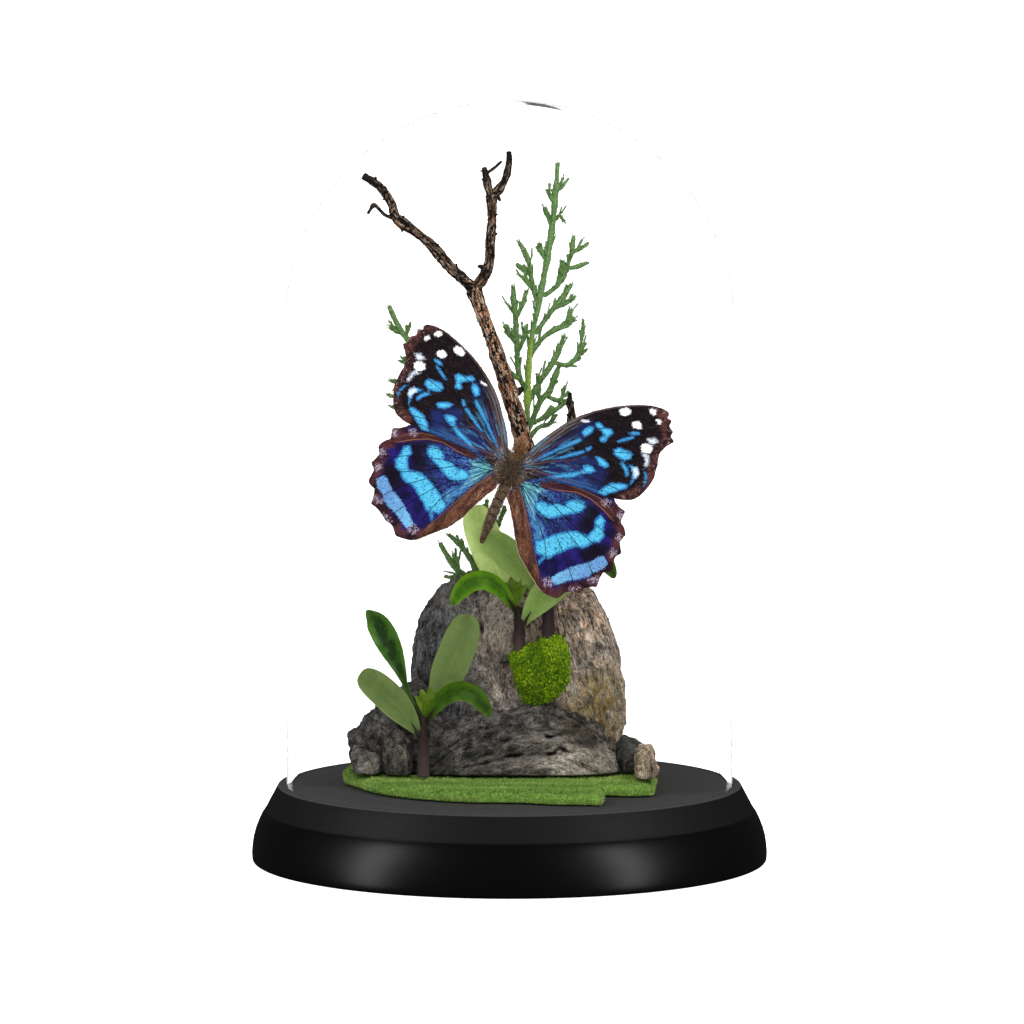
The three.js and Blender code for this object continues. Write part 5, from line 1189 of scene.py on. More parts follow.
def moss():
    V, N, F = remeshed("moss_patch", 0.5, 3)
    d = 0.45 * fbm(V, 0.5, 3, 5)
    W = V + N * (d - 0.35)[:, None]
    # it swells forward over the foot of the seedling beside it
    W[:, 1] -= 0.9 + 1.5 * np.exp(-(((W[:, 0] - 2.2) / 2.6) ** 2 + ((W[:, 2] - 52) / 5.0) ** 2))
    make("moss_cushion", W, F, m_moss_base, "moss", replaces=["moss_patch"])
    g = np.random.default_rng(19)
    ok = np.where((N[:, 1] < 0.35))[0]
    n = 7200
    pick = g.choice(ok, n)
    jit = g.normal(0, 0.2, (n, 3))
    C = W[pick] + N[pick] * g.uniform(0.0, 0.42, n)[:, None] + jit
    R = g.uniform(0.16, 0.34, n)
    oct_v = np.array([(1, 0, 0), (-1, 0, 0), (0, 1, 0), (0, -1, 0), (0, 0, 1), (0, 0, -1)], float)
    oct_f = np.array([(4, 0, 2), (4, 2, 1), (4, 1, 3), (4, 3, 0), (5, 2, 0), (5, 1, 2), (5, 3, 1), (5, 0, 3)])
    a, b = g.uniform(0, 6.28, n), g.uniform(-1, 1, n)
    ca, sa, cb, sb = np.cos(a), np.sin(a), np.cos(b), np.sin(b)
    M = np.stack([np.stack([ca, -sa * cb, sa * sb], 1), np.stack([sa, ca * cb, -ca * sb], 1), np.stack([0 * ca, sb, cb], 1)], 1)
    S = oct_v[None] * np.stack([np.ones(n), np.ones(n), g.uniform(0.8, 1.7, n)], 1)[:, None, :]
    P = C[:, None, :] + np.einsum("nij,nkj->nki", M, S) * R[:, None, None]
    Fm = (oct_f[None] + (np.arange(n) * 6)[:, None, None]).reshape(-1, 3)
    parts = Parts("rnd")
    parts.add(P.reshape(-1, 3), Fm, rnd=np.repeat(np.clip(g.normal(0.5, 0.22, n) + 0.3 * fbm(C, 0.3, 2, 9), 0, 1), 6))
    parts.make("moss_grains", m_moss, "moss")


moss()

# ------------------------------------------------------------------ branch
def bark_mat():
    m = Nodes("bark", rough=0.8, spec=0.2)
    q = m.new("ShaderNodeCombineXYZ")          # position unrolled along the limb: across, around, along
    for k, c in (("bx", "X"), ("by", "Y"), ("bz", "Z")):
        m.put(q.inputs[c], m.attr(k))
    long = m.new("ShaderNodeVectorMath", operation="MULTIPLY")
    m.put(long.inputs[0], q.outputs[0])
    m.put(long.inputs[1], (1.25, 1.25, 0.62))
    q = long.outputs[0]
    p = m.pos()
    depth_for_painted_shade, tip, warm = m.attr("hollow"), m.attr("tip"), m.attr("warm")
    n1 = m.noise(1.1, 5, 0.7, q, 0.8)
    n2 = m.noise(2.6, 4, 0.72, q, 0.5)
    n3 = m.noise(0.35, 2, 0.5, p)
    tone = m.math("ADD", m.math("MULTIPLY", n1, 0.6), m.math("MULTIPLY", n2, 0.4))
    col = m.ramp(tone, [(0.42, srgb(6, 4, 4)), (0.52, srgb(18, 11, 9)), (0.555, srgb(66, 38, 27)), (0.59, srgb(132, 86, 60)), (0.635, srgb(216, 186, 152)), (0.70, srgb(255, 244, 226))])
    # the main stem is the lighter one
    col = m.mix(m.math("MULTIPLY", m.step(tone, 0.50, 0.57), m.math("MULTIPLY", m.step(warm, 0.6, 0.85), 0.7)), col, srgb(206, 158, 120))
    rust = m.math("MULTIPLY", m.step(n3, 0.40, 0.56), warm)
    col = m.mix(m.math("MULTIPLY", rust, 0.9), col, m.mix(1.0, col, (1.0, 0.52, 0.33), "MULTIPLY"))
    for f, w, s_, c_ in ((1.5, 0.05, 0.9, srgb(12, 8, 7)), (2.4, 0.055, 0.95, srgb(250, 232, 206)), (3.6, 0.055, 0.85, srgb(206, 158, 118))):
        t = m.math("ABSOLUTE", m.math("SUBTRACT", m.noise(f, 3, 0.6, m.shift(q, 5.1 * f), 1.2), 0.5))
        on = m.step(m.noise(0.45 * f, 2, 0.5, m.shift(q, 2.3 * f)), 0.50, 0.60)
        keep = m.math("MULTIPLY", m.math("MULTIPLY_ADD", m.step(warm, 0.6, 0.85), 0.4, 0.6), s_)
        col = m.mix(m.math("MULTIPLY", m.math("MULTIPLY", m.step(t, w, w * 0.3), on), keep), col, c_)
    col = m.mix(m.math("MULTIPLY", m.step(warm, 0.85, 0.6), 0.45), col, m.mix(1.0, col, (0.5, 0.48, 0.46), "MULTIPLY"))
    # painted shade: the furrows and cracks of the bark are darkened by how deep they sit
    col = m.mix(m.step(depth_for_painted_shade, 0.05, 0.5), col, srgb(9, 6, 6))
    dark = m.math("MULTIPLY", m.step(tip, 5.5, 1.5), 0.93)
    col = m.mix(dark, col, m.mix(n2, srgb(10, 8, 8), srgb(34, 26, 22)))
    h = m.math("ADD", m.math("MULTIPLY", n1, 0.9), m.math("MULTIPLY", n2, 0.7))
    return m.done(col, m.math("MULTIPLY_ADD", n2, 0.2, 0.65), m.bump(h, 0.9, 0.45, m.bump(m.noise(8, 3, 0.7), 0.4, 0.08)))


BARK = bark_mat()


def bark_shape(seed, k=1.0):
    store = {}

    def shape(C, S, Fr, ang, R, s, length):
        n, c = R.shape
        D = S[:, None, :] * np.cos(ang)[None, :, None] + Fr[:, None, :] * np.sin(ang)[None, :, None]
        P = (C[:, None, :] + D * R[:, :, None]).reshape(-1, 3)
        A = np.stack([np.cos(ang)[None, :] * R, np.sin(ang)[None, :] * R, np.repeat((s * 0.45)[:, None], c, 1)], -1).reshape(-1, 3) + seed * 3.1
        ribs = fbm(A, 0.95, 4, seed, 0.62, ridge=True) - 0.25
        lump = fbm(P, 0.26, 3, seed + 3)
        d1, d2, cell = worley(A + 0.5 * vnoise(A, 0.8, seed)[:, None], 1.05, seed + 7)
        gap = np.exp(-((d2 - d1) / 0.13) ** 2)
        r = R.reshape(-1)
        size = np.clip(r / 1.6, 0.35, 1.2)
        fine = 0.15 * ribs + 0.13 * cell - 0.20 * gap + 0.06
        store["hollow"] = np.clip(-(fine) / 0.16, -1, 1)
        d = k * size * (fine + 0.26 * lump)
        return (r + d).reshape(n, c)

    return shape, store


def limb(key, node, seed, tip=True, warm=0.4, rows_mm=0.26, sides=30, k=1.0, knots=()):
    pts = np.array(BRANCH[key], float)
    _, length = spline(pts, 50)
    rows = max(14, int(length / rows_mm))
    L, _ = spline(pts, rows)
    s = np.linspace(0, length, rows)
    for at, amp, wide in knots:          # swollen nodes along the limb
        L[:, 3] *= 1 + amp * np.exp(-((s - at * length) / wide) ** 2)
    shape, store = bark_shape(seed, k)
    sides = max(10, int(sides * min(1.0, 0.45 + pts[:, 3].max() / 3.2)))
    C, r = L[:, :3], L[:, 3]
    T, S, Fr = frames(C)
    ang = np.linspace(0, 2 * np.pi, sides, endpoint=False)
    # taper shut at a broken tip
    R = np.repeat(r[:, None], sides, 1)
    R = shape(C, S, Fr, ang, R, s, length)
    D = S[:, None, :] * np.cos(ang)[None, :, None] + Fr[:, None, :] * np.sin(ang)[None, :, None]
    V = (C[:, None, :] + D * R[:, :, None]).reshape(-1, 3)
    F = grid_faces(rows, sides, True).tolist()
    n = len(V)
    V = np.vstack([V, C[0], C[-1] + T[-1] * r[-1] * 0.25])
    for q in range(sides):
        F.append([n, (q + 1) % sides, q])
        F.append([n + 1, (rows - 1) * sides + q, (rows - 1) * sides + (q + 1) % sides])
    dist = np.r_[np.repeat(length - s, sides), length, 0] if tip else np.full(n + 2, 99.0)
    hollow = np.r_[store["hollow"], 0, 0.3]
    U = np.stack([np.cos(ang)[None, :] * r[:, None] * 1.5, np.sin(ang)[None, :] * r[:, None] * 1.5, np.repeat((s * 0.42)[:, None], sides, 1)], -1).reshape(-1, 3) + seed * 3.1
    U = np.vstack([U, U[0], U[-1]])
    return make("branch_" + key + "_bark", V, F, BARK, "bark", attrs={"hollow": hollow, "tip": dist, "warm": np.full(n + 2, warm), "bx": U[:, 0], "by": U[:, 1], "bz": U[:, 2]}, replaces=[node])


limb("trunk", "branch_trunk", 11, tip=False, warm=0.9, knots=((0.52, 0.10, 3), (0.80, 0.10, 2.5), (1.0, 0.15, 2.5)))
limb("limb_left", "branch_limb_left", 12, warm=0.3, knots=((0.0, 0.1, 2), (0.33, 0.12, 2.0), (0.60, 0.18, 1.6), (0.80, 0.12, 1.5), (0.93, 0.15, 1.2)))
limb("limb_right", "branch_limb_right", 13, tip=False, warm=0.5, knots=((0.22, 0.15, 1.8), (0.55, 0.08, 2), (0.98, 0.2, 1.6)))
limb("fork_left", "branch_fork_left", 14, knots=((0.5, 0.2, 1.2),))
limb("fork_right", "branch_fork_right", 15, knots=((0.2, 0.2, 1.2), (0.6, 0.12, 1.2)))
limb("twig_left", "branch_twig_left", 16, rows_mm=0.16, sides=16, knots=((0.75, 0.5, 0.7),))
limb("twiglet", "branch_twig_right", 17, rows_mm=0.16, sides=14)
limb("stub", "branch_stub", 18, rows_mm=0.2, sides=20, knots=((0.6, 0.35, 0.9),))
limb("twig_back", "branch_twig_back", 19, rows_mm=0.25, sides=22, knots=((0.78, 0.35, 1.4), (0.9, 0.3, 0.8)))


def spurs():
    """Bud scars, broken spurs and flakes of bark standing off the limbs."""
    parts = Parts("hollow", "tip", "warm", "bx", "by", "bz")
    g = np.random.default_rng(23)

    def spur(key, t, direction, length, r):
        L, total = spline(BRANCH[key], 200)
        i = int(t * 199)
        c, rr = L[i, :3], L[i, 3]
        d = unit(np.array(direction, float))
        p0 = c + d * (rr * 0.55)
        p1 = c + d * (rr + length * 0.55) + g.normal(0, 0.05, 3)
        p2 = c + d * (rr + length) + g.normal(0, 0.1, 3)
        shape, store = bark_shape(int(40 + 60 * t), 0.8)
        V, F, info = tube([(*p0, r * 1.25), (*p1, r), (*p2, r * 0.7)], 10, 10, hint=(0.1, -0.3, 0.9) if abs(d[1]) > 0.8 else (0, -1, 0), shape=shape, round_root=True)
        parts.add(V, F, hollow=np.r_[store["hollow"], 0, 0], tip=np.r_[np.repeat(np.linspace(3.5, 1, 10), 10), 4, 1], warm=0.3, bx=V[:, 0], by=V[:, 1], bz=V[:, 2])

    spur("limb_right", 0.24, (-1, -0.2, 0.5), 0.9, 0.62)
    spur("limb_right", 0.60, (0.9, -0.3, 0.1), 0.25, 0.4)
    spur("limb_right", 0.80, (1, -0.4, 0.1), 0.3, 0.35)
    spur("fork_right", 0.12, (0.5, -0.3, -1.0), 1.4, 0.42)
    spur("fork_right", 0.5, (1, -0.2, 0.2), 0.3, 0.3)
    spur("fork_left", 0.55, (-1, -0.2, 0.3), 0.35, 0.35)
    spur("fork_left", 0.8, (-0.9, -0.1, 0.6), 0.45, 0.25)
    spur("limb_left", 0.34, (0.4, -0.3, 1), 0.3, 0.45)
    spur("limb_left", 0.62, (0.5, -0.3, 1), 0.35, 0.4)
    spur("limb_left", 0.585, (-0.5, -0.2, -1), 0.4, 0.45)
    spur("limb_left", 0.80, (-0.8, -0.2, -0.6), 0.3, 0.32)
    spur("limb_left", 0.93, (0.6, -0.3, 0.9), 0.45, 0.3)
    spur("limb_left", 0.18, (0.6, -0.1, 1), 0.35, 0.35)
    spur("trunk", 0.985, (-0.9, -0.4, 0.5), 0.25, 0.7)
    spur("trunk", 0.86, (-0.9, -0.4, 0.1), 0.2, 0.5)
    spur("trunk", 0.74, (-0.8, -0.5, -0.2), 0.25, 0.5)
    spur("trunk", 0.60, (0.9, -0.4, 0.2), 0.25, 0.55)
    spur("trunk", 0.49, (-0.7, -0.6, 0.4), 0.3, 0.5)
    spur("twig_back", 0.80, (-0.9, -0.4, 0.2), 0.3, 0.4)
    spur("twig_back", 0.90, (0.8, -0.2, 0.5), 0.4, 0.3)
    spur("twig_left", 0.78, (0.1, -0.3, 1), 0.25, 0.2)
    spur("stub", 0.7, (0.1, -0.3, -1), 0.3, 0.35)
    # thin curling flakes
    for key, count in (("trunk", 70), ("limb_left", 60), ("limb_right", 34), ("fork_right", 10), ("twig_back", 14)):
        L, total = spline(BRANCH[key], 300)
        T, S, Fr = frames(L[:, :3])
        for _ in range(count):
            i = int(g.integers(8, 285))
            a = g.uniform(0, 2 * np.pi)
            out = S[i] * np.cos(a) + Fr[i] * np.sin(a)
            r = L[i, 3]
            base = L[i, :3] + out * (r * 0.95)
            t = T[i] * g.choice([-1, 1])
            w = np.cross(out, t)
            l, b, lift = g.uniform(0.5, 1.2), g.uniform(0.15, 0.35), g.uniform(0.08, 0.3)
            q = np.array([base - w * b, base + w * b, base + t * l * 0.55 + w * b * 0.9 + out * lift * 0.6, base + t * l + out * lift * 1.3 + w * b * 0.2,
                          base + t * l * 0.6 - w * b * 0.8 + out * lift * 0.5])
            V = np.vstack([q, q - out * 0.09])
            F = [[0, 1, 2, 3, 4], [9, 8, 7, 6, 5]] + [[(k + 1) % 5, k, k + 5, (k + 1) % 5 + 5] for k in range(5)]
            parts.add(V, F, hollow=g.uniform(-0.9, 0.1), tip=20.0, warm=g.uniform(0, 1), bx=V[:, 0], by=V[:, 1], bz=V[:, 2] * 0.5)
    parts.make("branch_spurs", BARK, "bark")


spurs()

# ------------------------------------------------------------------ cypress sprigs
def sprig_mat():
    m = Nodes("cypress", rough=0.6, spec=0.3)
    rnd, young = m.attr("rnd"), m.attr("young")
    n = m.noise(1.3, 4, 0.6)
    c = m.ramp(m.math("ADD", m.math("MULTIPLY", rnd, 0.6), m.math("MULTIPLY", n, 0.4)),
               [(0.15, srgb(50, 76, 38)), (0.42, srgb(78, 112, 56)), (0.65, srgb(104, 140, 76)), (0.9, srgb(158, 186, 128))])
    c = m.mix(young, c, m.mix(n, srgb(104, 140, 44), srgb(158, 186, 72)))
    c = m.mix(m.math("MULTIPLY", m.step(m.voronoi(1.7, None, "DISTANCE_TO_EDGE"), 0.10, 0.02), 0.6), c, srgb(34, 56, 32))
    c = m.mix(m.math("MULTIPLY", m.step(m.noise(2.4, 4, 0.7), 0.54, 0.66), 0.3), c, srgb(166, 190, 142))
    return m.done(c, m.math("MULTIPLY_ADD", n, 0.15, 0.5), m.bump(n, 0.4, 0.15, m.bump(m.noise(6, 3), 0.3, 0.06)))


CYPRESS = sprig_mat()


def sprig(name, node, shoots, seed, young=None):
    g = np.random.default_rng(seed)
    parts = Parts("rnd", "young")
    shoots = [list(map(list, sh)) for sh in shoots]
    # short second shoots, alternating along every side shoot and the upper main stem
    extra = []
    up = np.array([0.0, 0.0, 1.0])
    for sh in shoots:
        P = np.array(sh, float)
        L, length = spline(P, 120)
        T, S, Fr = frames(L[:, :3])
        main = length > 30
        at = 0.15 if not main else 0.30
        side_ = 1
        while at < 0.84:
            i = int(at * 119)
            if g.random() < (0.8 if not main else 0.7):
                ln = g.uniform(2.2, 5.0) * (1 if not main else 1.2) * (1 - 0.5 * at)
                d = unit(unit(T[i] * 0.9 + up * 0.4) + S[i] * side_ * g.uniform(0.12, 0.36) + Fr[i] * g.normal(0, 0.10))
                r = g.uniform(0.15, 0.36)
                p = L[i, :3]
                ln = ln * (1.25 if r < 0.22 else 1.0)
                b_ = S[i] * side_ * g.uniform(-0.12, 0.22) * ln * 0.3
                extra.append([[*p, r * 0.75], [*(p + d * ln * 0.5 + b_), r], [*(p + d * ln * 0.96), r], [*(p + d * ln), r * 0.9]])
            side_ = -side_
            at += g.uniform(0.8, 1.5) / length
    shoots = shoots + extra
    n_drawn = len(shoots) - len(extra)
    for k, sh in enumerate(shoots):
        P = np.array(sh, float)
        _, length = spline(P, 40)
        rows = max(8, int(length / 0.5))
        L, _ = spline(P, rows)
        main = length > 30
        L = L.copy()
        R = L[:, 3].copy()
        # drawn shoots end in broad blunt tips; the main stem stays broad to its top
        if k < n_drawn:
            e = np.linspace(0, 1, rows)
            L[:, 3] = L[:, 3] * (1.12 if not main else 1.0 + 0.75 * smooth01(e, 0.55, 0.80)) * (1 + (0.12 if not main else 0.0) * smooth01(e, 0.45, 0.9))
        L[:, 3] *= 0.92 + 0.22 * vnoise(L[:, :3], 0.45, seed + k)
        wide, thin = (0.95, 0.8) if main else (1.16, 0.55)

        def flat(C, S, Fr, ang, RR, s, ln):
            el = wide * thin / np.sqrt((thin * np.cos(ang)) ** 2 + (wide * np.sin(ang)) ** 2)
            joints = 1 + 0.13 * np.abs(np.sin(s * 2.4 + k))[:, None] * np.abs(np.cos(ang))[None, :]
            return RR * el[None, :] * joints

        V, F, info = tube(L, int(rows * 1.6), 8, round_tip=True, shape=flat)
        z = V[:, 2]
        yg = np.zeros(len(V)) if young is None or not main else smooth01(z, young[0], young[0] + 6) * (1 - smooth01(z, young[1], young[1] + 6))
        parts.add(V, F, rnd=0.55, young=yg)
        n = max(3, int(length / 0.40))
        L, _ = spline(P, n)
        T, S, Fr = frames(L[:, :3])
        lo = 0 if not main else int(0.12 * n)
        for i in range(lo, n):
            c, r = L[i, :3], L[i, 3]
            f = i / max(1, n - 1)
            if (main and g.random() < 0.4) or (k >= n_drawn and g.random() < 0.8) or g.random() < 0.25:
                continue
            ranks = ((0, 1.0), (np.pi, 1.0), (np.pi / 2, 0.55)) if i % 2 else ((0.45, 0.8), (np.pi - 0.45, 0.8), (-np.pi / 2, 0.55))
            for a0, wide in ranks:
                a = a0 + g.normal(0, 0.28)
                out = S[i] * np.cos(a) + Fr[i] * np.sin(a)
                ang = g.uniform(0.16, 0.40)
                ln = g.uniform(1.15, 1.75) * (1.0 if r > 0.3 else 0.8)
                rod = r * (wide if abs(math.cos(a)) > 0.6 else thin)
                d = unit(T[i] * math.cos(ang) + out * math.sin(ang))
                # the leaf tips end about at the shoot's own width
                side_rank = abs(math.cos(a)) > 0.6
                full = r * ((1.75 if side_rank else 1.0) if not main else (1.5 if side_rank else 1.1))
                reach = max(0.14, full - rod * 0.8)
                ln = min(ln, reach / max(math.sin(ang), 0.15) + 0.5)
                w = unit(np.cross(d, out))
                b = g.uniform(0.13, 0.22)
                p = c + out * rod * 0.75
                root, tipp = p - d * 0.1, p + d * ln + out * -0.05
                m1 = p + d * ln * 0.42
                V = np.array([root, m1 - w * b, m1 + w * b, m1 + out * 0.13, tipp, m1 - out * 0.05])
                F = [[0, 1, 3], [0, 3, 2], [1, 4, 3], [3, 4, 2], [0, 5, 1], [0, 2, 5], [1, 5, 4], [5, 2, 4]]
                yv = 0.0 if young is None or not main else 0.85 * float(smooth01(c[2], young[0], young[0] + 6) * (1 - smooth01(c[2], young[1], young[1] + 6)))
                parts.add(V, F, rnd=float(np.clip(g.normal(0.5, 0.2) + 0.12 * f, 0, 1)), young=yv)
    parts.make(name, CYPRESS, "sprig", replaces=[node])


sprig("cypress_right", "sprig_right", SPRIG_RIGHT, 71, young=(110, 128))
sprig("cypress_left", "sprig_left", SPRIG_LEFT, 72)
sprig("cypress_low", "sprig_low", SPRIG_LOW, 73)

# ------------------------------------------------------------------ seedlings
def leaf_mat(name, core, mid, rim, rough, spec, gloss_bump=0.25, dark_centre=0.0, dark=None):
    m = Nodes(name, rough=rough, spec=spec)
    u, v = m.attr("u"), m.attr("v")
    au = m.math("ABSOLUTE", u)
    n = m.noise(0.35, 4, 0.55, None, 0.4)
    fine = m.noise(3.0, 4, 0.65)
    c = m.mix(m.step(au, 0.15, 0.85), core, mid)
    c = m.mix(m.math("MULTIPLY", m.step(n, 0.38, 0.68), 0.45 if gloss_bump > 0.3 else 0.25), c, tuple(x * 1.28 for x in mid))
    c = m.mix(m.math("MULTIPLY", m.step(n, 0.55, 0.30), 0.4 if gloss_bump > 0.3 else 0.18), c, tuple(x * 0.62 for x in core))
    # side veins leave the midrib at a slant and run out to the rim
    comb = m.math("SUBTRACT", m.math("MULTIPLY", v, 8.0), m.math("MULTIPLY", au, 2.4))
    saw = m.math("ABSOLUTE", m.math("SUBTRACT", m.math("FRACT", comb), 0.5))
    vein = m.math("MULTIPLY", m.step(saw, 0.07, 0.0), m.step(au, 0.95, 0.55))
    c = m.mix(m.math("MULTIPLY", vein, 0.10), c, tuple(x * 1.4 for x in mid))
    rib = m.math("MULTIPLY", m.step(au, 0.07, 0.02), m.step(v, 0.95, 0.4))
    c = m.mix(m.math("MULTIPLY", rib, 0.28), c, tuple(x * 1.5 for x in mid))
    if dark_centre:
        blot = m.math("MULTIPLY", m.step(au, 0.75, 0.30), m.math("MULTIPLY", m.step(v, 0.30, 0.50), m.step(v, 0.97, 0.86)))
        blot = m.math("MULTIPLY", blot, m.step(m.noise(0.5, 3, 0.6), 0.36, 0.52))
        c = m.mix(m.math("MULTIPLY", blot, dark_centre), c, dark)
    c = m.mix(m.math("MULTIPLY", m.step(au, 0.86, 1.0), 0.85), c, rim)
    # the stalk end is darker and a little purple
    c = m.mix(m.math("MULTIPLY", m.step(v, 0.20, 0.0), 0.7), c, srgb(72, 76, 34))
    c = m.mix(m.math("MULTIPLY", m.step(fine, 0.42, 0.7), 0.18), c, tuple(min(1, x * 1.7) for x in mid))
    h = m.math("ADD", m.math("MULTIPLY", vein, -0.5), m.math("ADD", m.math("MULTIPLY", rib, -0.8), m.math("MULTIPLY", fine, gloss_bump)))
    return m.done(c, m.math("MULTIPLY_ADD", n, 0.15, rough - 0.08), m.bump(h, 0.5, 0.25))


M_OVAL = leaf_mat("leaf_oval", srgb(92, 132, 66), srgb(106, 146, 82), srgb(132, 168, 98), 0.62, 0.25)
M_FRESH = leaf_mat("leaf_fresh", srgb(92, 132, 66), srgb(106, 146, 82), srgb(132, 168, 98), 0.62, 0.25)
M_PALE = leaf_mat("leaf_pale", srgb(112, 142, 70), srgb(132, 162, 92), srgb(150, 178, 104), 0.62, 0.25)
M_ARCH = leaf_mat("leaf_arched", srgb(44, 92, 14), srgb(76, 134, 24), srgb(112, 164, 48), 0.36, 0.25, 0.4, 0.0)
M_ARCHED_TOP = leaf_mat("leaf_arched_top", srgb(44, 92, 14), srgb(76, 134, 24), srgb(112, 164, 48), 0.42, 0.15, 0.4, 0.0)
M_WAVY = leaf_mat("leaf_wavy", srgb(58, 106, 28), srgb(84, 140, 44), srgb(116, 170, 62), 0.38, 0.25, 0.4, 0.92, srgb(16, 58, 16))


def leaf(parts, pts, seed, fold=0.16, wave=0.0, curl=0.0, thick=0.2, rows=44, cols=15, serrate=0.0, flip=1.0, cap=0.2, oval=0.0):
    D, length = spline(pts, 300)
    v = 1 - (1 - np.linspace(0, 1, rows)) ** 1.5
    L = np.stack([np.interp(v, np.linspace(0, 1, 300), D[:, q]) for q in range(4)], 1)
    C, W = L[:, :3], np.maximum(L[:, 3], 0.05)
    TD = unit(np.gradient(D[:, :3], axis=0))
    T = unit(np.stack([np.interp(v, np.linspace(0, 1, 300), TD[:, q]) for q in range(3)], 1))
    side = unit(np.cross(T, np.array([0.0, -1.0, 0.0])))
    front = np.cross(side, T)
    u = np.linspace(-1, 1, cols)
    # a rounded tip: the width carries on from before the last point and closes like an ellipse
    if cap:
        P_ = np.array(pts, float)
        run = np.r_[0, np.cumsum(np.linalg.norm(np.diff(P_[:, :3], axis=0), axis=1))]
        run /= run[-1]
        wide = P_[:, 3].copy()
        wide[-1] = max(wide[-2] * 0.96, wide[-2] - 0.25 * (wide[-3] - wide[-2]))
        fine = np.linspace(0, 1, 400)
        raw = np.interp(fine, run, wide)
        ker = np.hanning(61)
        raw = np.convolve(np.pad(raw, 30, mode="edge"), ker / ker.sum(), "valid")
        W = np.maximum(np.interp(v, fine, raw), 0.05)
        W = W * np.sqrt(np.clip(1 - np.clip((v - 1 + cap) / cap, 0, 1) ** 2, 0.0015, 1))
    if oval:
        # broadest past the middle, closing in a blunt round end
        top = max(p_[3] for p_ in pts)
        rise = 0.13 + 0.87 * np.sin(0.5 * np.pi * np.clip(v / oval, 0, 1)) ** 1.1
        fall = (1 - np.clip((v - oval) / (1 - oval), 0, 1) ** 3.0) ** (1 / 3.0)
        W = np.maximum(top * rise * fall, 0.06)
    Wu = W[:, None] * (1 + serrate * np.abs(np.sin(v * length * 2.6 + seed))[:, None]) * u[None, :]
    bend = -fold * W[:, None] * (np.abs(u) ** 1.5)[None, :] * -1.0 - fold * W[:, None] * 0.5
    body = smooth01(v, 0.10, 0.35)[:, None]
    rip = wave * W[:, None] * (np.abs(u) ** 2)[None, :] * np.sin(v[:, None] * length * 0.75 + np.sign(u)[None, :] * 1.1 + seed) * body
    cr = curl * W[:, None] * (u ** 2)[None, :] * smooth01(v, 0.5, 1.0)[:, None]
    P0 = C[:, None, :] + side[:, None, :] * Wu[:, :, None]
    soft = 0.06 * vnoise(P0.reshape(-1, 3), 0.5, seed).reshape(rows, cols)
    h = flip * (bend * body + rip + cr) + soft
    th = thick * (1 - 0.75 * np.abs(u) ** 3)[None, :] * (0.35 + 0.65 * np.sqrt(np.clip(1 - v, 0, 1)))[:, None] + 0.14 * np.exp(-(u / 0.12) ** 2)[None, :] * (1 - v)[:, None]
    th[[0, -1], :] *= 0.5
    top = P0 + front[:, None, :] * (h + th * 0.5)[:, :, None]
    bot = P0 + front[:, None, :] * (h - th * 0.5)[:, :, None]
    V = np.vstack([top.reshape(-1, 3), bot.reshape(-1, 3)])
    F1 = grid_faces(rows, cols)
    F2 = grid_faces(rows, cols)[:, ::-1] + rows * cols
    n = rows * cols
    rimq = []
    for i in range(rows - 1):
        a, b = i * cols, (i + 1) * cols
        rimq.append([b, a, a + n, b + n])
        a, b = i * cols + cols - 1, (i + 1) * cols + cols - 1
        rimq.append([a, b, b + n, a + n])
    for j in range(cols - 1):
        rimq.append([j, j + 1, j + 1 + n, j + n])
        a = (rows - 1) * cols + j
        rimq.append([a + 1, a, a + n, a + 1 + n])
    U = np.tile(np.repeat(u[None, :], rows, 0).reshape(-1), 2)
    VV = np.tile(np.repeat(v[:, None], cols, 1).reshape(-1), 2)
    parts.add(V, F1.tolist() + F2.tolist() + rimq, u=U, v=VV)


def stem_mat():
    m = Nodes("seedling_stem", rough=0.5, spec=0.35)
    t = m.attr("t")
    n = m.noise(0.8, 4, 0.6, m.pos((1, 1, 0.25)), 0.3)
    fine = m.noise(3.5, 3, 0.6, m.pos((1, 1, 0.3)))
    deep = m.attr("deep")
    c = m.ramp(m.math("ADD", t, m.math("MULTIPLY_ADD", n, 0.3, -0.15)), [(0.0, srgb(134, 112, 116)), (0.35, srgb(112, 86, 92)), (0.62, srgb(84, 58, 52)), (0.85, srgb(58, 42, 26)), (1.0, srgb(70, 74, 26))])
    c = m.mix(deep, c, m.mix(n, srgb(50, 32, 42), srgb(92, 66, 76)))
    c = m.mix(m.math("MULTIPLY", m.step(fine, 0.45, 0.7), 0.4), c, srgb(142, 124, 122))
    return m.done(c, m.math("MULTIPLY_ADD", fine, 0.2, 0.4), m.bump(m.math("ADD", n, fine), 0.35, 0.15))


M_STEM = stem_mat()


def bud_mat():
    m = Nodes("young_leaf", rough=0.42, spec=0.35)
    u, v = m.attr("u"), m.attr("v")
    au = m.math("ABSOLUTE", u)
    n = m.noise(0.9, 4, 0.6)
    c = m.mix(n, srgb(62, 100, 14), srgb(118, 150, 38))
    c = m.mix(m.math("MULTIPLY", m.step(au, 0.5, 1.0), 0.5), c, srgb(140, 166, 54))
    c = m.mix(m.math("MULTIPLY", m.step(au, 0.16, 0.03), 0.5), c, srgb(120, 110, 30))
    c = m.mix(m.math("MULTIPLY", m.step(v, 0.25, 0.0), 0.7), c, srgb(74, 62, 24))
    return m.done(c, m.math("MULTIPLY_ADD", n, 0.15, 0.34), m.bump(m.noise(3.0, 4, 0.6), 0.4, 0.15))


M_BUD = bud_mat()


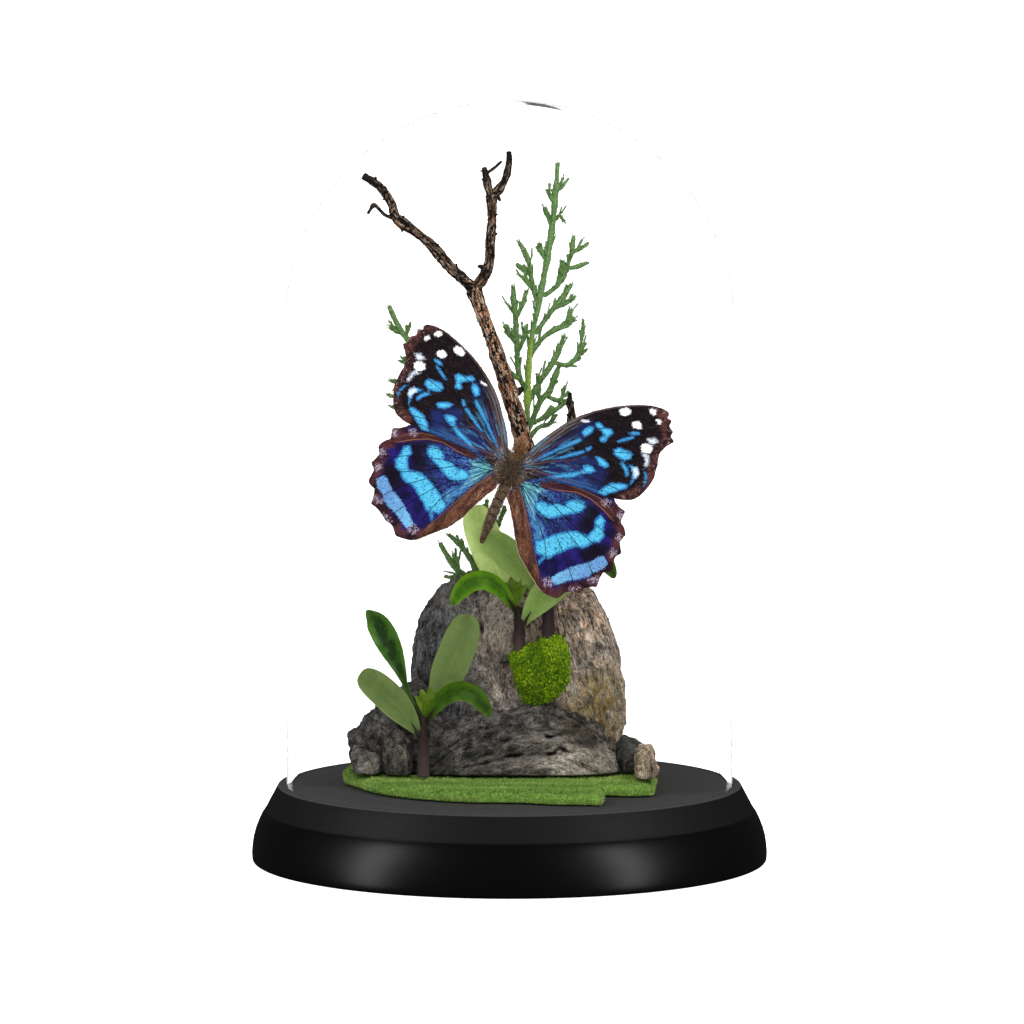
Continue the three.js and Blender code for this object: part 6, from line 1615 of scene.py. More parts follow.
def seedling(tag, mirror, kinds):
    at = np.array(SEEDLING_AT[tag])

    def place(rows):
        R = np.array(rows, float)
        return np.c_[at[0] + mirror * R[:, 0], at[1] + R[:, 1], at[2] + R[:, 2], R[:, 3]]

    seed = ord(tag)
    P = place(SEEDLING["stem"])
    pts = np.vstack([P])
    if tag == "c":
        pts = P
    V, F, info = tube(pts, 46, 22, shape=lambda C, S, Fr, ang, R, s, ln: R * (1 + 0.035 * np.sin(3 * ang + s[:, None] * 0.3) + 0.02 * vnoise(np.stack([np.cos(ang)[None, :] + 0 * R, np.sin(ang)[None, :] + 0 * R, 0.5 * s[:, None] + 0 * R], -1).reshape(-1, 3), 1.5, seed).reshape(R.shape)), round_tip=True)
    t = np.clip(info["s"] / info["length"], 0, 1)
    make(f"seedling_{tag}_stalk", V, F, M_STEM, "stem", attrs={"t": t, "deep": np.full(len(V), 0.85 if tag == "c" else 0.0)}, replaces=[f"seedling_{tag}_stem"])
    # leaf stalks: a collar of swollen bases round the joint
    parts = Parts("t", "deep")
    for key, _, _ in kinds:
        Q = place(SEEDLING[key])
        rr = np.r_[0.85, 0.62, 0.42]
        p0 = P[-1, :3] + [0, 0, -1.2]
        Lq, _ = spline(Q, 30)
        V, F, info = tube([(*p0, 0.9), (*Lq[1, :3], rr[1]), (*Lq[3, :3], 0.34), (*Lq[6, :3], 0.14)], 18, 12)
        parts.add(V, F, t=0.8 + 0.2 * np.clip(info["s"] / info["length"], 0, 1), deep=0.0)
    parts.make(f"seedling_{tag}_collar", M_STEM, "stem")
    for key, node, style in kinds:
        Q = place(SEEDLING[key])
        parts = Parts("u", "v")
        if style == "oval":
            leaf(parts, Q, seed, fold=0.10, wave=0.03, oval=0.56)
            mat, slot_ = (M_PALE if (tag, key) == ("b", "leaf_c") else M_FRESH if tag in "bc" else M_OVAL), "leaf"
        elif style == "wavy":
            leaf(parts, Q, seed + 2, fold=0.25, wave=0.16, serrate=0.03, cap=0.16)
            mat, slot_ = M_WAVY, "leaf_gloss"
        else:
            leaf(parts, Q, seed + 4, fold=0.30, wave=0.10, curl=-0.2, cap=0.14)
            mat, slot_ = (M_ARCHED_TOP if tag == "b" else M_ARCH), "leaf_gloss"
        parts.make(f"seedling_{tag}_{node}_blade", mat, slot_, replaces=[f"seedling_{tag}_{node}"])
    Q = place(SEEDLING["bud"])
    parts = Parts("u", "v")
    g = np.random.default_rng(seed)
    for k, (dx, dy, sc, w) in enumerate([(0, 0, 1.0, 1.15), (-2.1, 0.30, 0.92, 1.1), (-3.2, -0.3, 0.70, 0.9), (1.2, 0.3, 0.80, 0.9), (2.4, -0.2, 0.42, 0.95), (-0.5, -0.5, 0.55, 0.9), (-1.2, -0.7, 0.40, 0.8)]):
        B = Q.copy()
        f = np.linspace(0, 1, len(B))
        B[:, 0] += mirror * dx * f * 1.2
        B[:, 1] += dy * f
        B[:, 2] = Q[0, 2] + (Q[:, 2] - Q[0, 2]) * sc
        B[:, 3] *= w
        leaf(parts, B, seed + k, fold=0.5, wave=0.18, thick=0.18, rows=22, cols=9, serrate=0.20, cap=0.0, flip=-1.0 if k % 2 else 1.0)
    parts.make(f"seedling_{tag}_bud_leaves", M_BUD, "leaf", replaces=[f"seedling_{tag}_bud"])


seedling("a", 1, [("leaf_a", "leaf_wavy", "wavy"), ("leaf_b", "leaf_low", "oval"), ("leaf_c", "leaf_high", "oval"), ("leaf_d", "leaf_arched", "arched")])
seedling("b", -1, [("leaf_b", "leaf_low", "oval"), ("leaf_c", "leaf_high", "oval"), ("leaf_d", "leaf_arched", "arched")])
seedling("c", 1, [("leaf_b", "leaf_low", "oval"), ("leaf_d", "leaf_arched", "arched")])

# ------------------------------------------------------------------ butterfly: body
LEAN = math.radians(19)
ALONG = np.array([math.sin(LEAN), 0.0, math.cos(LEAN)])
ACROSS = np.array([math.cos(LEAN), 0.0, -math.sin(LEAN)])
TOWARDS = np.array([0.0, -1.0, 0.0])


def body_mat():
    m = Nodes("insect_cuticle", rough=0.75, spec=0.3)
    n = m.noise(1.6, 5, 0.65)
    f = m.noise(6.0, 4, 0.7)
    warm = m.attr("warm")
    seg = m.attr("seg")
    c = m.mix(n, srgb(36, 29, 22), srgb(88, 74, 58))
    c = m.mix(m.math("MULTIPLY", m.step(f, 0.48, 0.68), 0.75), c, srgb(160, 144, 118))
    c = m.mix(m.math("MULTIPLY", warm, m.step(n, 0.35, 0.65)), c, srgb(150, 78, 32))
    dusky = m.step(m.noise(0.5, 3, 0.6), 0.56, 0.44)
    c = m.mix(m.math("MULTIPLY", dusky, 0.55), c, srgb(26, 19, 15))
    # seg darkens the abdomen's ring joints, which are dark themselves, and the pin's pit on the thorax, where the
    # near-black is painted shade down in the hole
    c = m.mix(m.math("MULTIPLY", seg, 0.9), c, srgb(9, 7, 6))
    return m.done(c, m.math("MULTIPLY_ADD", f, 0.15, 0.65), m.bump(m.math("ADD", n, f), 0.6, 0.12))


def hair_mat():
    m = Nodes("insect_hair", rough=0.6, spec=0.3)
    warm, rnd = m.attr("warm"), m.attr("rnd")
    n = m.noise(2.0, 3, 0.6)
    dark = m.ramp(rnd, [(0.0, srgb(26, 19, 14)), (0.5, srgb(70, 52, 38)), (0.8, srgb(122, 98, 74)), (1.0, srgb(176, 154, 124))])
    hot = m.ramp(rnd, [(0.0, srgb(112, 70, 38)), (0.5, srgb(196, 138, 88)), (1.0, srgb(250, 216, 168))])
    c = m.mix(warm, dark, hot)
    return m.done(m.mix(m.math("MULTIPLY", n, 0.35), c, srgb(30, 20, 14)), m.math("MULTIPLY_ADD", n, 0.15, 0.5), m.bump(n, 0.2, 0.04))


CUTICLE, HAIR = body_mat(), hair_mat()


def fan_mat():
    m = Nodes("wing_root_hair", rough=0.5, spec=0.3)
    warm, rnd, cool = m.attr("warm"), m.attr("rnd"), m.attr("cool")
    n = m.noise(1.2, 3, 0.6)
    c = m.ramp(rnd, [(0.0, srgb(20, 15, 14)), (0.45, srgb(52, 40, 36)), (0.75, srgb(104, 88, 78)), (1.0, srgb(178, 166, 150))])
    c = m.mix(m.math("MULTIPLY", cool, 0.8), c, m.mix(rnd, srgb(28, 66, 86), srgb(110, 178, 190)))
    c = m.mix(warm, c, m.mix(rnd, srgb(150, 74, 34), srgb(224, 150, 100)))
    return m.done(m.mix(m.math("MULTIPLY", n, 0.3), c, srgb(24, 18, 18)), m.math("MULTIPLY_ADD", n, 0.15, 0.45), m.bump(n, 0.2, 0.04))


FANHAIR = fan_mat()


def to_world(p, origin):
    """Body coordinates (across, along, towards the viewer) to the frame."""
    p = np.asarray(p, float)
    return np.asarray(origin, float) + p[..., 0:1] * ACROSS + p[..., 1:2] * ALONG + p[..., 2:3] * TOWARDS


def blob(radii, origin, rows=40, sides=56, power=1.0, lumps=0.08, seed=1, waist=None):
    th = np.linspace(0, np.pi, rows)
    ang = np.linspace(0, 2 * np.pi, sides, endpoint=False)
    ring = np.sin(th) ** power
    P = np.stack([np.cos(ang)[None, :] * ring[:, None] * radii[0], np.repeat(-np.cos(th)[:, None], sides, 1) * radii[2], np.sin(ang)[None, :] * ring[:, None] * radii[1]], -1).reshape(-1, 3)
    k = 1 + lumps * fbm(P, 0.8, 3, seed)
    P = P * k[:, None]
    P = P[sides:-sides]
    n = len(P)
    V = np.vstack([P, [[0, -radii[2], 0]], [[0, radii[2], 0]]])
    F = grid_faces(rows - 2, sides, True).tolist()
    for q in range(sides):
        F.append([n, (q + 1) % sides, q])
        F.append([n + 1, (rows - 3) * sides + q, (rows - 3) * sides + (q + 1) % sides])
    return to_world(V, origin), F


def hairs(parts, roots, dirs, lengths, widths, bend, warm, rnd, **more):
    """Curved three-sided bristles, one segment and a point."""
    D = unit(dirs)
    a = unit(np.cross(D, np.array([0.31, 0.2, 0.93])))
    b = np.cross(D, a)
    n = len(roots)
    rings = []
    for f, w in ((0.0, 1.0), (0.5, 0.75)):
        c = roots + D * (lengths * f)[:, None] + bend * f * f
        for q in range(3):
            t = 2 * np.pi * q / 3
            rings.append(c + (a * math.cos(t) + b * math.sin(t)) * (widths * w)[:, None])
    tip = roots + D * lengths[:, None] + bend
    V = np.stack(rings + [tip], 1).reshape(-1, 3)
    i = (np.arange(n) * 7)[:, None]
    F = []
    for q in range(3):
        r = (q + 1) % 3
        F += np.concatenate([i + q, i + r, i + 3 + r, i + 3 + q], 1).tolist()
        F += np.concatenate([i + 3 + q, i + 3 + r, i + 6], 1).tolist()
    F += np.concatenate([i + 2, i + 1, i], 1).tolist()
    parts.add(V, F, warm=np.repeat(warm, 7), rnd=np.repeat(rnd, 7), **{k: np.repeat(v, 7) for k, v in more.items()})


def furry(parts, origin, radii, count, seed, lo, hi, flow, warm_fn, keep=None):
    g = np.random.default_rng(seed)
    N = unit(g.normal(0, 1, (count, 3)))
    P = N * np.array([radii[0], radii[2], radii[1]])
    if keep is not None:
        ok = keep(P)
        N, P = N[ok], P[ok]
    n = len(P)
    nrm = unit(N / np.array([radii[0], radii[2], radii[1]]))
    D = nrm * g.uniform(0.45, 0.9, (n, 1)) + np.array(flow) * g.uniform(0.5, 1.1, (n, 1)) + g.normal(0, 0.25, (n, 3))
    L = g.uniform(lo, hi, n)
    W = to_world(P * 0.97, origin)
    Dw = to_world(D, (0, 0, 0))
    bend = to_world(np.array(flow) * g.uniform(0.1, 0.35, (n, 1)), (0, 0, 0))
    hairs(parts, W, Dw, L, g.uniform(0.034, 0.060, n), bend, warm_fn(P, g), g.random(n))


def body():
    TH, HD = np.array(THORAX), np.array(HEAD)
    V, F = blob((2.35, 2.1, 3.85), TH, lumps=0.10, seed=4)
    local = np.stack([(V - TH) @ ACROSS, (V - TH) @ ALONG, (V - TH) @ TOWARDS], 1)
    # the pin's hole, a little pit on the back of the thorax
    d = np.hypot(local[:, 0] - 0.05, local[:, 1] + 1.75)
    V = V - TOWARDS * (0.7 * np.exp(-(d / 0.42) ** 2))[:, None] * (local[:, 2] > 0)[:, None]
    # the pit is painted near-black through seg: painted shade in the hole
    make("thorax_shell", V, F, CUTICLE, "insect_body", attrs={"warm": 0.25 * smooth01(local[:, 1], 1, 3.5), "seg": np.exp(-(d / 0.40) ** 2) * (local[:, 2] > 0)}, replaces=["butterfly_thorax"])
    # head with two dull compound eyes and palps
    V, F = blob((1.55, 1.5, 1.55), HD - ALONG * 0.1, 26, 34, lumps=0.08, seed=5)
    make("head_shell", V, F, CUTICLE, "insect_body", attrs={"warm": np.full(len(V), 0.8), "seg": np.zeros(len(V))}, replaces=["butterfly_head"])
    m = Nodes("compound_eye", rough=0.3, spec=0.5)
    vor = m.voronoi(9.0)
    eye_mat = m.done(m.mix(m.noise(2.0, 3), srgb(20, 12, 10), srgb(52, 30, 24)), m.math("MULTIPLY_ADD", vor, 0.1, 0.25), m.bump(vor, 0.4, 0.05))
    parts = Parts()
    for s in (-1, 1):
        V, F = blob((0.72, 0.8, 0.85), HD + ACROSS * 1.12 * s + TOWARDS * 0.35 + ALONG * 0.15, 18, 26, lumps=0.0)
        parts.add(V, F)
    parts.make("compound_eyes", eye_mat, "insect_body")
    # abdomen: seven rings
    pts = np.array(ABDOMEN, float).copy()
    rows, sides = 96, 40
    store = {}

    def rings(C, S, Fr, ang, R, s, length):
        f = (s / length) * 7.6
        saw = f - np.floor(f)
        pinch = 0.90 - 0.15 * np.exp(-((np.minimum(saw, 1 - saw)) / 0.12) ** 2) + 0.05 * np.sin(np.pi * saw)
        P = (C[:, None, :] + 0 * R[:, :, None]) + np.stack([np.cos(ang)[None, :] + 0 * R, np.sin(ang)[None, :] + 0 * R, 0 * R], -1)
        store["seg"] = np.repeat(np.exp(-((np.minimum(saw, 1 - saw)) / 0.13) ** 2), sides)
        return R * pinch[:, None] * (1 + 0.05 * fbm(P.reshape(-1, 3), 1.2, 3, 9).reshape(R.shape))

    V, F, info = tube(pts, rows, sides, shape=rings, round_tip=True, round_root=True)
    make("abdomen_shell", V, F, CUTICLE, "insect_body", attrs={"warm": 0.15 * np.ones(len(V)), "seg": np.r_[store["seg"], 0, 0]}, replaces=["butterfly_abdomen"])

    fur = Parts("warm", "rnd")
    g = np.random.default_rng(31)
    pit = lambda P: ~((np.hypot(P[:, 0] - 0.05, P[:, 1] + 1.75) < 0.42) & (P[:, 2] > 0))
    furry(fur, TH, (2.35, 2.1, 3.85), 3400, 41, 0.55, 1.35, (0, -0.55, 0.05), lambda P, g: np.clip(smooth01(P[:, 1], 1.8, 4.0) * g.uniform(0.2, 0.9, len(P)) + 0.05 * g.random(len(P)) + 0.7 * smooth01(np.abs(P[:, 0]), 1.8, 2.4) * (g.random(len(P)) < 0.22), 0, 1), pit)
    furry(fur, HD - ALONG * 0.1, (1.55, 1.5, 1.55), 1550, 42, 0.7, 1.7, (0, 0.55, 0.25), lambda P, g: np.clip(g.normal(0.75, 0.3, len(P)), 0, 1), lambda P: np.abs(P[:, 0]) < 1.25)
    # a ruff between head and thorax, and the tufts over the wing bases
    n = 1050
    a = g.uniform(0, 2 * np.pi, n)
    P = np.stack([np.cos(a) * 1.7, 3.2 + g.normal(0, 0.45, n), np.sin(a) * 1.5], 1)
    D = np.stack([np.cos(a), g.normal(0.5, 0.5, n), np.sin(a)], 1) + g.normal(0, 0.2, (n, 3))
    hairs(fur, to_world(P, TH), to_world(D, (0, 0, 0)), g.uniform(0.6, 1.5, n), g.uniform(0.034, 0.060, n), to_world(np.tile([0, -0.2, 0], (n, 1)), (0, 0, 0)), np.clip(g.normal(0.5, 0.3, n), 0, 1), g.random(n))
    for s in (-1, 1):
        n = 1050
        P = np.stack([s * (1.5 + 1.7 * g.random(n)), g.uniform(-3.9, 3.0, n), 0.55 + 0.75 * g.random(n)], 1)
        D = np.stack([s * g.uniform(0.4, 1.2, n), g.normal(-0.25, 0.45, n), g.uniform(-0.25, 0.25, n)], 1)
        warm = np.where(g.random(n) < 0.22, g.uniform(0.6, 1.0, n), 0.08) * smooth01(P[:, 1], -4.5, -1.5)
        hairs(fur, to_world(P, TH), to_world(D, (0, 0, 0)), g.uniform(0.7, 1.9, n), g.uniform(0.034, 0.060, n), to_world(np.stack([0 * P[:, 0], -0.2 + 0 * P[:, 0], -0.25 + 0 * P[:, 0]], 1), (0, 0, 0)), warm, g.random(n))
    # wing-base plates between thorax and wings, dark with orange specks
    plates = Parts("warm", "seg")
    for s in (-1, 1):
        for (a_, b_, d_, ra, rb, rd, w_) in ((2.2, 2.2, 0.55, 1.25, 1.0, 0.7, 0.35), (2.35, 0.4, 0.6, 1.35, 1.3, 0.65, 0.55), (2.2, -1.6, 0.25, 1.3, 1.2, 0.6, 0.45), (1.9, -3.0, -0.05, 1.2, 1.1, 0.6, 0.2), (3.2, 1.3, 0.62, 1.0, 0.8, 0.35, 0.5), (3.0, -0.9, 0.4, 1.0, 0.9, 0.35, 0.5)):
            V, F = blob((ra, rd, rb), to_world([[s * a_, b_, d_]], TH)[0], 16, 22, lumps=0.12, seed=int(10 + 3 * a_ + b_))
            plates.add(V, F, warm=w_, seg=0.0)
    plates.make("wing_base_plates", CUTICLE, "insect_body")
    specks = Parts("warm", "rnd")
    for s in (-1, 1):
        n = 70
        C = np.stack([s * g.uniform(1.7, 4.0, n), g.uniform(-1.9, 2.4, n), 1.15 + 0.1 * g.random(n)], 1)
        Rr = g.uniform(0.09, 0.20, n)
        for c_, r_ in zip(C, Rr):
            V, F = blob((r_, r_ * 0.7, r_), to_world(c_[None], TH)[0], 6, 8, lumps=0.0)
            specks.add(V, F, warm=1.0, rnd=float(g.uniform(0.45, 1.0)))
    specks.make("wing_base_specks", HAIR, "insect_body")
    # long hairs fanning out from the thorax over the roots of the wings
    fan = Parts("warm", "rnd", "cool")
    for s in (-1, 1):
        for count, b0, b1, a0, a1, reach, top in ((620, 0.6, 3.2, 0.10, 1.05, (2.2, 5.2), 1.45), (550, -1.6, 1.0, -0.45, 0.25, (2.0, 5.0), 1.30), (450, -3.4, -1.2, -1.25, -0.45, (1.6, 4.4), 0.35)):
            b = g.uniform(b0, b1, count)
            f = (b - b0) / (b1 - b0)
            th = a0 + (a1 - a0) * np.clip(f + g.normal(0, 0.16, count), 0, 1)
            P = np.stack([s * g.uniform(1.2, 2.3, count), b, top + g.uniform(-0.25, 0.15, count)], 1)
            D = np.stack([s * np.cos(th), np.sin(th), g.uniform(-0.05, 0.05, count)], 1)
            ln = g.uniform(*reach, count) * (0.65 + 0.35 * g.random(count))
            V0 = to_world(P, TH)
            hairs_at = np.where(g.random(count) < 0.07, g.uniform(0.6, 1.0, count), 0.0)
            hairs(fan, V0, to_world(D, (0, 0, 0)), ln, g.uniform(0.027, 0.053, count), to_world(np.tile([0, -0.12, -0.25], (count, 1)), (0, 0, 0)), hairs_at, g.random(count),
                  cool=(g.random(count) < 0.22).astype(float))
    fan.make("wing_root_fans", FANHAIR, "insect_body")
    # a scrap of dark membrane closes each wing base against the thorax
    web = Parts("warm", "seg")
    for s in (-1, 1):
        rows_, cols_ = 12, 40
        rr = np.linspace(0.8, 5.8, rows_)
        th = np.linspace(-1.02, 1.02, cols_)
        R_, A_ = np.meshgrid(rr, th, indexing="ij")
        rag = 1 + 0.05 * np.sin(7 * A_ + 2 * s) + 0.30 * np.exp(-((A_ - 0.28) / 0.30) ** 2) - 0.22 * (A_ < -0.75)
        Pm = np.stack([s * R_ * rag * np.cos(A_), 0.1 + R_ * rag * np.sin(A_) * 0.72, 0 * R_ + 0.02 + 0.06 * np.sin(3 * A_)], -1).reshape(-1, 3)
        top_ = to_world(Pm + [0, 0, 0.12], TH)
        bot_ = to_world(Pm, TH)
        n_ = rows_ * cols_
        Fa = grid_faces(rows_, cols_)
        Vw = np.vstack([top_, bot_])
        rim_ = []
        for a_ in range(rows_ - 1):
            rim_ += [[a_ * cols_, (a_ + 1) * cols_, (a_ + 1) * cols_ + n_, a_ * cols_ + n_], [(a_ + 1) * cols_ + cols_ - 1, a_ * cols_ + cols_ - 1, a_ * cols_ + cols_ - 1 + n_, (a_ + 1) * cols_ + cols_ - 1 + n_]]
        for b_ in range(cols_ - 1):
            q_ = (rows_ - 1) * cols_ + b_
            rim_ += [[b_ + 1, b_, b_ + n_, b_ + 1 + n_], [q_, q_ + 1, q_ + 1 + n_, q_ + n_]]
        web.add(Vw, Fa.tolist() + (Fa[:, ::-1] + n_).tolist() + rim_, warm=0.25, seg=0.25)
    web.make("wing_base_membrane", CUTICLE, "insect_body")
    # short fur down the abdomen
    L, total = spline(ABDOMEN, 400)
    T, S, Fr = frames(L[:, :3])
    n = 2000
    i = g.integers(0, 395, n)
    a = g.uniform(0, 2 * np.pi, n)
    out = S[i] * np.cos(a)[:, None] + Fr[i] * np.sin(a)[:, None]
    P = L[i, :3] + out * (L[i, 3] * 0.93)[:, None]
    hairs(fur, P, out * 0.45 + T[i] * 1.0 + g.normal(0, 0.18, (n, 3)), g.uniform(0.25, 0.7, n) * (1 + 0.8 * (i < 70)), g.uniform(0.029, 0.048, n), T[i] * 0.05 - out * 0.05, np.clip(g.normal(0.1, 0.2, n), 0, 1), g.random(n))
    fur.make("body_fur", HAIR, "insect_body")
    # palps under the head
    parts = Parts("warm", "seg")
    for s in (-1, 1):
        p = to_world([[s * 0.45, 1.0, 0.5], [s * 0.5, 1.9, 0.7], [s * 0.42, 2.55, 0.9]], HD)
        V, F, _ = tube(np.c_[p, [0.3, 0.28, 0.1]], 14, 12)
        parts.add(V, F, warm=0.7, seg=0.0)
    parts.make("palps", CUTICLE, "insect_body")


body()


# ------------------------------------------------------------------ butterfly: wings
def densify(poly, step, smooth=True):
    P = np.asarray(poly, float)
    n = len(P)
    if smooth:
        out = []
        for k in range(n):
            p0, p1, p2, p3 = P[k - 1], P[k], P[(k + 1) % n], P[(k + 2) % n]
            for t in np.linspace(0, 1, 14, endpoint=False):
                out.append(_cat(p0, p1, p2, p3, t))
        P = np.array(out)
    D = np.vstack([P, P[:1]])
    d = np.r_[0, np.cumsum(np.linalg.norm(np.diff(D, axis=0), axis=1))]
    m = max(8, int(d[-1] / step))
    t = np.linspace(0, d[-1], m, endpoint=False)
    return np.c_[np.interp(t, d, D[:, 0]), np.interp(t, d, D[:, 1])]


def _cat(p0, p1, p2, p3, t, k=0.38):
    m1, m2 = k * (p2 - p0), k * (p3 - p1)
    return (2 * t ** 3 - 3 * t * t + 1) * p1 + (t ** 3 - 2 * t * t + t) * m1 + (-2 * t ** 3 + 3 * t * t) * p2 + (t ** 3 - t * t) * m2


def best(P, polys):
    d = np.full(len(P), -99.0)
    for q in polys:
        d = np.maximum(d, poly_distance(P, q))
    return d


def lines_distance(P, lines, taper=0.0):
    d = np.full(len(P), 99.0)
    for q in lines:
        x, at = line_distance(P, q)
        d = np.minimum(d, x + taper * at)
    return d


def affine(P, A):
    a, b, c, d, e, f = A
    return np.c_[a * P[:, 0] + b * P[:, 1] + e, c * P[:, 0] + d * P[:, 1] + f]


def wing(name, node, outline, A, side, lift, kind, mat, seed):
    """One wing as a thin veined membrane, drawn in the right wing's plane and carried over to the left by A."""
    g = np.random.default_rng(seed)
    step = 0.25
    O = densify(outline, step)
    lo, hi = O.min(0), O.max(0)
    gx = np.arange(lo[0], hi[0], step)
    gy = np.arange(lo[1], hi[1], step * 0.866)
    X, Y = np.meshgrid(gx, gy)
    X[1::2] += step / 2
    Q = np.c_[X.ravel(), Y.ravel()] + g.normal(0, 0.02, (X.size, 2))
    Q = Q[poly_distance(Q, O) > step * 0.6]
    # ragged fringe of scales at the rim
    nO = len(O)
    tan = unit(np.roll(O, -1, 0) - np.roll(O, 1, 0))
    nrm = np.c_[tan[:, 1], -tan[:, 0]]
    if poly_distance(O[:1] + nrm[:1] * 0.05, O)[0] > 0:
        nrm = -nrm
    O2 = O + nrm * (0.07 * vnoise(np.c_[O, np.zeros(nO)], 2.4, seed))[:, None]
    pts = [Vector(p) for p in np.vstack([O2, Q])]
    edges = [(k, (k + 1) % nO) for k in range(nO)]
    co, _, tris, *_ = delaunay_2d_cdt(pts, edges, [], 1, 1e-5)
    P = np.array([(c.x, c.y) for c in co])
    F = np.array([list(t) for t in tris])
    e1, e2 = P[F[:, 1]] - P[F[:, 0]], P[F[:, 2]] - P[F[:, 0]]
    flip = e1[:, 0] * e2[:, 1] - e1[:, 1] * e2[:, 0] < 0
    F[flip] = F[flip][:, ::-1]
    n = len(P)
    edge = poly_distance(P, O2)
    edge = np.maximum(edge, 0)
    at = {}
    if kind == "fore":
        veins = lines_distance(P, FW_VEINS)
        at["blue"], at["white"], at["pale"] = best(P, FW_BLUE), best(P, FW_WHITE), best(P, FW_PALE)
        at["indigo"], at["rear"] = best(P, FW_INDIGO), best(P, FW_REAR)
        at["outer"] = line_distance(P, np.array(FOREWING)[9:28])[0]
        at["lead"] = line_distance(P, np.array(FOREWING)[0:11])[0]
    else:
        veins = lines_distance(P, HW_VEINS)
        at["blue"] = np.maximum(best(P, HW_BLUE1), best(P, HW_BLUE2))
        at["soft"] = best(P, HW_BLUE3)
        at["teal"], at["white"], at["dark"] = best(P, HW_TEAL), best(P, HW_WHITE), best(P, HW_BLACK)
        at["costa"], at["anal"] = best(P, HW_COSTA), best(P, HW_ANAL)
        at["outer"] = line_distance(P, np.array(HINDWING)[7:36])[0]
        at["lead"] = line_distance(P, np.array(HINDWING)[36:45])[0]
    at["vein"] = veins
    at["edge"] = edge
    at["wa"], at["wb"] = P[:, 0].copy(), P[:, 1].copy()
    root_d = np.hypot(P[:, 0], P[:, 1])
    at["root"] = root_d
    at["ray"] = 9.0 * np.arctan2(P[:, 1], P[:, 0])
    P3 = np.c_[P, np.zeros(n)]
    # membrane relief: veins stand up, cells sag between them, the rim cockles
    sag = -0.16 * smooth01(np.minimum(veins, 2.2), 0, 2.2)
    h = 0.085 * np.exp(-(veins / 0.13) ** 2) + sag + 0.10 * fbm(P3, 0.16, 3, seed) + 0.22 * smooth01(8 - np.minimum(edge * 2.2, 8), 3, 8) * vnoise(P3, 0.32, seed + 3)
    h += 0.28 * vnoise(P3, 0.05, seed + 9)
    h = h - 0.03
    th = 0.05 + 0.10 * smooth01(edge, 0, 0.6) + 0.05 * np.exp(-(veins / 0.14) ** 2) + 0.25 * smooth01(6 - root_d, 0, 6)
    PP = affine(P, A) if A else P
    out = side * math.cos(math.radians(9)) * ACROSS + math.sin(math.radians(9)) * TOWARDS
    along = ALONG
    nn = unit(np.cross(out, along)) * side
    nn = nn if nn @ TOWARDS > 0 else -nn
    base = np.array(WING_ROOT) + nn * lift
    mid = base + PP[:, :1] * out + PP[:, 1:2] * along
    top = mid + nn * (h + th / 2)[:, None]
    bot = mid + nn * (h - th / 2)[:, None]
    V = np.vstack([top, bot])
    # which way is up for the faces
    e1, e2 = top[F[0, 1]] - top[F[0, 0]], top[F[0, 2]] - top[F[0, 0]]
    if np.cross(e1, e2) @ nn < 0:
        F = F[:, ::-1]
    cnt = {}
    for t in F.tolist():
        for a, b in ((t[0], t[1]), (t[1], t[2]), (t[2], t[0])):
            if (b, a) in cnt:
                del cnt[(b, a)]
            else:
                cnt[(a, b)] = True
    rim = [[b, a, a + n, b + n] for a, b in cnt]
    faces = F.tolist() + (F[:, ::-1] + n).tolist() + rim
    attrs = {k: np.r_[v, v] for k, v in at.items()}
    attrs["under"] = np.r_[np.zeros(n), np.ones(n)]
    return make(name, V, faces, mat, "wing", attrs=attrs, replaces=[node])


def underside(m, col, under, vein, edge, wa, wb):
    """The pale mottled brown of the closed side."""
    n = m.noise(0.33, 5, 0.6, None, 0.8)
    f = m.noise(3.0, 4, 0.65)
    b = m.ramp(n, [(0.30, srgb(70, 48, 34)), (0.48, srgb(112, 84, 60)), (0.60, srgb(142, 112, 84)), (0.75, srgb(176, 152, 122))])
    b = m.mix(m.math("MULTIPLY", m.step(f, 0.48, 0.7), 0.35), b, srgb(188, 170, 144))
    b = m.mix(m.math("MULTIPLY", m.step(vein, 0.22, 0.06), 0.7), b, srgb(56, 38, 28))
    b = m.mix(m.math("MULTIPLY", m.step(edge, 1.4, 0.2), 0.6), b, srgb(74, 50, 38))
    return m.mix(under, col, b)


def speckled(m, d, lo, hi, grain, amount=0.35):
    """Soft-edged mask from a distance in mm, broken up by single scales."""
    return m.step(m.math("ADD", d, m.math("MULTIPLY_ADD", grain, 2 * amount, -amount)), lo, hi)


def rays(m, A):
    """Fine streaks running out from the wing root."""
    c = m.new("ShaderNodeCombineXYZ")
    m.put(c.inputs[0], A["ray"])
    m.put(c.inputs[1], m.math("MULTIPLY", A["root"], 0.16))
    return m.noise(1.0, 4, 0.7, c.outputs[0], 0.3)


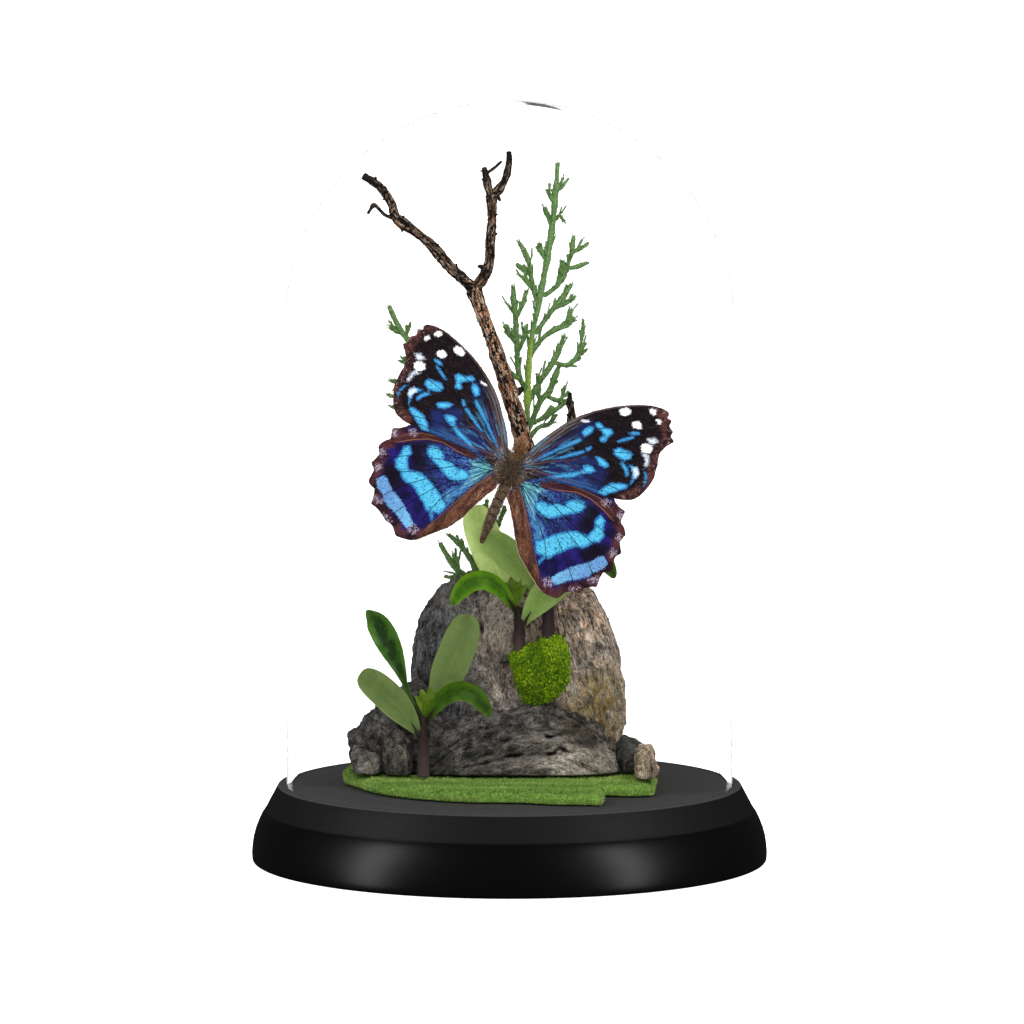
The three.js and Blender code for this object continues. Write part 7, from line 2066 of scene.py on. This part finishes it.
def fore_mat():
    m = Nodes("forewing_scales", rough=0.6, spec=0.08)
    A = {k: m.attr(k) for k in ("blue", "white", "pale", "indigo", "rear", "outer", "lead", "vein", "edge", "wa", "wb", "root", "ray", "under")}
    p = m.pos()
    streak = rays(m, A)
    fine = m.noise(5.5, 3, 0.7)
    scale = m.voronoi(4.2, p, "F1", "Color")
    sx = m.new("ShaderNodeSeparateXYZ")
    m.nt.links.new(scale, sx.inputs[0])
    cellr = sx.outputs["X"]
    grain = m.math("MULTIPLY_ADD", fine, 0.5, m.math("MULTIPLY", cellr, 0.5))
    slow = m.noise(0.30, 3, 0.55)
    col = m.mix(slow, srgb(12, 9, 12), srgb(26, 18, 24))
    col = m.mix(m.math("MULTIPLY", m.step(cellr, 0.80, 0.95), 0.4), col, srgb(70, 50, 56))
    ind = m.math("MULTIPLY", speckled(m, A["indigo"], -1.3, 1.2, grain, 0.8), m.step(slow, 0.25, 0.6))
    col = m.mix(m.math("MULTIPLY", ind, 0.85), col, m.mix(fine, srgb(12, 16, 58), srgb(30, 52, 122)))
    rear = speckled(m, A["rear"], -0.7, 0.7, grain, 0.6)
    col = m.mix(m.math("MULTIPLY", rear, 0.85), col, m.mix(fine, srgb(22, 44, 104), srgb(54, 112, 172)))
    # grey-brown striped area behind the leading edge near the root
    near = m.math("MULTIPLY", m.step(A["lead"], 2.6, 1.4), m.step(A["wa"], 15.5, 9.5))
    stripe = m.step(m.math("ABSOLUTE", m.math("SUBTRACT", m.math("FRACT", m.math("MULTIPLY", A["lead"], 1.15)), 0.5)), 0.42, 0.20)
    col = m.mix(m.math("MULTIPLY", near, 0.9), col, m.mix(stripe, srgb(38, 32, 38), srgb(98, 90, 88)))
    edge_l = m.math("MULTIPLY", m.step(A["lead"], 0.55, 0.2), m.step(A["wa"], 30, 22))
    col = m.mix(m.math("MULTIPLY", edge_l, 0.8), col, m.mix(fine, srgb(56, 46, 42), srgb(110, 96, 84)))
    # the root is streaked dark brown, grey and teal, with a reddish patch behind and a few pale specks
    rt = m.step(A["root"], 10.5, 3.5)
    rc = m.ramp(streak, [(0.36, srgb(18, 14, 16)), (0.46, srgb(58, 44, 42)), (0.54, srgb(44, 66, 84)), (0.60, srgb(126, 112, 100)), (0.70, srgb(70, 116, 130))])
    col = m.mix(m.math("MULTIPLY", rt, 0.85), col, rc)
    red = m.math("MULTIPLY", m.math("MULTIPLY", m.step(A["root"], 14.0, 6.0), m.step(A["wb"], 2.2, 0.2)), m.step(streak, 0.44, 0.56))
    col = m.mix(m.math("MULTIPLY", red, 0.7), col, m.mix(grain, srgb(74, 36, 34), srgb(146, 96, 92)))
    col = m.mix(m.math("MULTIPLY", m.math("MULTIPLY", m.step(A["root"], 7.0, 3.0), m.step(cellr, 0.90, 0.95)), 0.8), col, srgb(214, 160, 140))
    # teal dusting along the cells of the inner half
    dust = m.math("MULTIPLY", m.math("MULTIPLY", m.step(A["root"], 22.0, 9.0), m.step(streak, 0.50, 0.62)), m.step(A["vein"], 0.2, 0.7))
    col = m.mix(m.math("MULTIPLY", dust, 0.72), col, m.mix(grain, srgb(38, 84, 128), srgb(92, 164, 194)))
    # brown scalloped outer margin with lighter flecks
    brown = speckled(m, m.math("MULTIPLY", A["outer"], -1.0), -2.7, -1.4, grain, 0.6)
    col = m.mix(m.math("MULTIPLY", brown, 0.92), col, m.mix(m.step(slow, 0.42, 0.58), m.mix(grain, srgb(20, 10, 14), srgb(60, 32, 32)), m.mix(grain, srgb(46, 22, 22), srgb(108, 64, 58))))
    fleck = m.math("MULTIPLY", m.step(A["outer"], 2.4, 0.6), m.math("MULTIPLY", m.step(m.noise(1.3, 3, 0.6), 0.54, 0.64), m.step(cellr, 0.25, 0.6)))
    col = m.mix(m.math("MULTIPLY", fleck, 0.55), col, srgb(172, 146, 146))
    # blue marks
    b = speckled(m, A["blue"], -0.14, 0.16, grain, 0.42)
    core = m.step(A["blue"], 0.1, 0.8)
    bc = m.mix(core, srgb(48, 122, 176), m.mix(grain, srgb(62, 160, 204), srgb(96, 196, 230)))
    bc = m.mix(m.math("MULTIPLY", m.step(cellr, 0.74, 0.88), 0.75), bc, srgb(24, 56, 110))
    col = m.mix(b, col, bc)
    pale = speckled(m, A["pale"], -0.4, 0.5, grain, 0.5)
    col = m.mix(m.math("MULTIPLY", pale, 0.9), col, m.mix(grain, srgb(176, 196, 222), srgb(236, 238, 244)))
    w = speckled(m, A["white"], 0.00, 0.34, grain, 0.38)
    col = m.mix(w, col, m.mix(grain, srgb(226, 228, 236), srgb(252, 252, 254)))
    # veins: dark over the marks, brown near the root
    v = m.step(A["vein"], 0.17, 0.07)
    vc = m.mix(m.step(A["root"], 22, 8), srgb(14, 11, 14), srgb(104, 66, 62))
    col = m.mix(m.math("MULTIPLY", v, m.math("SUBTRACT", 0.92, m.math("MULTIPLY", w, 0.85))), col, vc)
    col = m.mix(m.math("MULTIPLY", m.step(A["edge"], 0.22, 0.05), 0.6), col, srgb(64, 44, 40))
    col = underside(m, col, A["under"], A["vein"], A["edge"], A["wa"], A["wb"])
    return m.done(col, m.math("MULTIPLY_ADD", grain, 0.2, 0.45), m.bump(grain, 0.35, 0.05, m.bump(m.noise(1.5, 3), 0.25, 0.12)))


def hind_mat():
    m = Nodes("hindwing_scales", rough=0.6, spec=0.08)
    A = {k: m.attr(k) for k in ("blue", "soft", "teal", "white", "dark", "costa", "anal", "outer", "lead", "vein", "edge", "wa", "wb", "root", "ray", "under")}
    p = m.pos()
    streak = rays(m, A)
    fine = m.noise(5.5, 3, 0.7)
    scale = m.voronoi(4.2, p, "F1", "Color")
    sx = m.new("ShaderNodeSeparateXYZ")
    m.nt.links.new(scale, sx.inputs[0])
    cellr = sx.outputs["X"]
    grain = m.math("MULTIPLY_ADD", fine, 0.5, m.math("MULTIPLY", cellr, 0.5))
    slow = m.noise(0.30, 3, 0.55)
    col = m.mix(m.step(slow, 0.35, 0.65), srgb(12, 8, 46), srgb(30, 22, 100))
    col = m.mix(m.math("MULTIPLY", m.step(fine, 0.5, 0.75), 0.35), col, srgb(48, 44, 134))
    dk = speckled(m, A["dark"], -1.2, 0.8, grain, 0.7)
    col = m.mix(m.math("MULTIPLY", dk, 0.88), col, srgb(16, 10, 20))
    # teal-green inner strip, speckled dark
    t = speckled(m, A["teal"], -0.35, 0.6, grain, 0.6)
    tc = m.mix(m.step(A["root"], 4.0, 13.0), m.mix(grain, srgb(44, 116, 124), srgb(110, 190, 184)), m.mix(grain, srgb(40, 78, 150), srgb(84, 158, 196)))
    tc = m.mix(m.math("MULTIPLY", m.step(streak, 0.50, 0.60), 0.7), tc, srgb(150, 206, 208))
    tc = m.mix(m.math("MULTIPLY", m.step(streak, 0.47, 0.38), 0.85), tc, srgb(16, 26, 52))
    tc = m.mix(m.math("MULTIPLY", m.step(cellr, 0.66, 0.88), 0.6), tc, srgb(26, 42, 88))
    # blue dusting spreads from the root between the bands
    spread = m.math("MULTIPLY", m.math("MULTIPLY", m.step(A["root"], 24.0, 8.0), m.step(m.math("ADD", m.math("MULTIPLY", streak, 0.6), m.math("MULTIPLY", grain, 0.4)), 0.46, 0.60)), 0.75)
    col = m.mix(spread, col, m.mix(grain, srgb(36, 78, 140), srgb(84, 150, 200)))
    col = m.mix(m.math("MULTIPLY", t, 0.9), col, tc)
    # brown costal band with a thin pale line
    cst = speckled(m, A["costa"], -0.35, 0.45, grain, 0.5)
    cc = m.mix(grain, srgb(40, 18, 20), srgb(92, 48, 40))
    cc = m.mix(m.math("MULTIPLY", m.step(slow, 0.40, 0.62), 0.5), cc, srgb(40, 20, 34))
    col = m.mix(m.math("MULTIPLY", cst, 0.95), col, cc)
    line = m.step(m.math("ABSOLUTE", m.math("SUBTRACT", A["costa"], 0.32)), 0.13, 0.03)
    col = m.mix(m.math("MULTIPLY", line, m.math("MULTIPLY", m.step(A["wa"], 8, 13), 0.5)), col, srgb(172, 122, 84))
    # outer margin
    brown = speckled(m, m.math("MULTIPLY", A["outer"], -1.0), -2.9, -1.5, grain, 0.8)
    col = m.mix(m.math("MULTIPLY", brown, 0.93), col, m.mix(m.step(slow, 0.42, 0.58), m.mix(grain, srgb(16, 8, 12), srgb(52, 26, 28)), m.mix(grain, srgb(38, 16, 18), srgb(98, 54, 50))))
    # blue bands
    b = speckled(m, A["blue"], -0.14, 0.18, grain, 0.50)
    bc = m.mix(m.step(A["blue"], 0.1, 0.9), srgb(46, 122, 176), m.mix(grain, srgb(60, 162, 200), srgb(98, 200, 230)))
    bc = m.mix(m.math("MULTIPLY", m.step(cellr, 0.70, 0.86), 0.78), bc, srgb(22, 58, 116))
    bc = m.mix(m.math("MULTIPLY", m.step(m.math("ADD", streak, m.math("MULTIPLY", fine, 0.4)), 0.62, 0.52), 0.35), bc, srgb(36, 92, 160))
    col = m.mix(b, col, bc)
    s = speckled(m, A["soft"], -0.14, 0.18, grain, 0.55)
    sc = m.mix(m.step(A["wa"], 14, 27), m.mix(grain, srgb(86, 158, 200), srgb(136, 206, 232)), m.mix(grain, srgb(56, 100, 156), srgb(124, 176, 220)))
    sc = m.mix(m.math("MULTIPLY", m.step(cellr, 0.78, 0.90), 0.7), sc, srgb(36, 44, 112))
    col = m.mix(s, col, sc)
    w = m.math("MULTIPLY", speckled(m, A["white"], -0.35, 0.45, grain, 0.7), m.step(grain, 0.40, 0.58))
    col = m.mix(m.math("MULTIPLY", w, 0.62), col, m.mix(fine, srgb(138, 116, 142), srgb(222, 210, 224)))
    # brown inner margin
    an = speckled(m, A["anal"], -0.25, 0.4, grain, 0.35)
    ac = m.ramp(m.math("ADD", m.math("MULTIPLY", streak, 0.75), m.math("MULTIPLY", grain, 0.25)), [(0.38, srgb(42, 23, 18)), (0.47, srgb(76, 45, 29)), (0.55, srgb(106, 68, 43)), (0.66, srgb(142, 106, 76))])
    ac = m.mix(m.math("MULTIPLY", m.step(A["anal"], 0.9, 0.0), 0.75), ac, srgb(48, 26, 30))
    col = m.mix(m.math("MULTIPLY", an, 0.95), col, ac)
    v = m.step(A["vein"], 0.17, 0.07)
    col = m.mix(m.math("MULTIPLY", v, 0.92), col, m.mix(m.step(A["anal"], -0.6, 0.2), srgb(12, 9, 18), srgb(112, 78, 60)))
    col = m.mix(m.math("MULTIPLY", m.step(A["edge"], 0.24, 0.05), m.math("MULTIPLY_ADD", m.step(A["anal"], -1.0, 0.0), 0.4, 0.4)), col, m.mix(m.step(A["anal"], -1.0, 0.0), srgb(66, 40, 36), srgb(196, 168, 132)))
    col = underside(m, col, A["under"], A["vein"], A["edge"], A["wa"], A["wb"])
    return m.done(col, m.math("MULTIPLY_ADD", grain, 0.2, 0.45), m.bump(grain, 0.35, 0.05, m.bump(m.noise(1.5, 3), 0.25, 0.12)))


FORE, HIND = fore_mat(), hind_mat()
wing("forewing_right_membrane", "forewing_right", FOREWING, None, 1, 0.45, "fore", FORE, 81)
wing("forewing_left_membrane", "forewing_left", FOREWING, FORE_LEFT, -1, 0.45, "fore", FORE, 82)
wing("hindwing_right_membrane", "hindwing_right", HINDWING, None, 1, -0.45, "hind", HIND, 83)
wing("hindwing_left_membrane", "hindwing_left", HINDWING, HIND_LEFT, -1, -0.45, "hind", HIND, 84)

# ------------------------------------------------------------------ sizes
def plain(b):
    return [[float(x) for x in p] for p in b]


{"cad": plain(CAD_BOX), "visual": plain(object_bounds())}
